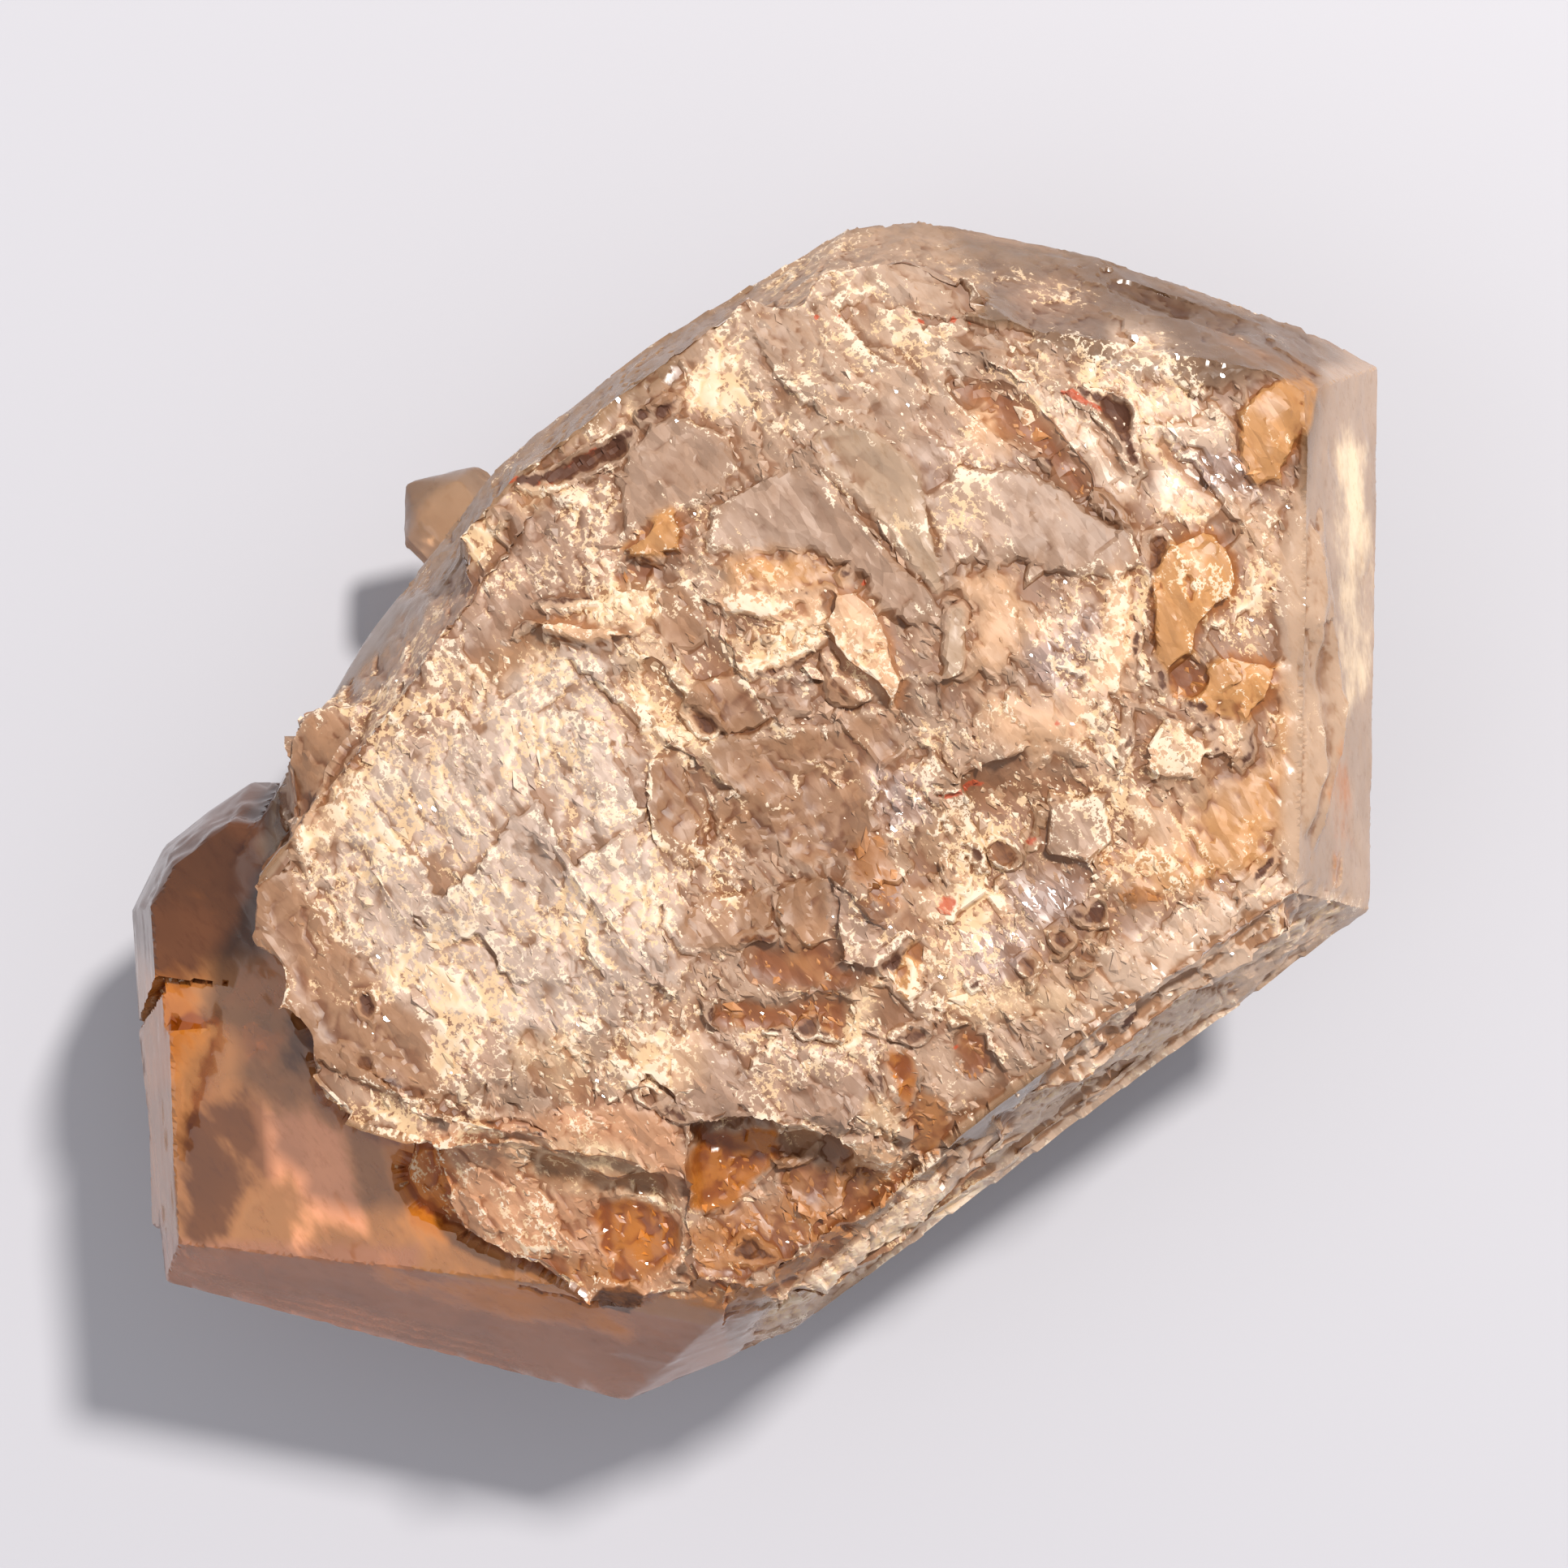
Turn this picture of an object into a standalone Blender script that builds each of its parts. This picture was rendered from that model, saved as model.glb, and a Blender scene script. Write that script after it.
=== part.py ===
"""Skeletal quartz: a flattened, doubly ended smoky crystal, lying on its flat back.

The crystal is drawn on a plan in millimetres, seen from above, and turned as it is built so that its
length lies along X. Z is up, and z = 0 is the flat back that it rests on. A block is cut by the crystal's
faces, and the clear block is stepped down. Then lumps are joined on, basins are cut, plates and ridges are
joined on, and cracks and pits are cut.
"""

import math
import random

import bmesh
import bpy
from mathutils import Matrix, Vector

MM = 0.001
NAME = "skeletal_quartz"

# Driving dimensions, in millimetres and degrees.
BLOCK_SIZE = (100.0, 100.0, 31.6)
MIDDLE_HEIGHT = 16.0        # of a point well inside the crystal
PLAN_TURN = -36.0           # from the plan's x axis to the crystal's length
PLAN_CENTRE = (-2.0, -0.4)  # the plan point above the origin

# The crystal's widest outline. Each face runs from its corner to the next one. It leans in by "above"
# millimetres for each millimetre of height over the outline, and by "below" under it.
OUTLINE = [
    # corner, above, below
    ((30.8, 21.6, 19.0), 0.46, 0.42),       # right end face
    ((30.5, -6.6, 18.0), 0.34, 0.52),       # long lower right face
    ((0.6, -28.8, 15.0), 0.34, 0.46),
    ((-8.4, -32.7, 14.0), 0.66, 0.42),      # lower strip of the clear block
    ((-32.3, -26.0, 17.2), 0.36, 0.48),     # left end face
    ((-34.1, -13.0, 14.5), 0.12, 0.55),
    ((-27.4, -1.4, 15.5), 0.12, 0.66),      # long upper left faces, which bow out
    ((-21.6, 7.9, 17.5), 0.32, 0.58),
    ((-14.8, 16.7, 18.5), 0.28, 0.50),
    ((-7.0, 22.9, 18.5), 0.32, 0.55),
    ((3.2, 28.9, 18.5), 0.50, 0.48),        # top shoulder
    ((7.2, 29.3, 19.0), 0.60, 0.44),
    ((16.0, 27.2, 20.5), 0.40, 0.50),       # upper right end faces
    ((26.4, 23.8, 20.0), 0.42, 0.46),
]

# Broad faces that close the front: a point on each, and its rise per millimetre along x and y.
FRONT_FACES = [
    ((0.0, 0.0, 31.0), (0.00, 0.02)),
    ((-14.0, 12.0, 29.4), (0.11, -0.15)),
    ((5.0, 25.0, 27.8), (0.02, -0.40)),
    ((22.0, 5.0, 29.8), (-0.12, 0.02)),
    ((0.0, -20.0, 28.6), (-0.04, 0.24)),
    ((-20.0, -4.0, 30.2), (0.10, 0.02)),
]

# The clear block is a step lower than the front, which breaks off above it along a ragged edge.
BLOCK_FACE = ((-27.0, -24.0, 21.8), (0.15, 0.00))
BREAK_EDGE = [(-29.0, 4.0), (-25.6, 0.6), (-24.6, -2.6), (-26.4, -5.0), (-26.5, -7.9), (-25.1, -9.4),
              (-25.3, -11.2), (-23.8, -14.2), (-21.8, -16.8), (-17.9, -18.0), (-13.0, -18.3),
              (-9.0, -19.4), (-4.6, -20.0)]
BREAK_FAR_SIDE = [(-4.4, -45.0), (-50.0, -45.0), (-50.0, 4.0)]

# Each slab: plan outline, height of its top at the outline's middle, rise along x and y, depth, and the
# size of its foot against its top. A foot under 1 leaves the slab's edges hanging over the stone.
LUMPS = {
    "frosted_patch": ([(-23.0, -2.6), (-20.0, 2.4), (-14.6, 5.4), (-8.8, 5.0), (-6.6, 0.6), (-5.4, -5.3),
                       (-5.6, -11.0), (-10.6, -13.4), (-16.1, -13.0), (-22.0, -9.0)],
                      30.7, (0.09, 0.00), 5.0, 1.10),
    "frosted_rise": ([(-16.6, 2.0), (-12.8, 5.2), (-8.6, 4.6), (-7.0, 0.2), (-6.2, -5.8), (-8.6, -9.8),
                      (-12.0, -6.0)], 31.5, (0.04, 0.02), 4.0, 1.12),
    "frosted_fall": ([(-14.6, -6.6), (-9.4, -8.4), (-6.2, -10.6), (-8.0, -14.4), (-13.6, -15.2),
                      (-18.6, -13.2)], 30.3, (0.06, 0.12), 4.0, 1.12),
    "left_lobe": ([(-25.3, 1.0), (-24.6, 3.3), (-22.6, 4.4), (-20.6, 1.4), (-21.6, -3.0), (-24.6, -2.6)],
                  27.6, (0.10, -0.05), 7.0, 1.30),
    "lower_lobe": ([(-18.4, -17.4), (-13.0, -16.6), (-5.6, -17.6), (-4.4, -21.0), (-4.7, -25.2),
                    (-9.6, -26.6), (-12.6, -24.6), (-16.4, -23.0)], 26.4, (0.06, 0.22), 6.0, 1.03),
    "lobe_bulge": ([(-16.0, -18.4), (-11.6, -18.0), (-9.8, -21.6), (-12.4, -23.8), (-15.4, -22.0)],
                   26.8, (0.04, 0.18), 4.0, 1.20),
    "top_shoulder": ([(-1.0, 23.0), (2.0, 25.6), (6.0, 26.8), (9.6, 25.2), (10.4, 21.4), (6.0, 18.6),
                      (0.0, 19.4)], 28.5, (-0.02, -0.34), 6.0, 1.08),
    "flat_plate": ([(7.3, 13.9), (8.6, 16.2), (10.9, 16.5), (13.3, 14.5), (17.0, 13.0), (17.2, 6.4),
                    (13.6, 4.8), (9.2, 5.6), (8.0, 9.4)], 31.2, (0.02, -0.03), 4.0, 1.05),
    "bottom_ledge": ([(-5.6, -13.4), (-0.2, -12.6), (4.6, -13.0), (5.6, -15.2), (3.8, -17.6),
                      (0.6, -17.2), (-4.6, -17.4)], 29.6, (0.00, -0.02), 5.0, 1.04),
    "end_shelf": ([(25.3, 14.6), (26.9, 13.4), (27.4, 9.0), (28.2, 4.0), (27.6, -1.0), (26.0, -4.4),
                   (24.4, -4.0), (24.8, 6.0)], 27.6, (-0.42, 0.03), 6.0, 1.00),
    "corner_ledge": ([(17.6, -6.4), (24.6, -4.6), (25.6, -7.6), (20.6, -10.6), (16.0, -11.4)],
                     28.0, (-0.02, 0.10), 5.0, 1.08),
    "rim_bank": ([(-16.4, 12.2), (-13.4, 15.4), (-7.0, 20.4), (-1.6, 24.4), (-0.4, 22.0), (-6.6, 17.2),
                  (-12.8, 11.4)], 29.0, (0.10, -0.10), 7.0, 1.05),
    "panel_bank": ([(13.4, 4.6), (17.2, 5.2), (17.2, 0.4), (16.0, -2.6), (13.8, -0.6)],
                   31.0, (0.02, 0.05), 4.0, 1.10),
    "crack_bank": ([(9.0, 0.6), (12.8, 2.4), (13.4, 4.8), (9.0, 5.0), (7.4, 2.8)],
                   31.4, (0.00, -0.05), 4.0, 1.12),
}

BASINS = {
    "smoky_panel": ([(-5.2, 1.4), (-0.2, 2.4), (4.0, 2.6), (5.0, -0.6), (3.6, -4.5), (-0.2, -6.6),
                     (-4.4, -6.6), (-5.8, -2.6)], 30.1, (0.00, 0.08), 4.0, 1.20),
    "panel_dip": ([(-3.6, -1.6), (0.4, -0.2), (3.6, -0.4), (2.6, -4.4), (-1.0, -6.0), (-4.0, -5.4)],
                  29.7, (0.08, 0.02), 4.0, 1.25),
    "amber_trough": ([(7.9, 20.6), (9.2, 20.9), (11.6, 18.9), (13.4, 17.0), (15.3, 14.8), (14.3, 13.8),
                      (12.4, 15.4), (9.8, 17.6)], 28.2, (0.00, 0.05), 5.0, 1.45),
    "dome_basin": ([(18.0, 12.6), (19.6, 13.8), (22.6, 12.8), (23.2, 8.6), (21.6, 5.4), (18.4, 4.4),
                    (17.8, 6.4)], 28.7, (-0.08, 0.02), 4.0, 1.22),
    "amber_basin": ([(18.6, 1.4), (22.4, 2.8), (24.2, 0.4), (24.4, -3.4), (20.0, -3.8), (18.0, -1.0)],
                    28.0, (-0.08, 0.04), 4.0, 1.20),
    "upper_basin": ([(17.6, 19.0), (22.2, 19.2), (23.0, 15.4), (19.4, 14.6), (17.8, 16.4)],
                    28.6, (-0.06, -0.06), 4.0, 1.25),
    "lower_basin": ([(-4.5, -17.6), (0.4, -17.6), (3.6, -18.2), (8.6, -15.6), (8.4, -18.6), (3.2, -22.6),
                     (-4.4, -26.6)], 25.2, (-0.02, 0.16), 5.0, 1.15),
    "ledge_basin": ([(-13.0, 9.6), (-6.6, 10.6), (-3.4, 8.0), (1.2, 8.2), (4.6, 5.6), (3.4, 3.2),
                     (-0.4, 2.4), (-5.4, 3.2), (-8.4, 5.4), (-12.8, 7.4)], 29.6, (0.02, 0.02), 4.0, 1.20),
    "rim_valley": ([(-13.4, 12.8), (-11.6, 14.6), (-7.0, 17.2), (-3.4, 19.8), (-1.6, 18.6), (-5.4, 14.6),
                    (-10.6, 11.6)], 28.6, (0.08, -0.08), 4.0, 1.40),
    "boxwork_bed": ([(4.6, -0.6), (7.7, 0.4), (12.9, 1.2), (17.0, -0.6), (17.2, -4.0), (15.6, -8.0),
                     (12.6, -10.2), (8.4, -10.8), (6.8, -7.2), (4.8, -4.8)], 29.7, (-0.04, 0.04), 4.0, 1.15),
}

PLATES = {
    "sail": ([(1.4, 19.9), (4.2, 18.2), (6.4, 15.4), (7.2, 12.2), (7.8, 8.6), (5.2, 11.0), (2.8, 14.6),
              (0.2, 17.7)], 31.3, (0.10, -0.08), 1.8, 0.92),
    "sail_foot": ([(-2.2, 16.4), (0.8, 18.2), (3.0, 15.2), (0.8, 15.2), (-1.2, 15.6)], 30.6, (0.02, 0.06),
                  2.0, 1.05),
    "shell": ([(-5.0, 12.3), (-3.6, 14.4), (-1.4, 15.5), (0.8, 15.0), (3.0, 12.9), (5.4, 9.2), (5.0, 7.8),
               (1.6, 8.6), (-1.6, 9.0), (-3.8, 9.6)], 31.2, (0.00, -0.10), 2.0, 0.90),
    "orange_lens": ([(-8.2, 12.6), (-6.6, 13.7), (-4.8, 13.1), (-5.0, 11.6), (-6.8, 11.0)],
                    30.6, (0.05, -0.20), 2.6, 0.95),
    "upper_ledge": ([(-12.8, 8.9), (-9.4, 9.5), (-6.8, 10.6), (-5.6, 8.4), (-8.4, 7.0), (-10.8, 7.3)],
                    31.0, (0.02, -0.14), 2.6, 0.95),
    "ledge_strip": ([(-4.0, 7.8), (-2.4, 8.6), (1.6, 8.0), (2.2, 7.2), (-0.6, 6.6), (-2.9, 6.8)],
                    31.2, (0.03, -0.20), 1.4, 0.88),
    "cream_plate": ([(-3.6, 6.4), (-1.0, 7.2), (1.5, 7.2), (1.8, 6.2), (-0.3, 5.7), (-2.5, 5.0)],
                    30.9, (0.04, -0.16), 1.4, 0.88),
    "lens_plate": ([(-5.0, 4.9), (-3.2, 5.3), (-0.8, 4.4), (-0.4, 2.7), (-2.4, 2.5), (-4.4, 3.5)],
                   31.2, (-0.02, -0.18), 1.6, 0.88),
    "gray_bar": ([(-1.3, 5.0), (1.3, 5.7), (2.2, 4.3), (1.4, 3.1), (-0.9, 3.3)],
                 31.3, (0.06, -0.05), 1.9, 0.95),
    "flag_plate": ([(1.6, 6.7), (4.4, 8.6), (5.8, 7.1), (5.6, 5.0), (4.6, 3.3), (2.9, 4.5)],
                   32.0, (0.05, -0.08), 1.4, 0.84),
    "peach_panel": ([(8.7, 10.6), (11.4, 10.9), (11.9, 8.2), (11.5, 5.4), (9.2, 5.4), (8.5, 7.4)],
                    31.9, (0.08, 0.02), 1.6, 1.02),
    "peak": ([(2.0, -4.2), (4.4, -5.0), (6.4, -6.5), (4.4, -8.8), (2.3, -11.0), (-0.4, -8.6),
              (-0.8, -5.4)], 31.5, (0.10, 0.02), 2.4, 0.88),
    "rough_plate": ([(17.0, 3.4), (20.1, 3.6), (21.3, 1.5), (20.4, 0.0), (17.3, -0.2), (16.4, 1.8)],
                    30.6, (-0.06, 0.04), 2.4, 1.00),
    "amber_plate": ([(19.3, 6.6), (21.4, 7.2), (23.9, 6.4), (23.3, 4.0), (20.8, 3.3), (19.0, 4.7)],
                    30.1, (-0.04, 0.16), 1.8, 0.92),
    "amber_block": ([(21.0, -0.5), (23.8, -0.3), (25.2, -1.7), (24.3, -3.8), (21.7, -3.9)],
                    29.2, (-0.10, 0.06), 2.4, 0.98),
    "yellow_lens": ([(-24.2, -14.0), (-23.0, -14.2), (-21.8, -16.4), (-22.2, -17.1), (-23.5, -16.0)],
                    25.0, (-0.15, 0.10), 3.4, 1.05),
    "cream_blob": ([(4.2, -15.4), (5.7, -15.2), (6.1, -17.5), (5.5, -19.2), (3.2, -18.7), (3.9, -17.0)],
                   28.6, (0.04, 0.05), 3.4, 1.10),
    "lower_tongue": ([(6.5, -12.8), (8.2, -12.6), (9.4, -15.2), (8.6, -19.0), (7.2, -17.6)],
                     28.2, (0.05, 0.12), 3.4, 1.05),
    "cream_bank": ([(-14.2, -17.0), (-9.2, -17.3), (-5.4, -17.6), (-5.6, -19.8), (-9.0, -20.4),
                    (-12.6, -18.8)], 28.2, (0.03, 0.16), 2.0, 0.98),
    "end_step": ([(25.7, 13.9), (26.7, 12.2), (27.2, 9.6), (26.6, 5.0), (27.3, 1.0), (26.2, -2.6),
                  (24.8, -2.6), (24.6, 10.4)], 28.8, (-0.36, 0.02), 2.0, 0.98),
    "lower_panel": ([(-4.2, -20.8), (-0.6, -19.4), (2.6, -20.6), (0.6, -23.4), (-3.8, -24.8)],
                    25.9, (-0.04, 0.22), 2.2, 1.00),
    "sparkle_step": ([(20.2, 16.4), (23.4, 16.4), (24.2, 14.6), (20.6, 14.2)], 29.8, (0.04, 0.14), 2.0, 0.98),
    "bevel_step": ([(12.6, -12.8), (16.2, -11.0), (22.6, -8.4), (20.6, -10.6), (15.4, -15.0), (11.8, -16.4)],
                   27.2, (-0.06, 0.20), 3.0, 1.06),
}

# Each ridge runs along a path with the top's height and the width of its foot at each point.
RIDGES = {
    "patch_spine": ([(-11.8, -2.4, 31.8), (-9.6, -6.2, 32.0), (-5.8, -10.4, 31.0)], 2.8),
    "patch_crest": ([(-14.0, 5.6, 30.8), (-10.2, 2.6, 32.2), (-7.6, -3.0, 32.2), (-7.0, -6.6, 31.4)], 3.2),
    "patch_vein": ([(-20.8, -3.4, 30.0), (-16.2, -5.8, 31.4), (-12.6, -9.0, 31.2), (-9.6, -12.8, 30.6)], 2.8),
    "patch_side": ([(-20.0, 0.8, 29.8), (-16.8, -1.0, 31.2), (-14.6, -3.6, 31.4)], 2.6),
    "white_band": ([(-3.0, 5.6, 30.6), (-1.0, 3.4, 31.4), (1.6, 2.4, 31.4), (2.6, 1.2, 30.8)], 1.4),
    "shoulder_rib": ([(8.9, 25.4, 25.8), (10.9, 22.9, 28.2), (12.2, 21.4, 29.0)], 1.6),
    "trough_rib": ([(8.0, 22.6, 28.2), (11.0, 20.7, 30.0), (13.0, 19.4, 30.2), (15.4, 18.3, 29.8)], 1.6),
    "peach_rib": ([(8.4, 8.4, 31.9), (8.8, 5.8, 31.9), (7.8, 4.6, 31.8), (7.6, 2.8, 31.2)], 1.4),
    "cream_vein": ([(-4.8, 0.7, 31.0), (-1.6, -1.4, 30.7), (-0.4, -2.4, 30.2)], 1.1),
    "left_crest": ([(-23.4, 2.0, 28.4), (-22.8, -1.4, 28.9), (-25.2, -4.4, 28.4), (-25.6, -7.6, 28.6)], 2.2),
    "bank_crest": ([(-20.4, -12.4, 29.0), (-14.4, -15.2, 29.8), (-8.6, -14.6, 30.4), (-4.6, -16.0, 30.0)],
                   2.4),
    "shoulder_fold_a": ([(-2.6, 22.6, 28.2), (1.2, 20.6, 30.0), (3.0, 18.4, 30.6)], 2.0),
    "shoulder_fold_b": ([(3.0, 25.6, 27.2), (4.8, 22.2, 29.2), (5.8, 19.2, 30.2)], 1.8),
    "corner_crest": ([(16.4, -8.6, 29.0), (20.4, -8.2, 28.9), (24.2, -6.6, 27.6)], 2.2),
    "strip_crest": ([(-2.6, -26.6, 23.0), (1.6, -25.0, 23.8), (6.0, -21.6, 25.4), (11.4, -17.4, 26.8)], 2.2),
    "lobe_crest": ([(-17.6, -19.0, 26.0), (-14.8, -22.6, 25.6), (-10.0, -25.0, 24.8)], 1.8),
}

# Domes, as flattened balls: centre, half sizes along, across and up, and turn on the plan.
DOMES = {
    "oval_dome": ((20.1, 8.6, 28.8), (4.2, 2.2, 1.9), 80.0),
    "pale_dome": ((24.2, 17.4, 27.0), (3.1, 1.9, 2.6), 76.0),
    "orange_dome": ((17.6, -5.6, 28.6), (1.6, 0.9, 1.1), 10.0),
    "lens_dome": ((-6.0, 19.2, 28.6), (1.7, 0.8, 0.9), 30.0),
    "block_bulge": ((-17.0, -20.6, 22.8), (3.2, 2.0, 1.6), -30.0),
}

# Each pit: plan outline of its mouth, height of the mouth, depth, and slide of its floor along x and y.
PITS = {
    "rim_crack": ([(-13.6, 15.0), (-11.2, 15.6), (-9.5, 16.6), (-7.6, 18.0), (-7.4, 16.9), (-9.2, 15.7),
                   (-11.0, 14.9)], 31.0, 6.5, (0.6, -0.6)),
    "rim_hole": ([(-7.4, 18.5), (-6.0, 19.0), (-5.1, 19.8), (-5.6, 18.5), (-7.2, 17.9)], 31.0, 6.0,
                 (0.5, -0.5)),
    "red_hole": ([(13.9, 19.2), (15.4, 18.9), (16.9, 18.4), (17.0, 16.9), (15.8, 16.9), (14.6, 18.0)], 31.0,
                 6.0, (0.8, 1.2)),
    "trough_hole": ([(12.8, 16.2), (13.6, 16.1), (13.3, 15.2), (12.7, 15.5)], 31.0, 5.0, (0.2, 0.8)),
    "long_crack": ([(17.9, 13.0), (18.8, 12.6), (18.5, 10.4), (17.9, 8.8), (17.3, 6.0), (16.7, 6.2),
                    (17.2, 8.9), (17.9, 10.6)], 31.0, 5.5, (-0.8, 0.0)),
    "crack_a": ([(17.4, 4.2), (16.9, 2.4), (16.6, 0.0), (16.0, 0.1), (16.2, 2.5), (16.8, 4.3)], 32.0, 5.0,
                (0.3, 0.0)),
    "crack_b": ([(17.2, 4.3), (20.2, 4.2), (21.5, 3.0), (21.9, 1.2), (21.2, 1.2), (20.9, 2.7),
                 (19.9, 3.6), (17.3, 3.7)], 32.0, 5.0, (-0.3, -0.4)),
    "crack_c": ([(22.6, 3.5), (23.4, 3.1), (23.5, 1.4), (22.8, 0.4), (22.3, 0.9), (22.8, 2.0)], 31.0, 5.0,
                (0.4, 0.0)),
    "red_crack": ([(7.8, 0.5), (10.0, 0.8), (12.6, 2.2), (12.9, 1.8), (10.1, 0.1), (7.9, -0.1)], 32.0, 4.0,
                  (-0.3, 0.4)),
    "slit_up": ([(-12.9, 9.5), (-11.0, 9.5), (-9.2, 9.7), (-9.3, 9.1), (-11.0, 8.8), (-12.8, 9.0)], 31.5, 4.5,
                (0.2, -0.8)),
    "slit_down": ([(-12.6, 8.2), (-10.7, 7.4), (-8.4, 7.1), (-8.4, 6.5), (-10.8, 6.7), (-12.8, 7.7)], 31.5,
                  4.5, (0.2, 0.8)),
    "lens_cave": ([(-5.3, 4.1), (-4.4, 3.9), (-2.6, 2.7), (-3.5, 2.2), (-4.9, 3.1)], 31.5, 5.0, (0.3, 0.8)),
    "flag_notch": ([(2.4, 10.4), (3.3, 10.8), (3.7, 10.3), (2.7, 9.9)], 32.0, 4.0, (0.3, -0.5)),
    "long_gap": ([(-2.9, -11.6), (-0.2, -11.6), (1.9, -11.0), (1.7, -11.7), (-0.2, -12.4), (-2.7, -12.3)],
                 32.0, 6.0, (0.2, 0.8)),
    "low_gap": ([(5.2, -11.8), (7.6, -11.9), (7.5, -12.8), (5.5, -12.8)], 31.5, 6.0, (0.2, 0.8)),
    "peak_wedge": ([(4.4, -9.0), (6.2, -7.0), (6.8, -7.6), (5.6, -9.8), (4.0, -11.4), (3.2, -11.2)], 32.0,
                   5.5, (-0.8, 0.6)),
    "bevel_slot_a": ([(17.0, -11.6), (18.0, -11.6), (18.0, -12.8), (17.0, -12.6)], 30.0, 7.0, (-0.6, 0.8)),
    "bevel_slot_b": ([(15.7, -13.0), (16.8, -12.9), (16.7, -14.0), (15.8, -13.9)], 30.0, 7.0, (-0.6, 0.8)),
    "end_pit": ([(23.6, -3.8), (24.6, -3.6), (24.1, -4.8), (22.7, -5.8), (22.2, -5.3)], 31.0, 6.0,
                (-0.2, 0.8)),
    "end_pit_low": ([(27.9, -3.4), (28.9, -3.3), (28.9, -5.7), (28.0, -5.8)], 28.0, 7.0, (-0.4, 0.2)),
    "left_hole": ([(-21.1, -10.2), (-20.1, -10.4), (-20.0, -11.7), (-20.9, -11.7)], 32.0, 6.0, (0.0, 0.8)),
    "left_cave": ([(-25.6, -11.8), (-24.8, -11.2), (-23.6, -12.5), (-23.6, -14.5), (-25.2, -14.4)], 30.0,
                  8.5, (0.8, 0.4)),
    "left_groove": ([(-22.1, -12.7), (-20.7, -13.2), (-17.8, -15.1), (-14.6, -16.5), (-14.8, -17.2),
                     (-18.3, -15.9), (-21.0, -13.9), (-22.2, -13.4)], 31.0, 5.5, (0.3, 0.5)),
    "open_crack": ([(-7.7, -14.6), (-6.2, -15.4), (-4.5, -16.4), (-4.8, -17.0), (-6.5, -16.1),
                    (-7.8, -15.2)], 31.0, 5.5, (0.3, 0.5)),
    "lobe_cavity": ([(-10.0, -25.3), (-8.5, -25.2), (-6.6, -26.0), (-7.0, -27.5), (-9.5, -27.3)], 27.0, 7.0,
                    (0.0, 1.2)),
    "low_cavity": ([(-2.8, -23.4), (0.5, -23.7), (0.3, -24.9), (-2.6, -24.7)], 26.5, 5.5, (0.0, 0.9)),
    "lobe_groove": ([(-22.4, 0.9), (-21.8, 0.6), (-22.6, -1.6), (-23.6, -3.4), (-24.2, -3.2),
                     (-23.2, -1.4)], 30.5, 4.5, (0.3, 0.3)),
    "window_a": ([(-4.7, -17.0), (-1.4, -16.9), (-0.1, -17.3), (-0.7, -19.3), (-2.7, -21.2),
                  (-4.6, -21.2)], 30.0, 6.2, (0.0, 0.4)),
    "window_b": ([(-9.7, -21.3), (-8.0, -20.6), (-6.0, -20.9), (-6.2, -23.4), (-7.6, -24.0), (-9.3, -23.4)],
                 28.0, 4.6, (0.0, 0.4)),
    "hole_1": ([(7.7, -3.9), (8.7, -4.0), (8.6, -5.0), (7.6, -4.9)], 32.0, 4.6, (0.2, 0.3)),
    "hole_2": ([(9.0, -3.0), (11.4, -2.3), (11.2, -3.4), (9.9, -4.4), (9.0, -4.0)], 32.0, 4.8, (0.2, 0.4)),
    "hole_3": ([(12.8, -0.4), (14.3, -0.3), (14.1, -1.2), (12.9, -1.2)], 32.0, 4.4, (0.2, 0.4)),
    "hole_4": ([(11.1, -8.0), (12.5, -8.0), (12.6, -9.7), (11.2, -9.8)], 32.0, 4.8, (0.2, 0.4)),
    "hole_5": ([(12.9, -6.9), (14.5, -6.7), (15.8, -5.7), (15.9, -6.7), (14.1, -8.0), (12.9, -7.9)], 32.0,
               4.8, (0.2, 0.4)),
    "hole_6": ([(8.3, -9.2), (9.2, -9.3), (9.1, -10.2), (8.3, -10.1)], 32.0, 4.6, (0.2, 0.4)),
    "hole_7": ([(10.9, 4.2), (11.8, 4.1), (11.6, 3.4), (10.8, 3.5)], 32.5, 3.6, (0.1, 0.3)),
}

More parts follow.
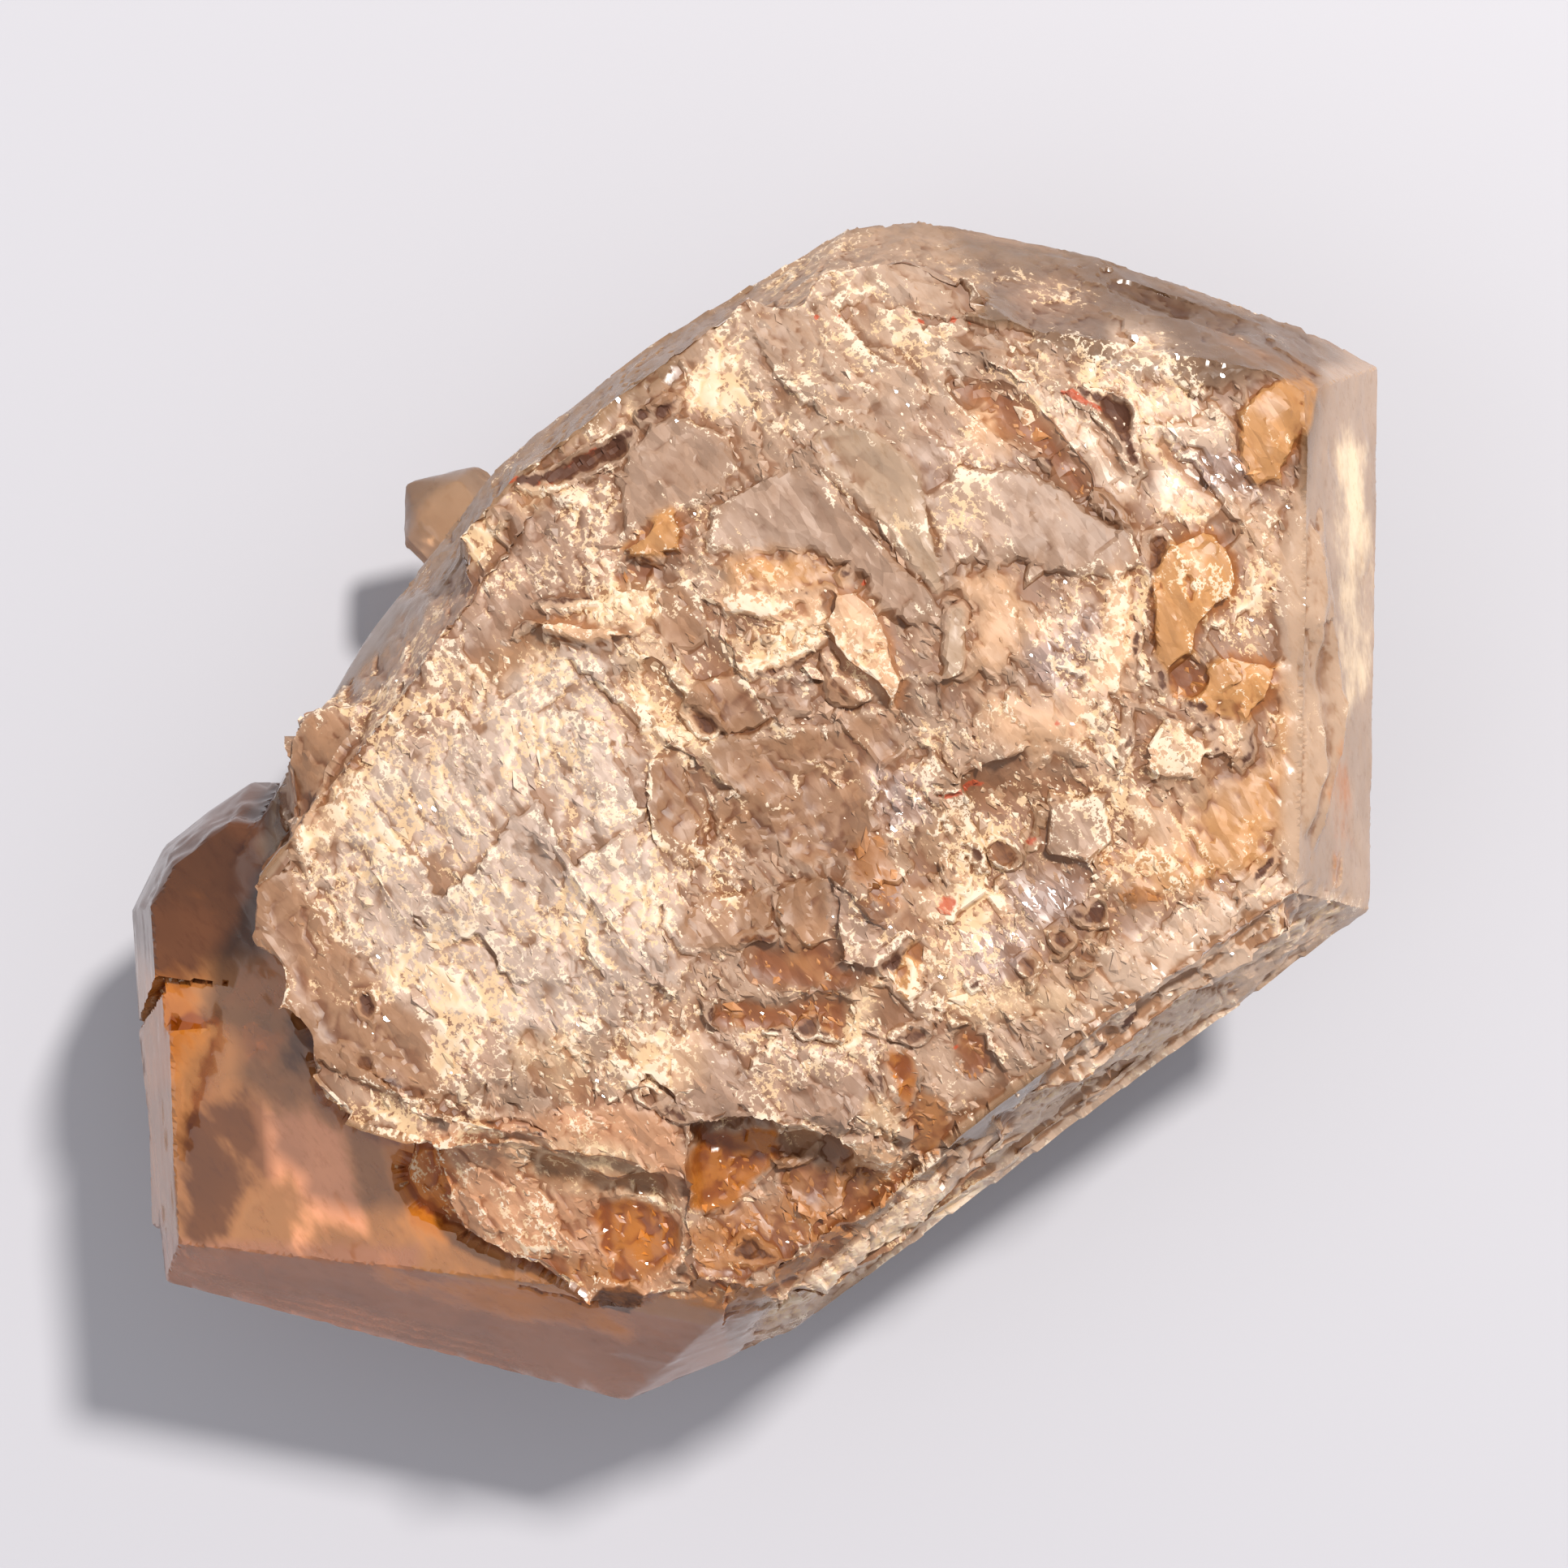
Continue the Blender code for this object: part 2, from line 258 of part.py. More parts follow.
# Small angular growths scattered over an area: seed, count, outline of the area, sizes, and height.
SCATTERS = {
    "boxwork": (11, 40, [(4.6, -0.6), (7.7, 0.4), (12.9, 1.2), (17.0, -0.6), (17.6, -5.0), (16.0, -9.0),
                         (12.6, -11.4), (8.0, -11.6), (6.6, -8.2), (4.8, -4.8)], (1.6, 3.0), 30.8),
    "corner": (3, 12, [(16.6, -6.6), (24.0, -5.0), (24.6, -8.0), (15.0, -12.6), (12.6, -12.6)],
               (2.0, 3.6), 28.8),
    "lower_bank": (5, 12, [(0.6, -12.8), (9.6, -11.6), (12.4, -12.6), (9.0, -17.0), (1.4, -14.2)],
                   (2.0, 3.4), 30.0),
    "sparkle": (7, 8, [(19.8, 16.6), (24.4, 16.0), (24.6, 13.4), (20.0, 13.8)], (1.8, 2.8), 29.6),
    "rim_bank": (9, 14, [(-13.0, 11.4), (-6.0, 14.6), (-2.6, 18.6), (-4.0, 20.6), (-11.6, 15.2)],
                 (2.2, 4.2), 29.8),
    "upper_left": (13, 14, [(-21.0, 3.6), (-14.0, 9.6), (-8.0, 7.6), (-8.6, 4.2), (-16.0, 4.2)],
                   (2.2, 4.2), 30.2),
    "strip": (15, 10, [(-3.6, -25.2), (0.4, -26.4), (8.4, -20.6), (6.0, -20.0), (-0.4, -24.4)],
              (1.6, 3.0), 24.6),
    "patch": (17, 16, [(-22.0, -2.0), (-14.0, 3.0), (-8.0, -4.0), (-10.0, -12.0), (-20.0, -9.0)],
              (2.8, 5.0), 31.2),
    "shoulder": (19, 12, [(-1.0, 22.0), (4.0, 25.0), (8.0, 24.0), (7.0, 19.0), (1.0, 19.6)], (2.4, 4.4), 28.8),
    "end": (21, 6, [(25.0, 13.0), (26.4, 12.0), (26.4, 2.0), (25.0, -2.0)], (2.0, 3.2), 28.2),
}

# The dark smoky lobe beside the clear block: outline and height at its widest, and its top and bottom,
# each with a height and a size against the outline.
SMOKY_LOBE = {"outline": [(-34.4, -6.6), (-32.7, -3.2), (-30.4, -1.4), (-28.0, 0.2), (-24.0, 0.0),
                          (-23.0, -9.0), (-27.0, -13.0), (-34.0, -12.6)],
              "widest": 15.0, "top": (21.6, 0.62), "bottom": (4.0, 0.55)}

# The small clear crystal behind the upper left side: a six-sided prism with a pointed end.
SPUR = {"base": (-15.4, 12.2, 10.0), "direction": (-0.72, 0.66, -0.04), "radius": 3.1,
        "flatness": 0.8, "root": 3.0, "prism": 4.2, "point": 2.4, "lean": 0.4}

# Stepped hollows (a depth) and raised growth layers (a negative depth) on the crystal's side and end faces:
# face number in OUTLINE, 1 above the girdle or -1 below it, middle along the face and down it, half sizes,
# depth of each step, number of steps, and seed.
FACE_MARKS = [
    (0, -1, 0.0, 9.0, 10.0, 5.6, 0.7, 3, 1),
    (0, -1, -8.6, 3.4, 3.4, 2.4, -0.6, 2, 2),
    (0, 1, 3.4, 4.0, 6.6, 1.9, 0.45, 2, 3),
    (1, -1, -3.0, 9.6, 13.0, 6.6, 0.7, 4, 4),
    (1, -1, 13.6, 4.6, 4.2, 3.4, -0.7, 2, 5),
    (1, -1, -13.4, 3.0, 4.6, 2.2, -0.5, 2, 6),
    (1, 1, 4.0, 3.0, 9.0, 1.6, 0.4, 1, 18),
    (3, -1, 1.0, 7.6, 9.0, 5.0, 0.7, 3, 7),
    (3, -1, -9.0, 3.6, 3.6, 2.6, -0.6, 2, 8),
    (4, -1, 0.0, 7.4, 4.8, 5.2, 0.6, 2, 9),
    (5, -1, 0.4, 9.0, 4.2, 5.0, 0.6, 2, 10),
    (7, -1, 1.2, 13.4, 4.4, 3.4, -0.7, 3, 11),
    (8, -1, 1.0, 8.4, 4.2, 5.8, 0.7, 3, 12),
    (9, -1, 0.4, 9.4, 5.0, 5.6, 0.7, 2, 13),
    (11, -1, 0.0, 8.8, 3.8, 5.6, 0.6, 2, 14),
    (12, -1, 0.6, 8.2, 4.6, 5.4, 0.6, 3, 15),
    (12, 1, -0.4, 4.0, 4.4, 1.8, 0.4, 1, 16),
    (4, 1, 0.5, 2.8, 4.6, 1.4, 0.35, 1, 17),
]
LAYER_ROOT = 1.5            # how far a raised layer reaches into its face

# Stepped hollows in the flat back: middle on the plan, half sizes, depth of each step, steps and seed.
BACK_HOLLOWS = [
    ((0.6, 3.6), (3.4, 2.6), 0.8, 3, 21),
    ((-11.4, -9.8), (3.6, 2.4), 0.7, 2, 22),
    ((14.6, 8.6), (2.8, 2.4), 0.7, 2, 23),
    ((-3.0, -9.2), (2.4, 1.6), 0.6, 2, 24),
]


def in_part(x, y, z):
    """Return the plan point as a point of the part, in metres."""
    turn = math.radians(PLAN_TURN)
    u, v = x - PLAN_CENTRE[0], y - PLAN_CENTRE[1]
    along = u * math.cos(turn) - v * math.sin(turn)
    across = u * math.sin(turn) + v * math.cos(turn)
    return Vector((along, across, z)) * MM


def middle_of(outline):
    """Return the mean of an outline's corners."""
    return (sum(p[0] for p in outline) / len(outline), sum(p[1] for p in outline) / len(outline))


def shrunk(outline, size):
    """Return an outline scaled about its middle."""
    cx, cy = middle_of(outline)
    return [(cx + (x - cx) * size, cy + (y - cy) * size) for x, y in outline]


def turned_left(outline):
    """Return the outline running anticlockwise, seen from above."""
    area = sum(a[0] * b[1] - b[0] * a[1] for a, b in zip(outline, outline[1:] + outline[:1]))
    return outline if area > 0 else outline[::-1]


def inside(point, outline):
    """Tell whether a plan point lies inside an outline."""
    x, y = point
    odd = False
    for (ax, ay), (bx, by) in zip(outline, outline[1:] + outline[:1]):
        if (ay > y) != (by > y) and x < ax + (bx - ax) * (y - ay) / (by - ay):
            odd = not odd
    return odd


def plane_height(face, x, y):
    """Return a tilted face's height over a plan point."""
    (px, py, pz), (rise_x, rise_y) = face
    return pz + rise_x * (x - px) + rise_y * (y - py)


def inward_of(start, end):
    """Return the direction across an outline's edge that points to the crystal's middle."""
    dx, dy = end[0] - start[0], end[1] - start[1]
    length = math.hypot(dx, dy)
    across = (-dy / length, dx / length)
    middle = middle_of([corner[:2] for corner, _, _ in OUTLINE])
    if across[0] * (middle[0] - start[0]) + across[1] * (middle[1] - start[1]) < 0:
        across = (-across[0], -across[1])
    return across


def cut_away(bm, points, keep):
    """Cut a convex solid by the plane through three points, and keep the side that holds a fourth."""
    a, b, c = (in_part(*p) for p in points)
    normal = (b - a).cross(c - a).normalized()
    if normal.dot(in_part(*keep) - a) > 0:
        normal.negate()
    everything = bm.verts[:] + bm.edges[:] + bm.faces[:]
    cut = bmesh.ops.bisect_plane(bm, geom=everything, dist=1e-7, plane_co=a, plane_no=normal, clear_outer=True)
    rim = [item for item in cut["geom_cut"] if isinstance(item, bmesh.types.BMEdge)]
    if rim:
        bmesh.ops.contextual_create(bm, geom=rim)


def add_prism(bm, low, high):
    """Add a closed solid between two outlines of part points with equally many corners."""
    feet = [bm.verts.new(in_part(*p)) for p in low]
    tops = [bm.verts.new(in_part(*p)) for p in high]
    count = len(low)
    for i in range(count):
        j = (i + 1) % count
        bm.faces.new((feet[i], feet[j], tops[j], tops[i]))
    bm.faces.new(tops)
    bm.faces.new(feet[::-1])


def slab(bm, outline, top, rise, depth, foot):
    """Add a slab with a tilted top over a plan outline."""
    outline = turned_left(outline)
    cx, cy = middle_of(outline)
    face = ((cx, cy, top), rise)
    high = [(x, y, plane_height(face, x, y)) for x, y in outline]
    low = [(cx + (x - cx) * foot, cy + (y - cy) * foot, z - depth) for x, y, z in high]
    add_prism(bm, low, high)


def pit(bm, outline, top, depth, slide, floor=0.55):
    """Add a cutter that narrows from a mouth outline to a floor which is slid sideways."""
    outline = turned_left(outline)
    high = [(x, y, top) for x, y in outline]
    low = [(x + slide[0], y + slide[1], top - depth) for x, y in shrunk(outline, floor)]
    add_prism(bm, low, high)


def ridge(bm, path, width):
    """Add a roof-shaped ridge along a path, pointed at both ends."""
    deep = 3.0
    sections = []
    for i, (x, y, z) in enumerate(path):
        before, after = path[max(i - 1, 0)], path[min(i + 1, len(path) - 1)]
        dx, dy = after[0] - before[0], after[1] - before[1]
        length = math.hypot(dx, dy)
        half = width / 2 * (0.45 if i in (0, len(path) - 1) else 1.0)
        side = (-dy / length * half, dx / length * half)
        sections.append([(x + side[0], y + side[1], z - width * 0.45), (x, y, z),
                         (x - side[0], y - side[1], z - width * 0.45),
                         (x - side[0] * 1.6, y - side[1] * 1.6, z - deep),
                         (x + side[0] * 1.6, y + side[1] * 1.6, z - deep)])
    rings = [[bm.verts.new(in_part(*p)) for p in section] for section in sections]
    for low, high in zip(rings, rings[1:]):
        for i in range(5):
            j = (i + 1) % 5
            bm.faces.new((low[i], low[j], high[j], high[i]))
    bm.faces.new(rings[0][::-1])
    bm.faces.new(rings[-1])


def dome(bm, centre, sizes, turn):
    """Add a flattened ball."""
    place = Matrix.Translation(in_part(*centre)) @ Matrix.Rotation(math.radians(turn + PLAN_TURN), 4, "Z")
    shape = Matrix.Diagonal((sizes[0] * MM, sizes[1] * MM, sizes[2] * MM, 1.0))
    bmesh.ops.create_uvsphere(bm, u_segments=14, v_segments=8, radius=1.0, matrix=place @ shape)


def shard(bm, chance, top, sizes):
    """Add a small angular growth whose highest corner is about at a plan point."""
    size = chance.uniform(*sizes)
    centre = in_part(top[0], top[1], top[2] - 0.42 * size)
    flat = chance.uniform(0.4, 0.7)
    turn = Matrix.Rotation(chance.uniform(0, math.pi), 3, "Z")
    for _ in range(9):
        corner = Vector([chance.gauss(0, 1) for _ in range(3)]).normalized() * (0.5 * size * MM)
        bm.verts.new(centre + turn @ Vector((corner.x, corner.y * flat, corner.z * 0.9)))
    hull = bmesh.ops.convex_hull(bm, input=bm.verts[:])
    spare = {item for item in hull["geom_interior"] + hull["geom_unused"]
             if isinstance(item, bmesh.types.BMVert)}
    bmesh.ops.delete(bm, geom=list(spare), context="VERTS")


def new_object(name, bm, collection):
    """Make an object of a mesh, with its normals facing out."""
    bmesh.ops.recalc_face_normals(bm, faces=bm.faces[:])
    mesh = bpy.data.meshes.new(name)
    bm.to_mesh(mesh)
    bm.free()
    made = bpy.data.objects.new(name, mesh)
    collection.objects.link(made)
    return made


def new_tool(name, collection, shape, *sizes):
    """Make one solid that the crystal is joined with or cut by."""
    bm = bmesh.new()
    shape(bm, *sizes)
    made = new_object(name, bm, collection)
    made.hide_render = True
    made.display_type = "WIRE"


def new_collection(name):
    """Make a collection in the scene."""
    made = bpy.data.collections.new(name)
    bpy.context.scene.collection.children.link(made)
    return made


def build_core(collection):
    """Make the crystal's body by cutting a block with its faces."""
    bm = bmesh.new()
    width, breadth, height = BLOCK_SIZE
    size = Matrix.Diagonal((width * MM, breadth * MM, height * MM, 1.0))
    bmesh.ops.create_cube(bm, size=1.0, matrix=Matrix.Translation((0, 0, height / 2 * MM)) @ size)
    keep = (*middle_of([corner[:2] for corner, _, _ in OUTLINE]), MIDDLE_HEIGHT)
    for (start, above, below), (end, _, _) in zip(OUTLINE, OUTLINE[1:] + OUTLINE[:1]):
        inward = inward_of(start, end)
        for lean, level in ((above, 10.0), (below, -10.0)):
            shift = lean * 10.0
            leaned = (start[0] + inward[0] * shift, start[1] + inward[1] * shift, start[2] + level)
            cut_away(bm, [start, end, leaned], keep)
    for (x, y, z), (rise_x, rise_y) in FRONT_FACES:
        cut_away(bm, [(x, y, z), (x + 10, y, z + 10 * rise_x), (x, y + 10, z + 10 * rise_y)], keep)
    return new_object(NAME, bm, collection)


def clear_block_step(bm):
    """Add the cutter that steps the clear block down from the front."""
    outline = turned_left(BREAK_EDGE + BREAK_FAR_SIDE)
    low = [(x, y, plane_height(BLOCK_FACE, x, y)) for x, y in outline]
    add_prism(bm, low, [(x, y, 45.0) for x, y in outline])


def scattered(chance, count, area, top):
    """Return random places within an area, each a little under a height."""
    low_x, high_x = min(p[0] for p in area), max(p[0] for p in area)
    low_y, high_y = min(p[1] for p in area), max(p[1] for p in area)
    places = []
    while len(places) < count:
        place = (chance.uniform(low_x, high_x), chance.uniform(low_y, high_y))
        if inside(place, area):
            places.append((*place, top - chance.uniform(0.0, 0.8)))
    return places


def smoky_lobe(bm):
    """Add the smoky lobe as two tapered solids that share their widest outline."""
    outline = turned_left(SMOKY_LOBE["outline"])
    rings = []
    for height, size in (SMOKY_LOBE["bottom"], (SMOKY_LOBE["widest"], 1.0), SMOKY_LOBE["top"]):
        rings.append([bm.verts.new(in_part(x, y, height)) for x, y in shrunk(outline, size)])
    count = len(outline)
    for low, high in zip(rings, rings[1:]):
        for i in range(count):
            j = (i + 1) % count
            bm.faces.new((low[i], low[j], high[j], high[i]))
    bm.faces.new(rings[0][::-1])
    bm.faces.new(rings[-1])


def spur(bm):
    """Add the small pointed crystal behind the upper left side."""
    base = in_part(*SPUR["base"])
    direction = (in_part(*SPUR["direction"]) - in_part(0, 0, 0)).normalized()
    turn = direction.to_track_quat("Z", "Y").to_matrix().to_4x4()
    place = Matrix.Translation(base) @ turn
    radius = SPUR["radius"] * MM
    corners = [(radius * math.cos(a), SPUR["flatness"] * radius * math.sin(a))
               for a in (math.radians(60 * i) for i in range(6))]
    rings = [[bm.verts.new(place @ Vector((x, y, height * MM))) for x, y in corners]
             for height in (-SPUR["root"], SPUR["prism"])]
    for i in range(6):
        j = (i + 1) % 6
        bm.faces.new((rings[0][i], rings[0][j], rings[1][j], rings[1][i]))
    tip = bm.verts.new(place @ Vector((SPUR["lean"] * MM, 0, (SPUR["prism"] + SPUR["point"]) * MM)))
    for i in range(6):
        bm.faces.new((rings[1][i], rings[1][(i + 1) % 6], tip))
    bm.faces.new(rings[0][::-1])


def rough_outline(seed, middle, half_sizes):
    """Return an uneven outline of seven corners around a middle."""
    chance = random.Random(seed)
    corners = []
    for i in range(7):
        angle = 2 * math.pi * (i + chance.uniform(-0.25, 0.25)) / 7
        reach = chance.uniform(0.78, 1.05)
        corners.append((middle[0] + half_sizes[0] * reach * math.cos(angle),
                        middle[1] + half_sizes[1] * reach * math.sin(angle)))
    return corners


def straight_outline(seed, middle, half_sizes, level):
    """Return the outline of one step of a hollow, with sides about parallel to its face's sides."""
    chance = random.Random(seed)
    far = chance.uniform(0.62, 0.8)
    corners = [(-1.0, -1.0), (chance.uniform(-0.3, 0.3), -1.08), (1.0, -1.0), (0.9, chance.uniform(-0.2, 0.3)),
               (far, 1.0), (-far, 1.0), (-0.95, chance.uniform(-0.2, 0.3))]
    wander = (chance.uniform(-0.05, 0.05) * level, chance.uniform(-0.05, 0.05) * level)
    size = 1 - 0.19 * level
    return [(middle[0] + half_sizes[0] * (x * size * chance.uniform(0.93, 1.03) + wander[0]),
             middle[1] + half_sizes[1] * (y * size * chance.uniform(0.93, 1.03) + wander[1]))
            for x, y in corners]


def face_mark(bm, number, side, along, down, half_along, half_down, depth, level, seed):
    """Add one step of a hollow's cutter, or of a raised layer, on one of the crystal's faces."""
    start, above, below = OUTLINE[number]
    end = OUTLINE[(number + 1) % len(OUTLINE)][0]
    inward = inward_of(start, end)
    lean = above if side > 0 else below
    edge = (Vector(end) - Vector(start)).normalized()
    slope = Vector((inward[0] * lean, inward[1] * lean, side)).normalized()
    out = edge.cross(slope).normalized()
    if out.dot(Vector((*inward, 0))) > 0:
        out.negate()
    origin = (Vector(start) + Vector(end)) / 2
    outline = straight_outline(seed, (along, down), (half_along, half_down), level)
    if depth > 0:
        floor, mouth, floor_size, mouth_size = -depth * (level + 1), 2.0, 0.94, 1.02
    else:
        floor, mouth, floor_size, mouth_size = -LAYER_ROOT, -depth * (level + 1), 1.0, 0.92
    low = [origin + edge * x + slope * y + out * floor for x, y in shrunk(outline, floor_size)]
    high = [origin + edge * x + slope * y + out * mouth for x, y in shrunk(outline, mouth_size)]
    add_prism(bm, low, high)


def back_hollow(bm, middle, half_sizes, depth, level, seed):
    """Add one step of a hollow's cutter in the flat back."""
    outline = turned_left(shrunk(rough_outline(seed, middle, half_sizes), 1 - 0.26 * level))
    high = [(x, y, depth * (level + 1)) for x, y in shrunk(outline, 0.92)]
    add_prism(bm, [(x, y, -1.0) for x, y in outline], high)


def quartz_material():
    """Make the stone's plain material: smoky, see-through quartz."""
    material = bpy.data.materials.new("smoky_quartz")
    material.use_nodes = True
    shader = material.node_tree.nodes["Principled BSDF"]
    shader.inputs["Base Color"].default_value = (0.55, 0.40, 0.26, 1.0)
    shader.inputs["Roughness"].default_value = 0.25
    shader.inputs["Metallic"].default_value = 0.0
    shader.inputs["IOR"].default_value = 1.544
    return material


def join_or_cut(part, operation, tools):
    """Join the part with a collection's solids, or cut it by them."""
    step = part.modifiers.new(tools.name, "BOOLEAN")
    step.operation = operation
    step.operand_type = "COLLECTION"
    step.collection = tools
    step.solver = "EXACT"


def main():
    """Build the crystal."""
    for old in list(bpy.data.objects):
        bpy.data.objects.remove(old, do_unlink=True)
    part = build_core(new_collection(NAME))
    part.data.materials.append(quartz_material())

    step = new_collection("block_step")
    new_tool("clear_block_step", step, clear_block_step)
    lumps = new_collection("lumps")
    for name, sizes in LUMPS.items():
        new_tool(name, lumps, slab, *sizes)
    new_tool("smoky_lobe", lumps, smoky_lobe)
    new_tool("spur", lumps, spur)
    basins = new_collection("basins")
    for name, (outline, floor, rise, depth, mouth) in BASINS.items():
        new_tool(name, basins, slab, outline, floor + depth, rise, depth, 1 / mouth)
    plates = new_collection("plates")
    for name, (seed, count, area, sizes, top) in SCATTERS.items():
        chance = random.Random(seed)
        for number, centre in enumerate(scattered(chance, count, area, top)):
            new_tool(f"{name}_{number}", plates, shard, chance, centre, sizes)
    for name, sizes in PLATES.items():
        new_tool(name, plates, slab, *sizes)
    for name, sizes in RIDGES.items():
        new_tool(name, plates, ridge, *sizes)
    for name, sizes in DOMES.items():
        new_tool(name, plates, dome, *sizes)
    pits = new_collection("pits")
    for name, sizes in PITS.items():
        new_tool(name, pits, pit, *sizes)
    for number, (*sizes, steps, seed) in enumerate(BACK_HOLLOWS):
        for level in range(steps):
            new_tool(f"back_hollow_{number}_{level}", pits, back_hollow, *sizes, level, seed)
    for number, (*sizes, steps, seed) in enumerate(FACE_MARKS):
        where = pits if sizes[-1] > 0 else lumps
        for level in range(steps):
            new_tool(f"face_mark_{number}_{level}", where, face_mark, *sizes, level, seed)

    for operation, tools in (("DIFFERENCE", step), ("UNION", lumps), ("DIFFERENCE", basins),
                             ("UNION", plates), ("DIFFERENCE", pits)):
        join_or_cut(part, operation, tools)


main()
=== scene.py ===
"""Looks of the skeletal quartz: its broken and frosted surface, its clear faces and their stains.

The crystal's body is a copy of the solid, remeshed finely, carved along named features and dressed in one
stone finish. The features are drawn on the crystal's plan, in millimetres, as seen from above.
"""

from __future__ import annotations

import logging
import math
import random
from dataclasses import dataclass, field
from enum import Enum

import bmesh
import bpy
import numpy as np
from mathutils import Matrix, Vector
from mathutils.bvhtree import BVHTree

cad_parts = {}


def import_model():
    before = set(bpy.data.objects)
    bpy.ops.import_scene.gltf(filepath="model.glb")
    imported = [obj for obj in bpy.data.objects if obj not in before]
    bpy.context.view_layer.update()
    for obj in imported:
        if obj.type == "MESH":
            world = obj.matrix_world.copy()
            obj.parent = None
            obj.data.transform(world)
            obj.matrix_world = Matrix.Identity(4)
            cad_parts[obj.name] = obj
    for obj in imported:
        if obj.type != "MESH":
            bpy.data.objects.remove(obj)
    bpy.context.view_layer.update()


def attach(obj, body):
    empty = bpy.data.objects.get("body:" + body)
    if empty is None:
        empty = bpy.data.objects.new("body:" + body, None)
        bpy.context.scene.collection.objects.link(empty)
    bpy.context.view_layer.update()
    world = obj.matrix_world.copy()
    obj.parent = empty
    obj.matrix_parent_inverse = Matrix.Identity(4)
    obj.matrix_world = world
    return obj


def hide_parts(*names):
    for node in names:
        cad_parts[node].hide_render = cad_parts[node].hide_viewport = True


LOG = logging.getLogger("skeletal_quartz")
NODE = "skeletal_quartz"
BODY = "root"
NUMBERS = ("glass", "rough", "crust", "grain", "dark", "amber", "rust", "sparkle", "cloud", "crest", "mottle",
           "shape")     # what each vertex says about its finish, next to its two colours
MM = 0.001
FRAME_SIDE = 1932           # pixels along each side of the view that the plan is drawn in


# ---------------------------------------------------------------------------------------------- helpers


def linear(red: float, green: float, blue: float) -> tuple[float, float, float]:
    """Turn a display colour of 0 to 255 into linear light.

    Args:
        red: Display red.
        green: Display green.
        blue: Display blue.

    Returns:
        The linear colour, 0 to 1.
    """
    def channel(value: float) -> float:
        """Return one channel in linear light."""
        share = value / 255.0
        return share / 12.92 if share <= 0.04045 else ((share + 0.055) / 1.055) ** 2.4

    return channel(red), channel(green), channel(blue)


def ramp(value: np.ndarray, low: float, high: float) -> np.ndarray:
    """Return a smooth 0 to 1 rise of value between low and high."""
    share = np.clip((value - low) / (high - low), 0.0, 1.0)
    return share * share * (3.0 - 2.0 * share)


def deselect_all() -> None:
    """Leave nothing selected, so that an operator acts on its own piece only."""
    for each in bpy.context.selected_objects:
        each.select_set(False)


def make_active(piece: bpy.types.Object) -> None:
    """Select one piece alone and make it the active one."""
    deselect_all()
    piece.select_set(True)
    bpy.context.view_layer.objects.active = piece


def apply_modifier(piece: bpy.types.Object, kind: str, **settings: object) -> None:
    """Add a modifier with its settings and apply it.

    Args:
        piece: The object that is changed.
        kind: Blender's name for the modifier's type.
        settings: The modifier's own values.
    """
    make_active(piece)
    modifier = piece.modifiers.new(kind.title(), kind)
    for name, value in settings.items():
        setattr(modifier, name, value)
    bpy.ops.object.modifier_apply(modifier=modifier.name)


def new_piece(name: str, mesh: bpy.types.Mesh) -> bpy.types.Object:
    """Make an object of a mesh and put it in the scene.

    Args:
        name: The object's name.
        mesh: Its mesh.

    Returns:
        The object.
    """
    piece = bpy.data.objects.new(name, mesh)
    bpy.context.scene.collection.objects.link(piece)
    return piece


def join_into(piece: bpy.types.Object, other: bpy.types.Object) -> None:
    """Join another object's mesh into a piece.

    Args:
        piece: The object that is kept.
        other: The object that is used up.
    """
    make_active(piece)
    other.select_set(True)
    bpy.ops.object.join()


def write_attribute(mesh: bpy.types.Mesh, name: str, values: np.ndarray) -> None:
    """Write a number, or a colour of four channels, for each vertex of a mesh.

    Args:
        mesh: The mesh.
        name: The attribute's name.
        values: A number, or a row of four, for each vertex.
    """
    if values.ndim == 1:
        mesh.attributes.new(name, "FLOAT", "POINT").data.foreach_set("value", values)
    else:
        mesh.attributes.new(name, "FLOAT_COLOR", "POINT").data.foreach_set("color", values.ravel())


def add_prism(grid: bmesh.types.BMesh, top: list[bmesh.types.BMVert], foot: list[bmesh.types.BMVert]) -> None:
    """Add the faces of a closed prism between two rings of as many corners each.

    Args:
        grid: The mesh that is built.
        top: Corners of one end.
        foot: Corners of the other end, in the same order.
    """
    grid.faces.new(top)
    grid.faces.new(foot[::-1])
    for number in range(len(top)):
        after = (number + 1) % len(top)
        grid.faces.new((top[after], top[number], foot[number], foot[after]))


def vertex_positions(mesh: bpy.types.Mesh) -> np.ndarray:
    """Return a mesh's vertices, one row each, in metres.

    Args:
        mesh: The mesh.

    Returns:
        The positions.
    """
    flat = np.empty(len(mesh.vertices) * 3, dtype=np.float64)
    mesh.vertices.foreach_get("co", flat)
    return flat.reshape(-1, 3)


def vertex_normals(mesh: bpy.types.Mesh) -> np.ndarray:
    """Return a mesh's vertex normals, one row each.

    Args:
        mesh: The mesh.

    Returns:
        The normals.
    """
    flat = np.empty(len(mesh.vertices) * 3, dtype=np.float32)
    mesh.vertex_normals.foreach_get("vector", flat)
    return flat.reshape(-1, 3).astype(np.float64)


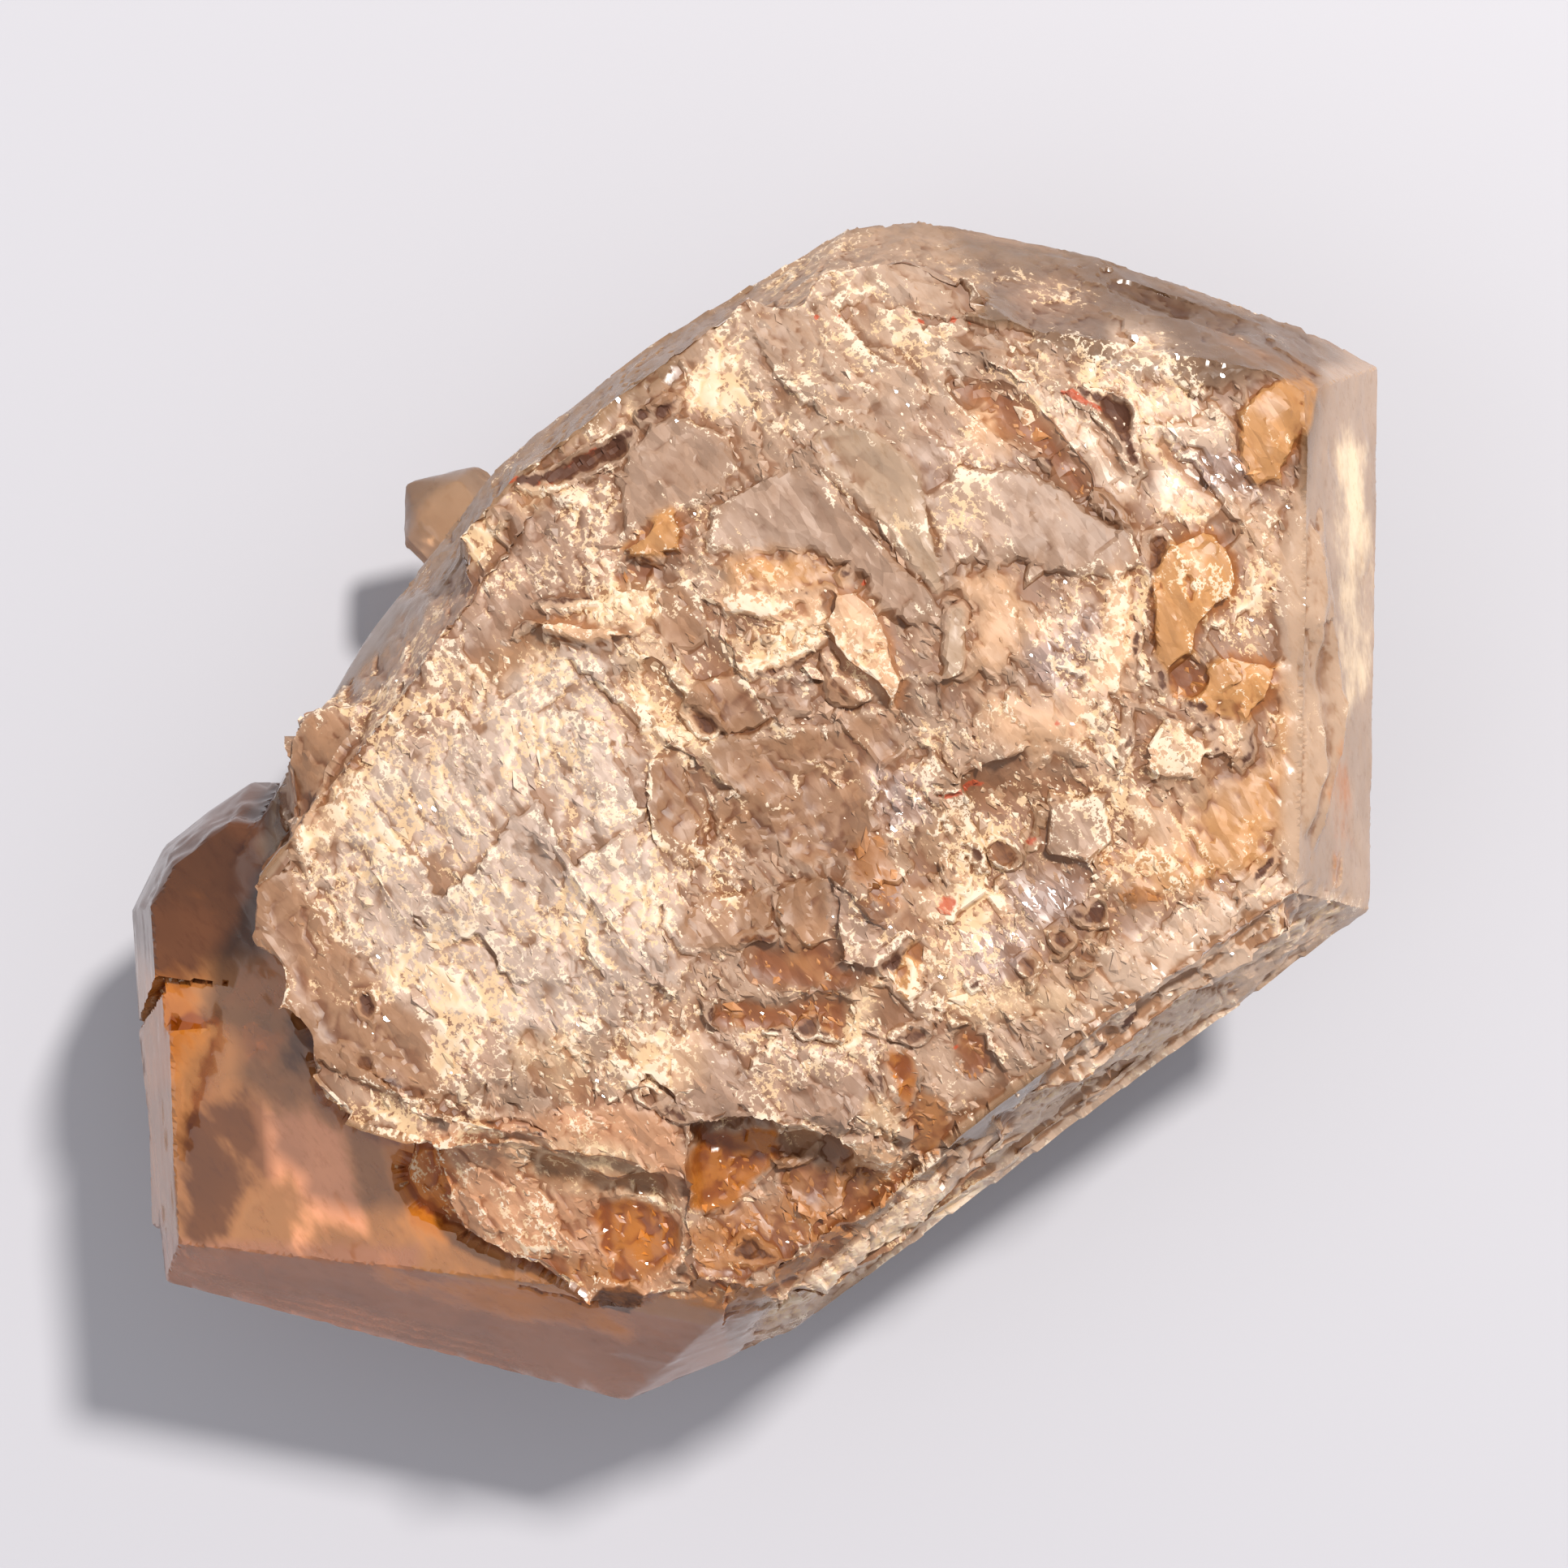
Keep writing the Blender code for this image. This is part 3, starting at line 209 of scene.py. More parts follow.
def averaged(mesh: bpy.types.Mesh, values: np.ndarray) -> np.ndarray:
    """Average a value over each vertex's neighbours.

    Args:
        mesh: The mesh whose edges join the vertices.
        values: A number or a row of numbers for each vertex.

    Returns:
        The same shape of values, averaged.
    """
    ends = np.empty(len(mesh.edges) * 2, dtype=np.int32)
    mesh.edges.foreach_get("vertices", ends)
    a, b = ends.reshape(-1, 2).T
    count = len(mesh.vertices)
    degree = np.bincount(a, minlength=count) + np.bincount(b, minlength=count)
    columns = values.reshape(count, -1)
    summed = [np.bincount(a, column[b], count) + np.bincount(b, column[a], count) for column in columns.T]
    return (np.column_stack(summed) / degree[:, None]).reshape(values.shape)


def move_vertices(mesh: bpy.types.Mesh, positions: np.ndarray) -> None:
    """Put a mesh's vertices at new positions, in metres."""
    mesh.vertices.foreach_set("co", positions.astype(np.float32).ravel())
    mesh.update()


# ------------------------------------------------------------------------------------------- plan frame


@dataclass(frozen=True)
class Plan:
    """The crystal's plan: millimetres seen from above, turned against the part's own axes."""

    turn: float = math.radians(-36.0)
    centre_x: float = -2.0
    centre_y: float = -0.4
    eye_height: float = 240.0       # of the viewer over the plan point (0, 0)
    millimetre_per_pixel: float = 1.9005e-4     # for each millimetre between the eye and what it sees

    def from_part(self, positions: np.ndarray) -> np.ndarray:
        """Return part positions, in metres, as plan millimetres.

        Args:
            positions: The part positions, one row each.

        Returns:
            The plan positions.
        """
        x, y = positions[:, 0] / MM, positions[:, 1] / MM
        cos, sin = math.cos(self.turn), math.sin(self.turn)
        return np.column_stack((x * cos + y * sin + self.centre_x, -x * sin + y * cos + self.centre_y,
                                positions[:, 2] / MM))

    def to_part(self, x: float, y: float, z: float) -> Vector:
        """Return a plan point, in millimetres, as a point of the part, in metres.

        Args:
            x: Millimetres to the right.
            y: Millimetres up the plan.
            z: Millimetres over the ground.

        Returns:
            The point.
        """
        u, v = x - self.centre_x, y - self.centre_y
        cos, sin = math.cos(self.turn), math.sin(self.turn)
        return Vector((u * cos - v * sin, u * sin + v * cos, z)) * MM


PLAN = Plan()
KEY_TOWARDS = (0.66, 0.92, 1.75)        # from the crystal towards the main light, on the plan
FILL_TOWARDS = (-1.4, -0.5, 1.6)        # and towards the broad one on the other side
KEY_DISTANCE = 0.9      # metres
FILL_DISTANCE = 1.0
DOWN = Vector((0.0, 0.0, -1.0))
OVERHEAD = 100.0        # millimetres up, from where the front is looked for
QUARTZ_INDEX = 1.544    # of refraction
Point = tuple[float, float]


# ------------------------------------------------------------------------------------------ noise fields


@dataclass(frozen=True)
class Grain:
    """Seeded random fields in space, which give the broken surface its shapes."""

    seed: int

    def _hash(self, cells: np.ndarray, salt: int) -> np.ndarray:
        """Return a random number of 0 to 1 for each integer cell.

        Args:
            cells: The cells, three whole numbers each.
            salt: A number that tells apart the uses of one cell.

        Returns:
            The random numbers.
        """
        mixed = (cells[..., 0] * 73856093) ^ (cells[..., 1] * 19349663) ^ (cells[..., 2] * 83492791)
        mixed = (mixed ^ (self.seed * 2654435 + salt * 97531)) & 0xFFFFFFFF
        mixed = ((mixed ^ (mixed >> 16)) * 73244475) & 0xFFFFFFFF
        mixed = ((mixed ^ (mixed >> 15)) * 73244475) & 0xFFFFFFFF
        return ((mixed ^ (mixed >> 16)) & 0xFFFFFF) / float(0x1000000)

    def smooth(self, points: np.ndarray, size: float) -> np.ndarray:
        """Return a soft field of −1 to 1 with bumps of the given size.

        Args:
            points: Where the field is read, in millimetres.
            size: Width of a bump.

        Returns:
            The field at each point.
        """
        scaled = points / size
        base = np.floor(scaled).astype(np.int64)
        part = scaled - base
        part = part * part * (3.0 - 2.0 * part)
        total = np.zeros(len(points))
        for corner in range(8):
            step = np.array([corner & 1, corner >> 1 & 1, corner >> 2 & 1])
            weight = np.prod(np.where(step == 1, part, 1.0 - part), axis=1)
            total += weight * self._hash(base + step, 0)
        return total * 2.0 - 1.0

    def cloudy(self, points: np.ndarray, size: float, layers: int = 4) -> np.ndarray:
        """Return a field of about −1 to 1 with detail at several sizes.

        Args:
            points: Where the field is read, in millimetres.
            size: Width of the largest bumps.
            layers: How many sizes are added up, each half the last.

        Returns:
            The field at each point.
        """
        total = np.zeros(len(points))
        share, spread = 1.0, 0.0
        for layer in range(layers):
            total += share * Grain(self.seed + 31 * layer).smooth(points + 7.3 * layer, size)
            spread += share
            share *= 0.55
            size *= 0.5
        return total / spread * 1.6

    def chips(self, points: np.ndarray, size: float, slope: float, bow: float) -> np.ndarray:
        """Return the height of a surface broken into scooped chips that meet along sharp ridges.

        Args:
            points: Where the height is read, in millimetres.
            size: Mean width of a chip.
            slope: How steeply the chips tilt, as rise over run.
            bow: How hollow each chip is, as its rise at one size from its middle.

        Returns:
            The height in millimetres.
        """
        scaled = points / size
        base = np.floor(scaled).astype(np.int64)
        lowest = np.full(len(points), 1e9)
        for dx in (-1, 0, 1):
            for dy in (-1, 0, 1):
                for dz in (-1, 0, 1):
                    cell = base + np.array((dx, dy, dz))
                    centre = cell + np.stack([self._hash(cell, salt) for salt in (1, 2, 3)], axis=1)
                    away = scaled - centre
                    tilt = np.stack([self._hash(cell, salt) for salt in (4, 5, 6)], axis=1) * 2.0 - 1.0
                    height = (np.sum(away * tilt, axis=1) * slope + np.sum(away * away, axis=1) * bow
                              + (self._hash(cell, 7) - 0.5) * bow)
                    lowest = np.minimum(lowest, height)
        return (lowest - bow * 0.2) * size

    def scarps(self, points: np.ndarray, period: float, heading: float) -> np.ndarray:
        """Return a surface of overlapping steps, each of which rises slowly and drops off sharply.

        Args:
            points: Where the height is read, in millimetres.
            period: Mean distance between two drops.
            heading: Direction on the plan in which the steps climb, in radians.

        Returns:
            The height of each point on its step, −0.5 to 0.5.
        """
        run = points[:, 0] * math.cos(heading) + points[:, 1] * math.sin(heading)
        run = run / period + 0.9 * self.cloudy(points, period * 2.6, 4)
        return (run - np.floor(run)) - 0.5


# ------------------------------------------------------------------------------------- finishes by zone


@dataclass(frozen=True)
class Surface:
    """What one kind of the stone's surface is like."""

    colour: tuple[float, float, float]      # display colour
    glass: float        # share of the light that passes into the stone
    rough: float        # roughness of the sheen
    relief: float       # how strongly the broken relief shows
    crust: float        # how much cream crust clings to it
    grain: float        # strength of the fine bumps


class Finish(Enum):
    """The kinds of surface on the crystal."""

    FACE = Surface((190, 152, 118), 0.70, 0.12, 0.05, 0.00, 0.10)
    BLOCK = Surface((212, 143, 84), 0.62, 0.05, 0.02, 0.00, 0.04)
    # orange stone, with a pink tint that is a painted reflection
    STRIP = Surface((212, 142, 102), 0.64, 0.08, 0.03, 0.00, 0.08)
    UMBER = Surface((88, 50, 26), 0.28, 0.12, 0.05, 0.00, 0.10)
    END = Surface((194, 162, 136), 0.30, 0.14, 0.05, 0.06, 0.10)
    RIM = Surface((150, 116, 86), 0.30, 0.26, 0.40, 0.18, 0.60)
    FROST = Surface((154, 124, 102), 0.05, 0.56, 0.80, 0.42, 1.00)
    PATCH = Surface((172, 150, 136), 0.04, 0.54, 0.46, 0.60, 1.00)
    SHOULDER = Surface((156, 128, 107), 0.05, 0.54, 0.42, 0.44, 1.00)
    SMOKY = Surface((144, 104, 73), 0.14, 0.48, 0.34, 0.20, 0.80)
    PLATE = Surface((148, 118, 97), 0.08, 0.52, 0.14, 0.34, 0.90)
    GREY = Surface((151, 120, 100), 0.08, 0.48, 0.50, 0.44, 1.00)
    LOBE = Surface((174, 126, 92), 0.10, 0.50, 0.50, 0.36, 1.00)
    SAIL = Surface((172, 144, 119), 0.16, 0.44, 0.08, 0.18, 0.50)
    PEACH = Surface((186, 146, 112), 0.04, 0.56, 0.30, 0.44, 0.90)
    SAND = Surface((172, 137, 108), 0.04, 0.56, 0.42, 0.52, 1.00)
    CREAM = Surface((180, 149, 119), 0.03, 0.60, 0.75, 0.66, 1.00)
    HONEY = Surface((180, 126, 70), 0.16, 0.46, 0.30, 0.28, 0.80)
    AMBER = Surface((160, 104, 54), 0.22, 0.42, 0.70, 0.14, 0.70)
    WINDOW = Surface((182, 108, 28), 0.30, 0.24, 0.45, 0.10, 0.50)
    BOXWORK = Surface((150, 115, 86), 0.05, 0.54, 1.00, 0.52, 1.00)
    MILKY = Surface((196, 168, 146), 0.12, 0.36, 0.60, 0.40, 0.80)
    DRUSY = Surface((154, 130, 121), 0.10, 0.26, 0.90, 0.38, 1.00)
    TERMINATION = Surface((116, 86, 62), 0.35, 0.28, 0.25, 0.10, 0.25)
    OLIVE = Surface((92, 48, 6), 0.20, 0.06, 0.02, 0.00, 0.04)
    GOLDEN = Surface((168, 98, 30), 0.20, 0.06, 0.02, 0.00, 0.04)
    PALE = Surface((232, 204, 168), 0.10, 0.20, 0.05, 0.00, 0.10)


@dataclass(frozen=True)
class Zone:
    """An area of the front, drawn on the plan."""

    finish: Finish
    outline: list[Point]
    edge: float = 0.5       # width over which it fades out
    wobble: float = 0.4     # how far its border wanders
    rise: float | None = None   # height of its own plane over the front's level, if it has one
    tilt: Point = (0.0, 0.0)    # slope of that plane towards x and y
    rim: float = 0.0        # cream crust along its border
    lowest: float = 20.0    # it covers only what lies over this height


@dataclass(frozen=True)
class Cloud:
    """A cloud of stain within the clear stone, drawn on the plan."""

    finish: Finish
    outline: list[Point]
    lowest: float       # it tints only what lies over this height


@dataclass(frozen=True)
class Cavity:
    """A hole or an open crack in the front, drawn on the plan."""

    outline: list[Point]
    depth: float
    amber: float = 0.4      # how far warm light reaches down its walls, 0 to 1
    wobble: float = 0.16


@dataclass(frozen=True)
class Ledge:
    """A broken edge: the stone left of the path stands up along it and slopes away behind it."""

    path: list[Point]
    rise: float
    reach: float = 1.4      # how far behind the edge the stone is raised
    crust: float = 0.0      # cream crust along the edge
    shade: float = 0.0      # painted shadow along its foot


@dataclass(frozen=True)
class Line:
    """A crack, a vein or a row of specks, drawn on the plan."""

    path: list[Point]
    width: float
    rise: float = 0.0       # height of a vein, or depth of a crack if negative
    crust: float = 0.0
    # painted shade down the crack
    dark: float = 0.0
    rust: float = 0.0
    ragged: float = 0.5     # how uneven its width is


FRONT_ZONES: list[Zone] = [
    # The upper left: a glassy rim, a cracked frosted field and the smooth triangle beside it.
    Zone(Finish.RIM, [
        (-19.6, 10.0), (-14.8, 16.7), (-7.0, 22.9), (1.4, 28.4), (2.0, 26.2), (-3.4, 22.2), (-5.4, 19.8),
        (-7.8, 18.6), (-10.6, 16.3), (-13.4, 15.1), (-14.6, 13.4), (-17.4, 9.6)
    ], edge=0.5, wobble=0.4, lowest=14.0),
    Zone(Finish.SHOULDER, [
        (-4.6, 21.6), (2.6, 28.6), (7.6, 29.0), (9.6, 25.4), (9.4, 20.6), (6.4, 16.4), (0.6, 17.0),
        (-3.0, 18.6)
    ], edge=1.0, wobble=0.8, lowest=14.0),
    Zone(Finish.TERMINATION, [
        (9.4, 26.8), (16.0, 27.0), (27.2, 23.4), (27.8, 20.6), (26.2, 20.4), (21.8, 19.8), (17.0, 20.4),
        (12.6, 21.4)
    ], edge=0.5, wobble=0.5, lowest=14.0),
    Zone(Finish.MILKY, [(16.4, 22.6), (18.0, 22.9), (19.0, 21.9), (18.4, 20.9), (16.9, 21.2)],
         edge=1.0, wobble=0.7, lowest=14.0),
    Zone(Finish.GREY, [(10.6, 25.8), (14.6, 25.4), (15.6, 23.6), (12.2, 22.8)],
         edge=1.2, wobble=0.9, lowest=14.0),
    Zone(Finish.SMOKY, [(21.8, 22.8), (25.6, 21.2), (27.4, 19.6), (24.2, 20.2)],
         edge=0.8, wobble=0.6, lowest=14.0),
    Zone(Finish.GREY, [
        (-21.8, 5.6), (-17.2, 9.8), (-14.4, 13.4), (-10.6, 15.2), (-8.2, 15.4), (-8.2, 11.6), (-10.0, 9.6),
        (-13.6, 9.0), (-18.2, 4.6)
    ], edge=0.7, wobble=0.8),
    Zone(Finish.PLATE, [
        (-7.6, 16.3), (-6.6, 17.8), (-5.0, 18.0), (-3.0, 17.2), (-2.2, 15.6), (-4.4, 13.8), (-5.4, 13.5),
        (-7.9, 12.6), (-8.1, 15.0)
    ], edge=0.4, wobble=0.3, rise=0.15, tilt=(0.06, 0.05)),
    Zone(Finish.SAND, [(-4.9, 20.2), (-3.0, 21.6), (-2.4, 20.2), (-3.6, 19.0), (-4.8, 18.2), (-5.3, 19.2)],
         edge=0.6, wobble=0.5),
    Zone(Finish.CREAM, [
        (-13.6, 14.7), (-12.4, 14.8), (-10.4, 15.2), (-11.6, 14.1), (-12.2, 13.5), (-13.0, 13.2)
    ], edge=0.3, wobble=0.2),
    Zone(Finish.CREAM, [
        (-14.6, 13.3), (-13.7, 13.0), (-14.1, 12.0), (-14.6, 11.0), (-15.6, 11.0), (-15.8, 12.4)
    ], edge=0.3, wobble=0.3),
    Zone(Finish.CREAM, [(-9.0, 17.3), (-8.3, 17.6), (-7.6, 18.9), (-7.2, 18.3), (-8.2, 17.2)],
         edge=0.25, wobble=0.2),
    Zone(Finish.SMOKY, [(-7.2, 18.5), (-6.6, 19.1), (-5.8, 19.6), (-5.1, 19.3), (-5.6, 18.7), (-6.4, 18.4)],
         edge=0.2, wobble=0.1, rise=0.3, tilt=(-0.1, 0.25)),

    # The left: the speckled patch and what borders it.
    Zone(Finish.PATCH, [
        (-22.6, -2.0), (-19.8, 1.6), (-15.4, 3.0), (-14.6, 6.4), (-12.6, 7.6), (-8.4, 6.2), (-6.8, 2.4),
        (-6.8, -2.2), (-5.2, -5.3), (-4.8, -8.0), (-5.8, -9.8), (-9.0, -12.0), (-13.6, -12.6),
        (-17.6, -12.4), (-21.2, -8.0)
    ], edge=1.2, wobble=1.0),
    Zone(Finish.CREAM, [
        (-16.0, 4.6), (-15.4, 6.0), (-13.0, 7.4), (-11.4, 7.2), (-10.8, 6.2), (-13.0, 5.6), (-14.6, 4.6)
    ], edge=0.6, wobble=0.5),
    Zone(Finish.GREY, [(-21.0, 4.6), (-17.6, 5.8), (-15.6, 4.6), (-15.6, 2.6), (-19.2, 1.8), (-22.0, 1.4)],
         edge=0.6, wobble=0.6),
    Zone(Finish.SMOKY, [
        (-24.9, 1.4), (-24.0, 3.7), (-22.2, 3.9), (-21.0, 0.6), (-22.6, -2.6), (-24.6, -2.8)
    ], edge=0.4, wobble=0.3, lowest=16.0),
    Zone(Finish.SAND, [
        (-22.6, 0.4), (-21.0, 0.8), (-21.2, -1.6), (-23.0, -3.6), (-24.6, -3.6), (-24.0, -2.0)
    ], edge=0.5, wobble=0.4, lowest=18.0),
    Zone(Finish.SMOKY, [
        (-26.6, -4.2), (-23.4, -5.0), (-21.6, -7.4), (-19.6, -10.4), (-17.2, -13.0), (-16.2, -16.4),
        (-19.6, -15.4), (-23.2, -13.6), (-25.6, -11.4), (-26.8, -8.0)
    ], edge=0.7, wobble=0.6, rise=-0.35, tilt=(0.05, 0.02), lowest=18.0),
    Zone(Finish.GREY, [(-17.2, -11.4), (-14.0, -11.4), (-13.6, -14.6), (-16.4, -15.2), (-17.6, -13.4)],
         edge=0.6, wobble=0.4, rise=-0.1),
    Zone(Finish.CREAM, [(-13.6, -12.6), (-12.4, -11.9), (-11.9, -13.2), (-12.8, -14.2)],
         edge=0.4, wobble=0.3),
    Zone(Finish.CREAM, [(-11.8, -12.2), (-10.4, -12.0), (-9.4, -13.8), (-10.6, -16.2), (-12.0, -14.4)],
         edge=0.4, wobble=0.3),

    # The middle of the top: the sail, the plates beside it and the lens plates.
    Zone(Finish.PLATE, [
        (-3.6, 13.4), (-1.6, 14.8), (0.4, 15.4), (2.2, 14.4), (4.0, 12.6), (5.6, 10.8), (7.6, 9.0),
        (8.2, 8.2), (6.0, 7.8), (4.4, 9.2), (3.4, 10.8), (1.4, 11.6), (-1.0, 11.4), (-3.6, 11.6)
    ], edge=0.4, wobble=0.3, rise=-0.1, tilt=(0.03, -0.03)),
    Zone(Finish.HONEY, [
        (-3.0, 10.8), (-1.2, 11.4), (1.0, 11.4), (2.6, 10.0), (1.4, 9.4), (0.2, 9.1), (-1.4, 9.6),
        (-2.6, 9.8)
    ], edge=0.7, wobble=0.4),
    Zone(Finish.SAIL, [
        (1.6, 17.0), (2.8, 17.6), (4.6, 17.2), (6.3, 15.7), (6.9, 14.0), (7.4, 12.0), (7.8, 9.0),
        (6.4, 10.4), (5.4, 12.0), (3.6, 14.2), (2.2, 15.6)
    ], edge=0.25, wobble=0.08, rise=-0.25, tilt=(0.10, 0.05)),
    Zone(Finish.GREY, [
        (6.4, 15.8), (6.6, 18.4), (8.6, 18.6), (9.6, 16.4), (13.0, 15.2), (10.0, 14.6), (7.2, 14.0)
    ], edge=0.6, wobble=0.5),
    Zone(Finish.PLATE, [
        (7.1, 14.2), (8.4, 15.4), (11.0, 15.6), (13.4, 15.0), (15.0, 13.6), (17.2, 12.4), (17.8, 10.8),
        (16.4, 9.8), (13.4, 10.2), (11.4, 11.0), (9.6, 10.8), (8.6, 9.6), (7.9, 9.4), (7.5, 11.6)
    ], edge=0.35, wobble=0.25, rise=0.25, tilt=(0.02, -0.03)),
    Zone(Finish.SMOKY, [(14.6, 15.0), (15.8, 14.6), (17.0, 13.4), (17.3, 12.5), (16.2, 12.9), (15.0, 13.8)],
         edge=0.25, wobble=0.15, rise=0.35, tilt=(0.10, 0.12)),
    Zone(Finish.HONEY, [
        (-8.1, 11.6), (-7.2, 12.3), (-6.4, 13.2), (-5.4, 13.7), (-4.8, 12.8), (-5.0, 11.4), (-6.0, 11.1),
        (-7.6, 11.2)
    ], edge=0.3, wobble=0.1, rise=0.35, tilt=(0.04, 0.05)),
    Zone(Finish.AMBER, [(-8.5, 10.1), (-7.4, 10.7), (-6.2, 10.9), (-6.3, 10.2), (-7.2, 9.9)],
         edge=0.25, wobble=0.1, rise=-0.3),
    Zone(Finish.CREAM, [
        (-12.2, 8.7), (-9.2, 9.2), (-7.6, 10.1), (-6.2, 9.9), (-5.9, 8.2), (-7.0, 7.3), (-8.2, 7.7),
        (-9.8, 8.3)
    ], edge=0.35, wobble=0.3, rise=0.2, tilt=(0.0, 0.06)),
    Zone(Finish.PEACH, [
        (-12.4, 8.0), (-10.8, 8.2), (-9.6, 7.8), (-8.2, 7.6), (-7.2, 7.3), (-8.6, 7.0), (-9.6, 6.9),
        (-10.8, 7.1), (-11.8, 7.6)
    ], edge=0.25, wobble=0.12, rise=0.55, tilt=(0.0, 0.15)),
    Zone(Finish.SMOKY, [
        (-6.0, 9.4), (-5.2, 9.7), (-4.2, 9.1), (-3.9, 7.8), (-4.0, 6.8), (-4.8, 6.6), (-5.8, 7.2),
        (-6.1, 8.4)
    ], edge=0.35, wobble=0.2, rise=-0.1, tilt=(0.1, 0.0)),

    # Below them: ribs, thin cream plates and the flag.
    Zone(Finish.CREAM, [
        (-8.0, 6.6), (-6.4, 7.4), (-4.6, 5.0), (-3.0, 2.2), (-1.4, -0.6), (-3.4, 0.2), (-4.8, 1.4),
        (-6.6, 2.6), (-7.8, 4.8)
    ], edge=0.7, wobble=0.5),
    Zone(Finish.SMOKY, [(-8.2, 5.2), (-7.6, 4.6), (-6.8, 3.6), (-6.4, 2.9), (-7.2, 3.1), (-7.9, 4.2)],
         edge=0.25, wobble=0.12, rise=-0.35),
    Zone(Finish.PEACH, [
        (-3.4, 8.9), (-2.6, 8.4), (-1.2, 8.1), (0.2, 7.6), (1.8, 8.0), (2.0, 9.4), (0.2, 9.0), (-1.8, 9.4)
    ], edge=0.4, wobble=0.3, rise=0.1),
    Zone(Finish.CREAM, [
        (-3.2, 7.3), (-1.2, 7.6), (0.4, 7.7), (2.2, 8.6), (1.8, 7.0), (1.0, 6.3), (-0.6, 6.0), (-2.2, 5.6),
        (-2.8, 6.4)
    ], edge=0.3, wobble=0.2, rise=0.45, tilt=(0.02, 0.08)),
    Zone(Finish.PEACH, [
        (-2.4, 5.4), (-1.0, 5.5), (0.2, 5.8), (1.4, 6.5), (0.4, 6.4), (-0.8, 6.1), (-2.0, 5.8)
    ], edge=0.2, wobble=0.08, rise=0.25, tilt=(0.0, 0.30)),
    Zone(Finish.SMOKY, [
        (-5.0, 4.0), (-4.2, 5.3), (-3.0, 5.5), (-1.8, 4.6), (-0.8, 2.8), (-2.4, 2.2), (-3.8, 3.0)
    ], edge=0.3, wobble=0.15, rise=0.15, tilt=(-0.08, 0.10)),
    Zone(Finish.GREY, [(-1.1, 5.1), (0.2, 5.6), (1.5, 5.7), (1.8, 4.4), (1.2, 3.6), (0.3, 3.6), (-0.5, 4.1)],
         edge=0.25, wobble=0.1, rise=0.1, tilt=(0.0, 0.14)),
    Zone(Finish.PEACH, [
        (2.0, 7.9), (2.3, 9.5), (3.6, 9.8), (4.6, 8.8), (5.3, 7.2), (6.1, 4.9), (5.3, 3.4), (4.5, 4.6),
        (3.0, 5.6), (2.2, 6.6)
    ], edge=0.25, wobble=0.10, rise=0.50, tilt=(0.02, 0.07), rim=0.35),
    Zone(Finish.SMOKY, [(1.8, 6.2), (2.4, 5.3), (3.2, 4.4), (4.1, 3.8), (3.4, 3.5), (2.2, 4.0), (1.9, 5.0)],
         edge=0.25, wobble=0.1, rise=-0.25),

    # The smooth smoky middle and the pointed plate under it.
    Zone(Finish.SMOKY, [
        (-4.0, 1.4), (-2.0, 2.4), (2.0, 2.6), (5.4, 3.4), (6.0, 1.6), (4.2, 0.4), (4.4, -2.2), (3.0, -3.8),
        (0.2, -3.4), (-2.6, -3.2), (-3.4, -0.8), (-2.2, -0.4)
    ], edge=0.5, wobble=0.5, rise=-0.35, tilt=(-0.02, 0.03)),
    Zone(Finish.SMOKY, [
        (-6.6, 1.0), (-4.8, 1.0), (-4.4, -0.4), (-3.4, -1.8), (-4.0, -4.2), (-5.6, -3.2), (-6.5, -1.6)
    ], edge=0.4, wobble=0.4, rise=-0.30, tilt=(0.05, 0.0)),
    Zone(Finish.SMOKY, [
        (-5.2, -6.6), (-3.6, -5.5), (-1.0, -5.0), (-0.6, -7.0), (-1.6, -7.8), (-3.6, -8.2), (-4.9, -7.8)
    ], edge=0.35, wobble=0.25, rise=-0.1, tilt=(0.05, 0.08)),
    Zone(Finish.AMBER, [
        (-1.9, -7.9), (-0.2, -8.0), (1.8, -5.6), (2.0, -7.6), (3.4, -8.6), (4.2, -9.4), (2.4, -10.2),
        (-1.4, -9.6)
    ], edge=0.5, wobble=0.4, rise=-0.45),
    Zone(Finish.SMOKY, [
        (-0.6, -5.2), (0.6, -4.4), (2.0, -4.6), (2.2, -6.4), (1.6, -8.0), (0.2, -8.6), (-0.2, -6.8)
    ], edge=0.4, wobble=0.3, rise=-0.4),
    Zone(Finish.AMBER, [(3.2, -3.2), (4.6, -2.6), (5.4, -4.0), (6.0, -6.2), (4.6, -5.8), (3.6, -4.6)],
         edge=0.5, wobble=0.3, rise=-0.2),
    Zone(Finish.GREY, [
        (2.0, -4.0), (3.4, -4.9), (4.8, -6.3), (6.6, -7.2), (5.4, -8.5), (4.2, -9.6), (2.4, -9.0),
        (2.3, -7.0)
    ], edge=0.25, wobble=0.12, rise=0.35, tilt=(0.03, 0.06), rim=0.3),
    Zone(Finish.HONEY, [(6.4, -7.6), (6.9, -8.2), (6.8, -9.6), (6.2, -10.8), (5.4, -10.2), (5.1, -9.4)],
         edge=0.3, wobble=0.2, rise=-0.3, tilt=(0.1, -0.1)),
    Zone(Finish.CREAM, [(3.2, -10.2), (4.6, -9.4), (4.9, -10.2), (3.8, -11.8), (3.0, -12.4), (2.9, -11.2)],
         edge=0.3, wobble=0.25),
    Zone(Finish.AMBER, [
        (-3.6, -11.2), (-2.0, -10.7), (0.0, -11.0), (1.6, -10.7), (2.8, -10.8), (2.9, -12.6), (1.9, -12.3),
        (1.7, -11.4), (0.6, -11.9), (-2.0, -12.0), (-3.2, -11.9)
    ], edge=0.3, wobble=0.2, rise=-0.35),

    # Right of the middle: the peach panels, the frosted crust between them and the boxwork.
    Zone(Finish.FROST, [
        (8.2, 10.8), (12.4, 10.6), (15.8, 9.8), (15.6, 4.4), (12.0, 1.8), (8.0, 0.2), (5.6, 2.0), (7.0, 6.0)
    ], edge=0.8, wobble=0.7),
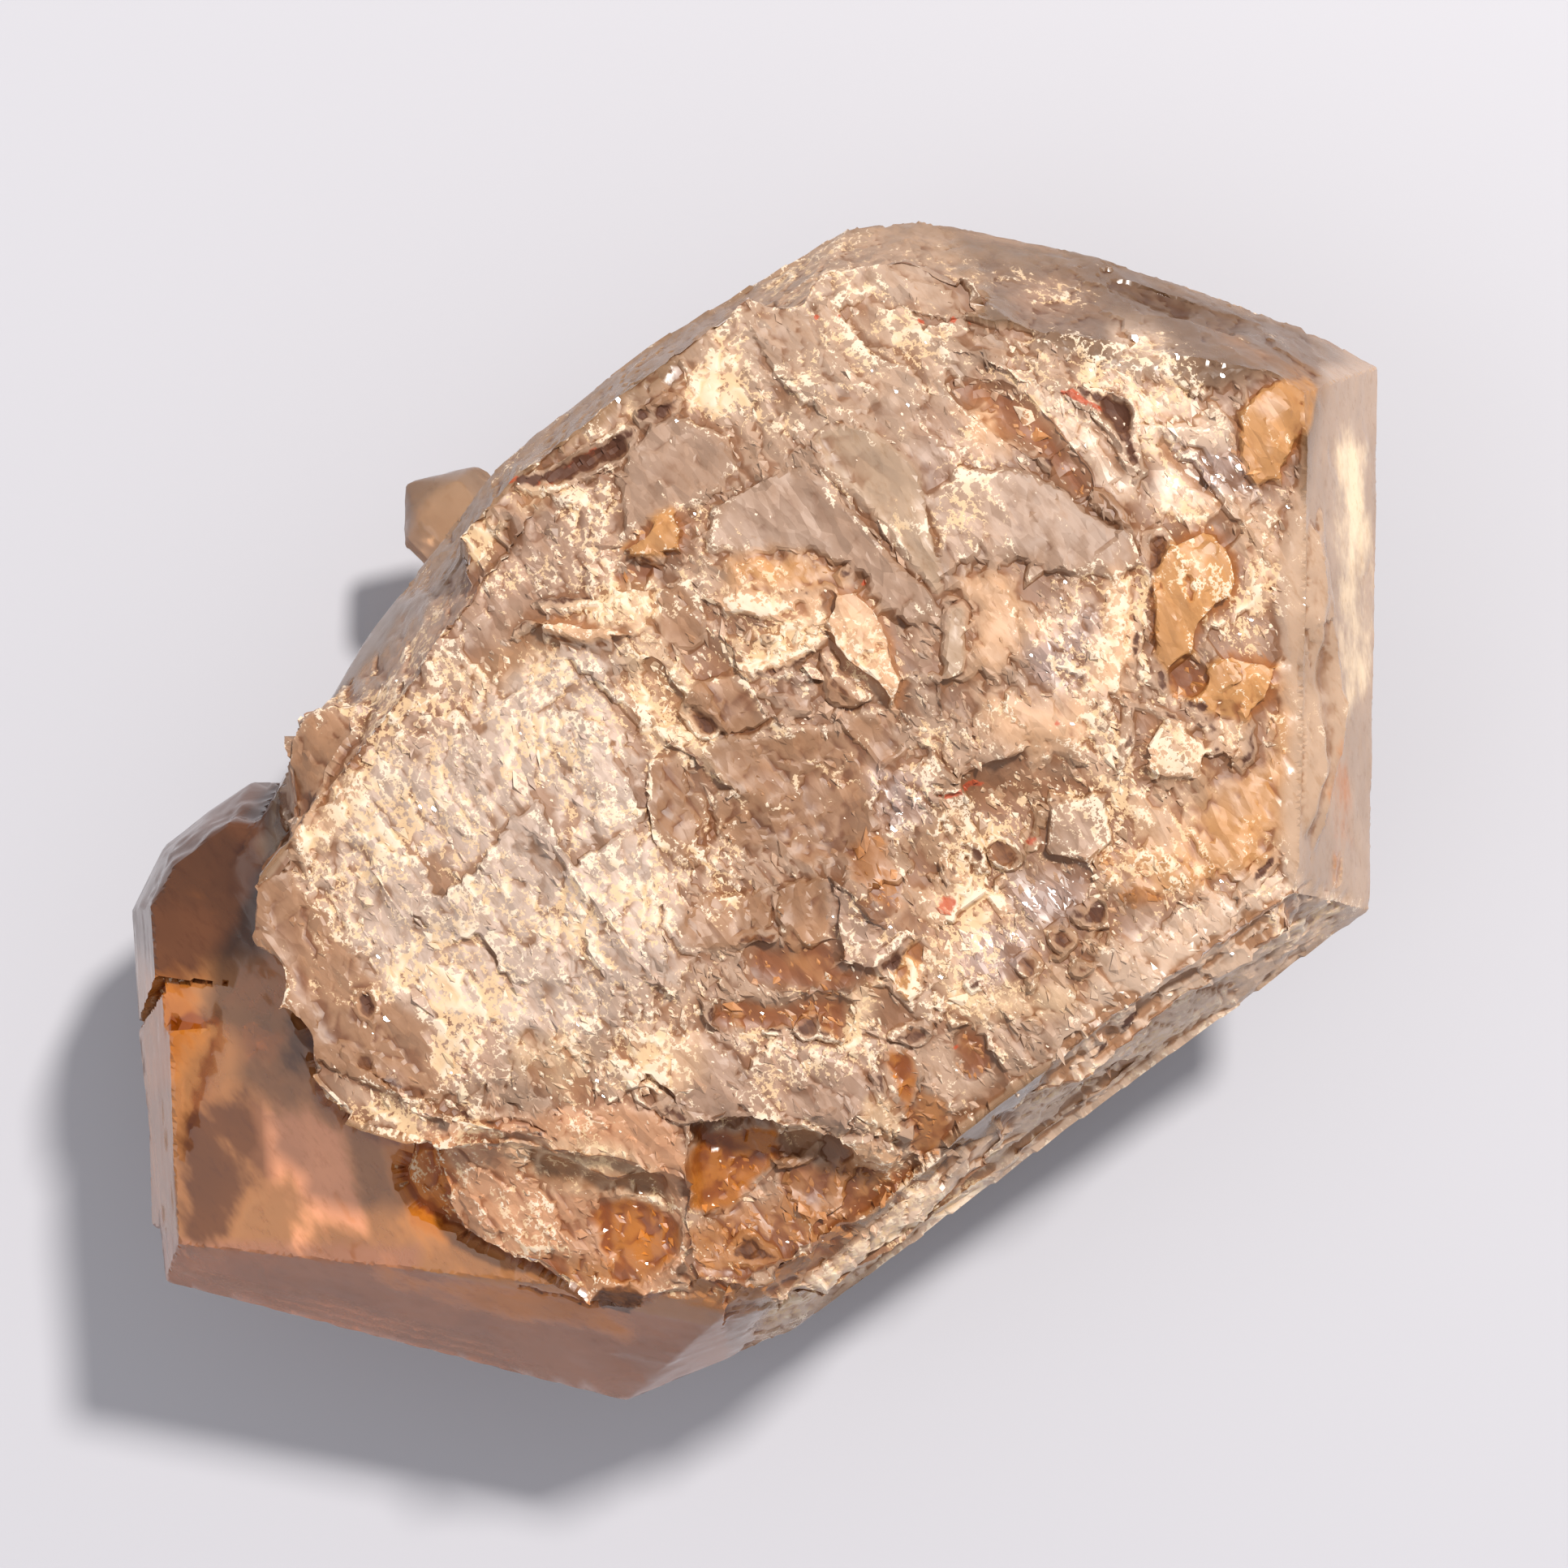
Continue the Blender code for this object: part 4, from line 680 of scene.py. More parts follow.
    Zone(Finish.DRUSY, [(11.6, 7.6), (15.2, 8.2), (15.2, 5.0), (12.2, 4.4)], edge=0.7, wobble=0.7),
    Zone(Finish.PEACH, [
        (8.9, 9.8), (10.2, 10.3), (11.8, 9.4), (12.6, 7.6), (11.6, 6.2), (10.4, 5.0), (9.0, 5.2), (8.8, 7.0)
    ], edge=0.7, wobble=0.6),
    Zone(Finish.SAIL, [(8.1, 8.6), (8.8, 8.6), (8.7, 5.4), (8.0, 4.9), (7.8, 6.6)],
         edge=0.2, wobble=0.1, rise=-0.25, tilt=(-0.3, 0.0)),
    Zone(Finish.PEACH, [
        (16.0, 10.4), (17.3, 10.2), (17.3, 7.0), (16.6, 4.4), (14.4, 4.2), (15.6, 6.4), (15.8, 8.6)
    ], edge=0.5, wobble=0.5),
    Zone(Finish.PEACH, [(9.4, 4.2), (12.2, 3.9), (15.2, 4.0), (14.8, 2.4), (12.4, 1.0), (10.6, 2.2)],
         edge=0.6, wobble=0.5),
    Zone(Finish.BOXWORK, [
        (5.4, -0.6), (7.7, 0.0), (12.9, 0.8), (17.3, 0.6), (16.4, -3.0), (15.6, -4.6), (17.6, -6.4),
        (18.0, -8.5), (13.3, -11.5), (8.5, -12.3), (6.7, -8.0), (5.4, -3.0)
    ], edge=0.8, wobble=0.7),
    Zone(Finish.DRUSY, [(4.4, 0.8), (7.0, 0.4), (7.0, -1.6), (4.8, -2.4)], edge=0.6, wobble=0.6),
    Zone(Finish.DRUSY, [(11.2, -4.8), (14.6, -4.2), (15.0, -5.6), (13.6, -6.8), (11.4, -6.4)],
         edge=0.4, wobble=0.4),
    Zone(Finish.DRUSY, [(8.6, -8.0), (9.4, -7.0), (12.4, -6.8), (12.0, -8.2), (10.6, -9.8), (8.6, -9.4)],
         edge=0.4, wobble=0.4),
    Zone(Finish.SAND, [(6.0, -4.6), (8.2, -5.0), (10.6, -4.9), (11.4, -6.4), (9.0, -7.2), (6.6, -6.8)],
         edge=0.5, wobble=0.5),
    Zone(Finish.PLATE, [(12.9, -1.0), (15.8, -0.6), (16.2, -2.8), (15.0, -3.8), (12.9, -3.4)],
         edge=0.3, wobble=0.2, rise=0.25),
    Zone(Finish.CREAM, [
        (8.2, -10.1), (10.4, -10.5), (13.4, -9.8), (15.2, -10.2), (13.6, -11.2), (10.0, -11.8)
    ], edge=0.5, wobble=0.4),

    # The right: honey domes, milky stone, amber glass and the pale end facet.
    Zone(Finish.AMBER, [
        (8.2, 20.0), (9.4, 19.7), (10.9, 19.3), (12.6, 17.8), (13.6, 16.4), (14.9, 15.0), (14.5, 14.2),
        (13.9, 14.7), (13.2, 15.8), (12.2, 16.8), (10.6, 17.8), (8.9, 19.2)
    ], edge=0.35, wobble=0.15, rise=-0.55, tilt=(0.05, 0.05)),
    Zone(Finish.PEACH, [
        (8.8, 18.3), (10.0, 19.0), (10.9, 17.9), (11.2, 17.0), (10.6, 16.1), (9.8, 16.6), (9.0, 17.1)
    ], edge=0.7, wobble=0.5),
    Zone(Finish.MILKY, [
        (11.0, 20.6), (13.6, 19.2), (15.4, 17.2), (17.4, 14.6), (16.6, 14.2), (14.8, 16.0), (12.6, 18.4)
    ], edge=0.5, wobble=0.4),
    Zone(Finish.MILKY, [
        (16.8, 19.8), (21.6, 18.8), (22.4, 17.0), (22.6, 13.6), (18.6, 12.8), (18.2, 15.4), (17.2, 17.0)
    ], edge=0.6, wobble=0.5),
    Zone(Finish.DRUSY, [(19.0, 16.6), (22.8, 16.4), (23.4, 14.4), (20.4, 14.2)], edge=0.5, wobble=0.5),
    Zone(Finish.HONEY, [
        (22.2, 18.4), (23.4, 19.6), (26.0, 20.2), (26.4, 19.6), (26.0, 18.0), (25.2, 16.2), (24.6, 15.0),
        (23.2, 14.8), (22.5, 16.2)
    ], edge=0.3, wobble=0.2, rise=0.2, tilt=(0.03, 0.03), lowest=18.0),
    Zone(Finish.SAND, [
        (18.2, 14.0), (21.0, 13.8), (24.4, 13.6), (24.6, 11.0), (24.1, 8.8), (23.2, 8.1), (22.4, 8.8),
        (22.8, 10.6), (21.6, 12.9), (19.4, 12.8)
    ], edge=0.5, wobble=0.4),
    Zone(Finish.HONEY, [
        (18.2, 11.0), (18.9, 11.9), (20.6, 12.7), (21.5, 12.4), (22.3, 11.2), (22.5, 10.0), (22.2, 9.0),
        (21.3, 8.5), (20.5, 7.6), (20.2, 6.4), (19.6, 5.4), (18.9, 5.5), (18.3, 6.2), (18.0, 7.4),
        (18.0, 9.2)
    ], edge=0.3, wobble=0.1, rise=0.45, tilt=(0.03, 0.04)),
    Zone(Finish.FROST, [(20.6, 7.4), (21.6, 8.4), (23.0, 8.0), (23.6, 7.0), (21.6, 6.6)],
         edge=0.4, wobble=0.4),
    Zone(Finish.HONEY, [
        (20.9, 5.9), (22.0, 6.6), (23.6, 6.4), (24.6, 5.8), (24.0, 4.0), (23.2, 3.3), (22.8, 2.9),
        (20.9, 3.4), (19.6, 4.2), (20.4, 5.2)
    ], edge=0.3, wobble=0.2, rise=0.25, tilt=(0.05, 0.05)),
    Zone(Finish.AMBER, [(19.0, 5.6), (20.2, 6.2), (20.8, 5.2), (20.0, 4.2), (18.9, 4.4)],
         edge=0.3, wobble=0.2, rise=-0.3),
    Zone(Finish.SAND, [
        (18.0, 2.8), (18.8, 3.4), (19.8, 2.9), (20.9, 2.3), (21.2, 1.5), (20.8, 0.5), (20.2, 0.0),
        (18.6, -0.1), (17.6, 0.6), (17.6, 2.0)
    ], edge=0.3, wobble=0.2, rise=0.30, tilt=(-0.03, 0.03)),
    Zone(Finish.SAND, [(21.4, 3.2), (22.8, 3.1), (22.7, 1.6), (22.2, 0.6), (21.7, 1.4)],
         edge=0.3, wobble=0.15, rise=0.35, tilt=(0.05, 0.0)),
    Zone(Finish.HONEY, [
        (15.6, -3.6), (18.0, -1.8), (20.6, -0.6), (22.0, 0.2), (23.6, 1.0), (25.0, 4.6), (25.6, -0.4),
        (24.8, -3.2), (22.2, -4.6), (19.0, -5.0), (16.4, -4.6)
    ], edge=1.0, wobble=0.8),
    Zone(Finish.SAND, [(17.0, -0.2), (20.6, -0.4), (20.2, -2.6), (17.4, -3.2), (16.6, -1.8)],
         edge=0.7, wobble=0.6),
    Zone(Finish.AMBER, [(16.5, -5.4), (17.2, -5.0), (18.0, -5.1), (19.0, -5.6), (18.0, -5.9), (17.0, -5.9)],
         edge=0.2, wobble=0.1, rise=0.1, tilt=(0.0, 0.15)),
    Zone(Finish.END, [
        (27.2, 20.9), (31.4, 22.0), (31.4, -7.6), (25.4, -5.4), (24.4, -3.2), (25.0, 3.0), (24.4, 8.8),
        (24.8, 12.0), (25.6, 14.4), (26.2, 17.0)
    ], edge=0.4, wobble=0.15, lowest=14.0),

    # The bottom: the milky bevel, a grey ledge, amber windows and the lower lobe.
    Zone(Finish.MILKY, [
        (16.0, -8.0), (24.6, -4.4), (30.4, -6.4), (20.6, -14.6), (8.0, -24.0), (-2.0, -30.0), (-1.0, -26.6),
        (5.4, -21.5), (12.7, -15.6)
    ], edge=0.6, wobble=0.5, lowest=12.0),
    Zone(Finish.GREY, [
        (-4.6, -12.6), (1.6, -12.8), (4.6, -12.9), (5.0, -14.4), (4.2, -15.6), (3.4, -17.0), (0.2, -16.9),
        (-1.6, -16.6), (-4.4, -16.8), (-6.6, -14.6)
    ], edge=0.5, wobble=0.4, rise=0.1, tilt=(0.0, -0.04)),
    Zone(Finish.SAND, [(-8.0, -12.4), (-4.2, -12.4), (-3.6, -14.4), (-5.4, -15.4), (-7.4, -14.6)],
         edge=0.6, wobble=0.5),
    Zone(Finish.WINDOW, [
        (-4.7, -17.0), (-3.6, -17.3), (-2.6, -17.4), (-1.2, -17.0), (-0.4, -17.4), (-0.4, -18.6),
        (-1.6, -19.8), (-2.6, -21.2), (-3.9, -21.7), (-4.8, -21.2), (-4.9, -19.4), (-4.5, -18.0)
    ], edge=0.30, wobble=0.45, rise=-0.3, tilt=(0.03, -0.05)),
    Zone(Finish.AMBER, [
        (-0.4, -18.4), (1.8, -19.2), (3.6, -18.8), (5.8, -19.4), (7.0, -19.2), (5.6, -20.8), (4.2, -21.8),
        (2.0, -20.8), (0.0, -20.6)
    ], edge=0.5, wobble=0.3, rise=-0.2, lowest=12.0),
    Zone(Finish.AMBER, [
        (-4.6, -22.4), (-2.6, -21.2), (0.4, -20.6), (3.4, -21.4), (3.8, -22.8), (0.6, -25.2), (-3.2, -27.8),
        (-4.8, -26.4)
    ], edge=0.6, wobble=0.5, lowest=12.0),
    Zone(Finish.CREAM, [(-0.4, -17.0), (1.6, -16.9), (1.6, -18.0), (0.4, -18.4)], edge=0.3, wobble=0.25),
    Zone(Finish.SMOKY, [(-0.8, -18.8), (0.6, -18.6), (2.0, -18.2), (1.2, -19.2), (-0.2, -19.5)],
         edge=0.25, wobble=0.15, rise=0.2),
    Zone(Finish.WINDOW, [
        (5.0, -13.3), (5.5, -13.1), (6.1, -13.2), (6.5, -13.9), (6.4, -15.4), (6.4, -17.2), (5.9, -16.2),
        (5.6, -15.0), (5.2, -14.2)
    ], edge=0.30, wobble=0.45, rise=-0.3),
    Zone(Finish.AMBER, [(6.6, -15.0), (8.0, -15.8), (8.4, -17.2), (7.2, -18.7), (6.3, -18.0), (6.4, -16.4)],
         edge=0.35, wobble=0.2, rise=-0.2),
    Zone(Finish.AMBER, [(8.6, -12.2), (9.8, -12.4), (10.2, -14.0), (9.2, -14.6), (8.6, -13.6)],
         edge=0.3, wobble=0.2, rise=-0.25),
    Zone(Finish.CREAM, [(4.1, -15.6), (5.6, -15.5), (6.0, -17.2), (5.6, -18.2), (4.6, -17.4), (4.0, -16.6)],
         edge=0.25, wobble=0.25, rise=0.25),
    Zone(Finish.PEACH, [(2.8, -18.0), (4.2, -17.8), (5.9, -18.5), (5.4, -19.4), (3.4, -18.9)],
         edge=0.2, wobble=0.1, rise=0.15),
    Zone(Finish.LOBE, [
        (-18.4, -17.6), (-14.5, -16.6), (-8.0, -15.6), (-5.2, -16.8), (-4.7, -18.4), (-5.0, -21.4),
        (-4.8, -24.0), (-6.2, -26.0), (-9.8, -26.4), (-13.0, -24.6), (-16.5, -22.9)
    ], edge=0.4, wobble=0.3, lowest=15.0),
    Zone(Finish.CREAM, [
        (-14.2, -17.4), (-11.0, -17.6), (-8.2, -18.1), (-6.6, -19.0), (-5.8, -21.2), (-7.6, -20.6),
        (-9.2, -20.7), (-11.6, -20.2), (-13.6, -18.8)
    ], edge=0.4, wobble=0.35),
    Zone(Finish.WINDOW, [
        (-9.9, -21.6), (-8.4, -20.7), (-6.6, -21.3), (-5.4, -22.2), (-5.5, -23.6), (-6.6, -24.6),
        (-8.3, -24.8), (-8.8, -23.4)
    ], edge=0.30, wobble=0.45, rise=-0.3, lowest=15.0),
    Zone(Finish.AMBER, [
        (-13.4, -24.2), (-9.8, -23.8), (-6.4, -24.4), (-7.2, -25.2), (-9.2, -25.2), (-12.4, -25.6)
    ], edge=0.4, wobble=0.3, lowest=12.0),
    Zone(Finish.HONEY, [
        (-24.1, -14.0), (-23.2, -14.4), (-22.2, -16.0), (-22.0, -17.0), (-22.8, -16.9), (-23.6, -15.8)
    ], edge=0.2, wobble=0.1, lowest=18.0),
]

# Slots of the solid that are closed again: both ends on the plan, and half the width.
SLOTS: list[tuple[Point, Point, float]] = [
    ((29.1, 11.4), (29.0, -2.6), 1.5), ((-32.4, -12.6), (-32.3, -23.4), 1.1),
]

# Clouds of stain in the clear block and over the lower strip.
CLOUDS: list[Cloud] = [
    Cloud(Finish.GOLDEN, [(-32.6, -8.0), (-30.2, -8.4), (-29.6, -12.8), (-31.2, -16.8), (-33.0, -15.0)], 8.0),
    Cloud(Finish.OLIVE, [
        (-31.2, -16.4), (-27.6, -15.6), (-24.8, -17.6), (-25.0, -20.4), (-27.4, -22.0), (-28.8, -24.2),
        (-31.4, -23.8)
    ], 8.0),
    Cloud(Finish.OLIVE, [(-26.0, -11.4), (-25.0, -11.4), (-24.0, -13.4), (-24.2, -15.0), (-25.6, -14.6)],
          8.0),
    Cloud(Finish.GOLDEN, [(-20.4, -17.4), (-17.0, -17.6), (-16.6, -21.0), (-17.2, -23.6), (-19.6, -23.4)],
          8.0),
    Cloud(Finish.UMBER, [(-32.6, -6.2), (-29.6, -6.4), (-28.2, -8.2), (-30.4, -9.4), (-32.6, -8.8)], 8.0),
    # the strip's colour, with its painted pink reflection
    Cloud(Finish.STRIP, [(-25.6, -16.6), (-21.8, -17.4), (-21.4, -22.6), (-25.0, -23.4)], 8.0),
    Cloud(Finish.GOLDEN, [(-20.6, -25.0), (-10.6, -25.6), (-8.0, -28.2), (-14.0, -27.6)], 4.0),
    Cloud(Finish.UMBER, [(-30.6, 1.6), (-26.8, 3.0), (-25.8, 0.2), (-26.6, -3.2), (-30.4, -2.4)], 8.0),
    Cloud(Finish.PALE, [(28.0, 18.4), (29.8, 17.0), (30.0, 6.0), (28.8, 3.6), (28.2, 10.0)], 3.0),
    Cloud(Finish.GOLDEN, [(27.8, 1.6), (28.5, 1.2), (28.4, -4.6), (27.8, -5.0)], 3.0),
]

CAVITIES: list[Cavity] = [
    # Along the rim.
    Cavity([
        (-13.2, 14.8), (-11.6, 14.9), (-10.2, 15.2), (-9.0, 15.8), (-7.5, 16.4), (-7.5, 17.5), (-8.4, 17.0),
        (-9.6, 16.4), (-10.8, 15.9), (-11.8, 15.3), (-13.2, 15.2)
    ], 1.7, amber=0.2, wobble=0.10),
    Cavity([(-7.3, 17.9), (-6.4, 18.0), (-5.7, 18.3), (-5.1, 19.2), (-5.7, 18.6), (-7.2, 18.5)],
           1.4, amber=0.2),
    Cavity([(-8.1, 15.1), (-7.5, 14.7), (-7.9, 14.8)], 0.6, amber=0.3, wobble=0.05),
    Cavity([(-14.4, 13.7), (-13.4, 13.4), (-13.9, 13.5)], 0.6, amber=0.4, wobble=0.05),
    Cavity([(-14.6, 12.9), (-14.0, 12.3), (-14.1, 12.2)], 0.5, amber=0.3, wobble=0.05),
    # Under the lens plates and the thin cream plates, dark with the painted shadow of the plates.
    Cavity([(-7.7, 11.2), (-6.1, 11.1), (-6.1, 10.8), (-7.1, 10.9)], 0.8, amber=0.9, wobble=0.05),
    Cavity([(-12.8, 9.1), (-12.0, 8.9), (-10.4, 8.95), (-9.2, 9.1), (-10.2, 9.2), (-12.0, 9.1)],
           0.9, amber=0.4, wobble=0.06),
    Cavity([(-12.0, 7.5), (-11.2, 7.1), (-10.0, 6.7), (-8.6, 6.5), (-8.6, 6.9), (-10.0, 6.9), (-11.2, 7.3)],
           1.0, amber=0.8, wobble=0.06),
    Cavity([(-13.4, 7.5), (-12.2, 8.0), (-12.0, 8.3), (-12.8, 8.0)], 0.6, amber=0.7, wobble=0.05),
    Cavity([(-8.1, 5.9), (-7.5, 5.6), (-7.7, 5.9)], 0.7, amber=0.2, wobble=0.05),
    Cavity([(-5.0, 3.8), (-4.3, 3.7), (-3.4, 3.2), (-3.0, 2.7), (-3.7, 2.3), (-4.4, 2.8)],
           1.3, amber=0.5, wobble=0.08),
    Cavity([(-1.0, 7.4), (-0.7, 7.3), (-0.6, 7.0), (-0.8, 7.0)], 0.7, amber=0.2, wobble=0.04),
    Cavity([
        (-2.4, 5.3), (-1.0, 5.35), (0.2, 5.6), (1.2, 6.2), (1.7, 6.7), (1.3, 6.5), (0.1, 5.8), (-1.2, 5.5)
    ], 0.7, amber=0.5, wobble=0.04),
    Cavity([(-0.9, 4.5), (-0.2, 4.0), (0.5, 3.5), (1.4, 3.5), (0.8, 3.7), (0.0, 4.1)],
           0.6, amber=0.5, wobble=0.05),
    Cavity([(0.1, 8.9), (1.2, 9.2), (2.4, 9.8), (2.2, 9.9), (1.0, 9.4), (0.1, 9.2)],
           0.6, amber=0.6, wobble=0.05),
    Cavity([(2.7, 10.2), (3.1, 10.2), (3.5, 10.5), (3.2, 10.7)], 0.9, amber=0.3, wobble=0.05),
    Cavity([(1.8, 6.3), (2.3, 5.3), (3.2, 4.4), (4.2, 3.9), (3.2, 4.1), (2.2, 4.9)],
           0.6, amber=0.7, wobble=0.05),
    Cavity([(7.9, 8.95), (8.3, 9.0), (8.3, 8.85), (8.0, 8.8)], 0.7, amber=0.1, wobble=0.03),
    # At the upper right.
    Cavity([(12.7, 15.9), (12.9, 16.2), (13.5, 15.6), (13.2, 15.4)], 1.2, amber=0.1, wobble=0.05),
    Cavity([(13.8, 14.7), (14.1, 14.6), (14.0, 14.0), (13.8, 14.1)], 0.8, amber=0.2, wobble=0.05),
    Cavity([
        (14.2, 19.5), (15.5, 19.3), (16.8, 18.9), (17.1, 17.6), (16.9, 16.5), (16.4, 16.9), (16.0, 17.9),
        (15.2, 18.8)
    ], 1.9, amber=0.4, wobble=0.12),
    Cavity([
        (16.4, 17.3), (16.8, 17.2), (17.4, 16.0), (18.0, 15.3), (17.3, 14.9), (17.5, 15.3), (16.9, 16.0)
    ], 1.2, amber=0.4, wobble=0.07),
    Cavity([(18.3, 13.0), (18.7, 13.2), (18.5, 12.8)], 0.6, amber=0.2, wobble=0.04),
    Cavity([
        (18.1, 12.1), (18.7, 12.5), (18.9, 11.8), (18.5, 11.1), (18.1, 10.2), (18.0, 9.2), (17.9, 10.2),
        (18.0, 11.2)
    ], 1.3, amber=0.6, wobble=0.07),
    # Round the domes on the right.
    Cavity([(17.25, 8.0), (17.4, 7.9), (17.35, 6.8), (17.2, 5.9), (17.1, 6.2)], 0.7, amber=0.3, wobble=0.04),
    Cavity([(18.2, 6.2), (18.7, 5.2), (18.9, 4.5), (18.6, 4.4), (18.4, 5.2)], 0.9, amber=0.3, wobble=0.06),
    Cavity([
        (16.9, 4.2), (17.2, 4.0), (17.2, 3.0), (17.1, 2.0), (16.8, 1.0), (16.5, 0.2), (16.6, 1.4),
        (16.9, 2.6)
    ], 1.0, amber=0.2, wobble=0.06),
    Cavity([(17.4, 3.9), (18.4, 3.8), (19.2, 3.3), (20.0, 3.0), (19.2, 3.1), (18.2, 3.6)],
           0.7, amber=0.5, wobble=0.05),
    Cavity([(19.8, 4.1), (20.8, 3.8), (21.3, 2.9), (21.4, 1.5), (21.1, 2.6), (20.7, 3.4), (19.8, 3.9)],
           0.9, amber=0.3, wobble=0.05),
    Cavity([(22.8, 3.3), (23.1, 3.0), (23.2, 2.0), (23.1, 1.2), (22.8, 1.0), (22.95, 2.0)],
           1.3, amber=0.1, wobble=0.04),
    Cavity([(22.4, 1.3), (22.9, 1.2), (22.6, 0.7)], 0.8, amber=0.3, wobble=0.05),
    Cavity([(20.6, 0.2), (20.8, 0.0), (20.8, -0.9), (20.6, -0.9)], 0.7, amber=0.4, wobble=0.05),
    Cavity([(20.9, -4.2), (21.2, -4.2), (21.1, -4.5)], 0.6, amber=0.2, wobble=0.04),
    Cavity([(22.5, -5.4), (22.8, -5.0), (23.4, -4.2), (24.2, -3.4), (24.2, -3.9), (23.3, -5.0)],
           1.2, amber=0.3, wobble=0.08),
    # In the boxwork.
    Cavity([(9.1, -3.1), (9.7, -3.3), (9.8, -3.8), (9.3, -3.6)], 1.0, amber=0.5, wobble=0.08),
    Cavity([
        (10.1, -2.6), (10.5, -2.6), (10.8, -3.1), (11.5, -3.7), (11.3, -3.9), (10.4, -3.7), (10.1, -3.3)
    ], 1.4, amber=0.5, wobble=0.10),
    Cavity([(9.6, -3.8), (10.0, -4.2), (9.5, -4.3)], 0.8, amber=0.3, wobble=0.05),
    Cavity([(7.9, -4.0), (8.3, -4.1), (8.6, -4.7), (8.2, -4.6)], 1.0, amber=0.4, wobble=0.06),
    Cavity([(10.4, -4.9), (10.8, -4.7), (10.6, -5.1)], 0.7, amber=0.2, wobble=0.04),
    Cavity([(11.9, -2.3), (12.5, -2.4), (12.4, -3.4), (12.0, -3.3)], 0.7, amber=0.9, wobble=0.06),
    Cavity([(13.1, -0.65), (14.1, -0.65), (14.0, -0.95), (13.2, -1.0)], 0.8, amber=0.1, wobble=0.05),
    Cavity([(12.9, -3.0), (13.5, -3.0), (13.2, -3.2)], 0.6, amber=0.1, wobble=0.04),
    Cavity([(15.3, -5.7), (15.7, -5.6), (15.8, -6.9), (14.8, -6.8), (14.2, -6.2), (15.0, -6.4)],
           1.2, amber=0.2, wobble=0.10),
    Cavity([(13.1, -7.3), (13.8, -6.9), (14.2, -7.7), (13.8, -8.2), (13.2, -7.9)],
           1.3, amber=0.4, wobble=0.10),
    Cavity([(13.2, -8.5), (13.6, -8.5), (13.5, -8.8)], 0.7, amber=0.2, wobble=0.05),
    Cavity([(11.3, -8.6), (12.0, -8.3), (12.3, -8.9), (12.1, -10.2), (11.9, -9.4), (11.4, -8.9)],
           1.3, amber=0.5, wobble=0.08),
    Cavity([(9.0, -9.7), (9.8, -9.7), (9.7, -10.1), (9.1, -10.1)], 0.8, amber=0.2, wobble=0.08),
    Cavity([(14.3, -8.8), (15.2, -9.0), (14.6, -9.6), (14.2, -9.3)], 0.6, amber=0.5, wobble=0.10),
    Cavity([(12.4, -1.4), (12.8, -1.2), (12.7, -2.0), (12.4, -2.1)], 0.5, amber=0.6, wobble=0.06),
    # Under the pointed plate and along the bottom.
    Cavity([(4.5, -9.1), (5.4, -8.4), (6.5, -7.5), (6.5, -7.8), (5.6, -8.8), (5.0, -9.5)],
           1.4, amber=0.2, wobble=0.06),
    Cavity([(4.6, -10.0), (5.2, -9.6), (5.0, -10.0)], 0.7, amber=0.2, wobble=0.06),
    Cavity([(-2.4, -7.9), (-1.7, -7.4), (-0.4, -7.2), (-0.4, -7.9), (-1.4, -7.8)],
           0.6, amber=0.8, wobble=0.10),
    Cavity([(-4.0, -10.7), (-3.5, -10.9), (-3.3, -11.9), (-3.7, -11.7)], 1.1, amber=0.3, wobble=0.08),
    Cavity([(-1.0, -12.1), (0.6, -11.9), (1.8, -11.2), (1.8, -11.9), (2.8, -12.7), (1.2, -12.3)],
           1.2, amber=0.3, wobble=0.07),
    Cavity([(5.4, -12.7), (5.9, -12.2), (6.9, -12.1), (7.1, -12.4), (6.3, -12.7)],
           1.2, amber=0.2, wobble=0.08),
    Cavity([(8.3, -12.0), (8.8, -12.1), (8.6, -12.4)], 0.8, amber=0.2, wobble=0.06),
    Cavity([(4.5, -14.4), (4.9, -14.2), (5.0, -15.4), (4.7, -15.6)], 0.9, amber=0.3, wobble=0.08),
    Cavity([(5.9, -17.5), (6.4, -17.3), (6.5, -18.0), (6.0, -17.8)], 0.8, amber=0.1, wobble=0.06),
    Cavity([
        (-7.6, -14.9), (-6.4, -15.3), (-5.6, -15.9), (-4.5, -16.7), (-5.4, -16.5), (-6.3, -16.0),
        (-7.0, -15.5)
    ], 1.3, amber=0.4, wobble=0.08),
    Cavity([(16.6, -12.2), (17.0, -11.6), (17.5, -11.2), (17.5, -11.7), (17.0, -12.3)],
           0.9, amber=0.2, wobble=0.06),
    Cavity([(15.3, -13.5), (15.7, -13.0), (16.1, -12.9), (15.7, -13.6)], 0.8, amber=0.2, wobble=0.06),
    Cavity([(-2.8, -23.7), (-2.0, -22.7), (-1.3, -22.9), (-0.8, -23.5), (0.3, -24.0), (-1.4, -23.9)],
           1.0, amber=0.6, wobble=0.12),
    Cavity([
        (-9.8, -25.9), (-9.2, -25.2), (-7.8, -25.1), (-6.9, -25.6), (-7.2, -26.4), (-8.0, -26.9),
        (-9.4, -26.7)
    ], 0.9, amber=0.9, wobble=0.10),
    # Along the left edge.
    Cavity([(-21.1, -10.3), (-20.4, -10.2), (-20.2, -11.0), (-20.3, -11.8), (-20.8, -11.4)],
           1.3, amber=0.3, wobble=0.08),
    Cavity([(-21.9, -12.8), (-21.2, -13.0), (-20.6, -13.4), (-21.2, -13.4)], 0.9, amber=0.3, wobble=0.05),
    Cavity([(-24.0, -2.6), (-23.5, -1.4), (-23.0, -0.2), (-23.3, -0.4), (-24.1, -2.2)],
           0.7, amber=0.5, wobble=0.05),
]

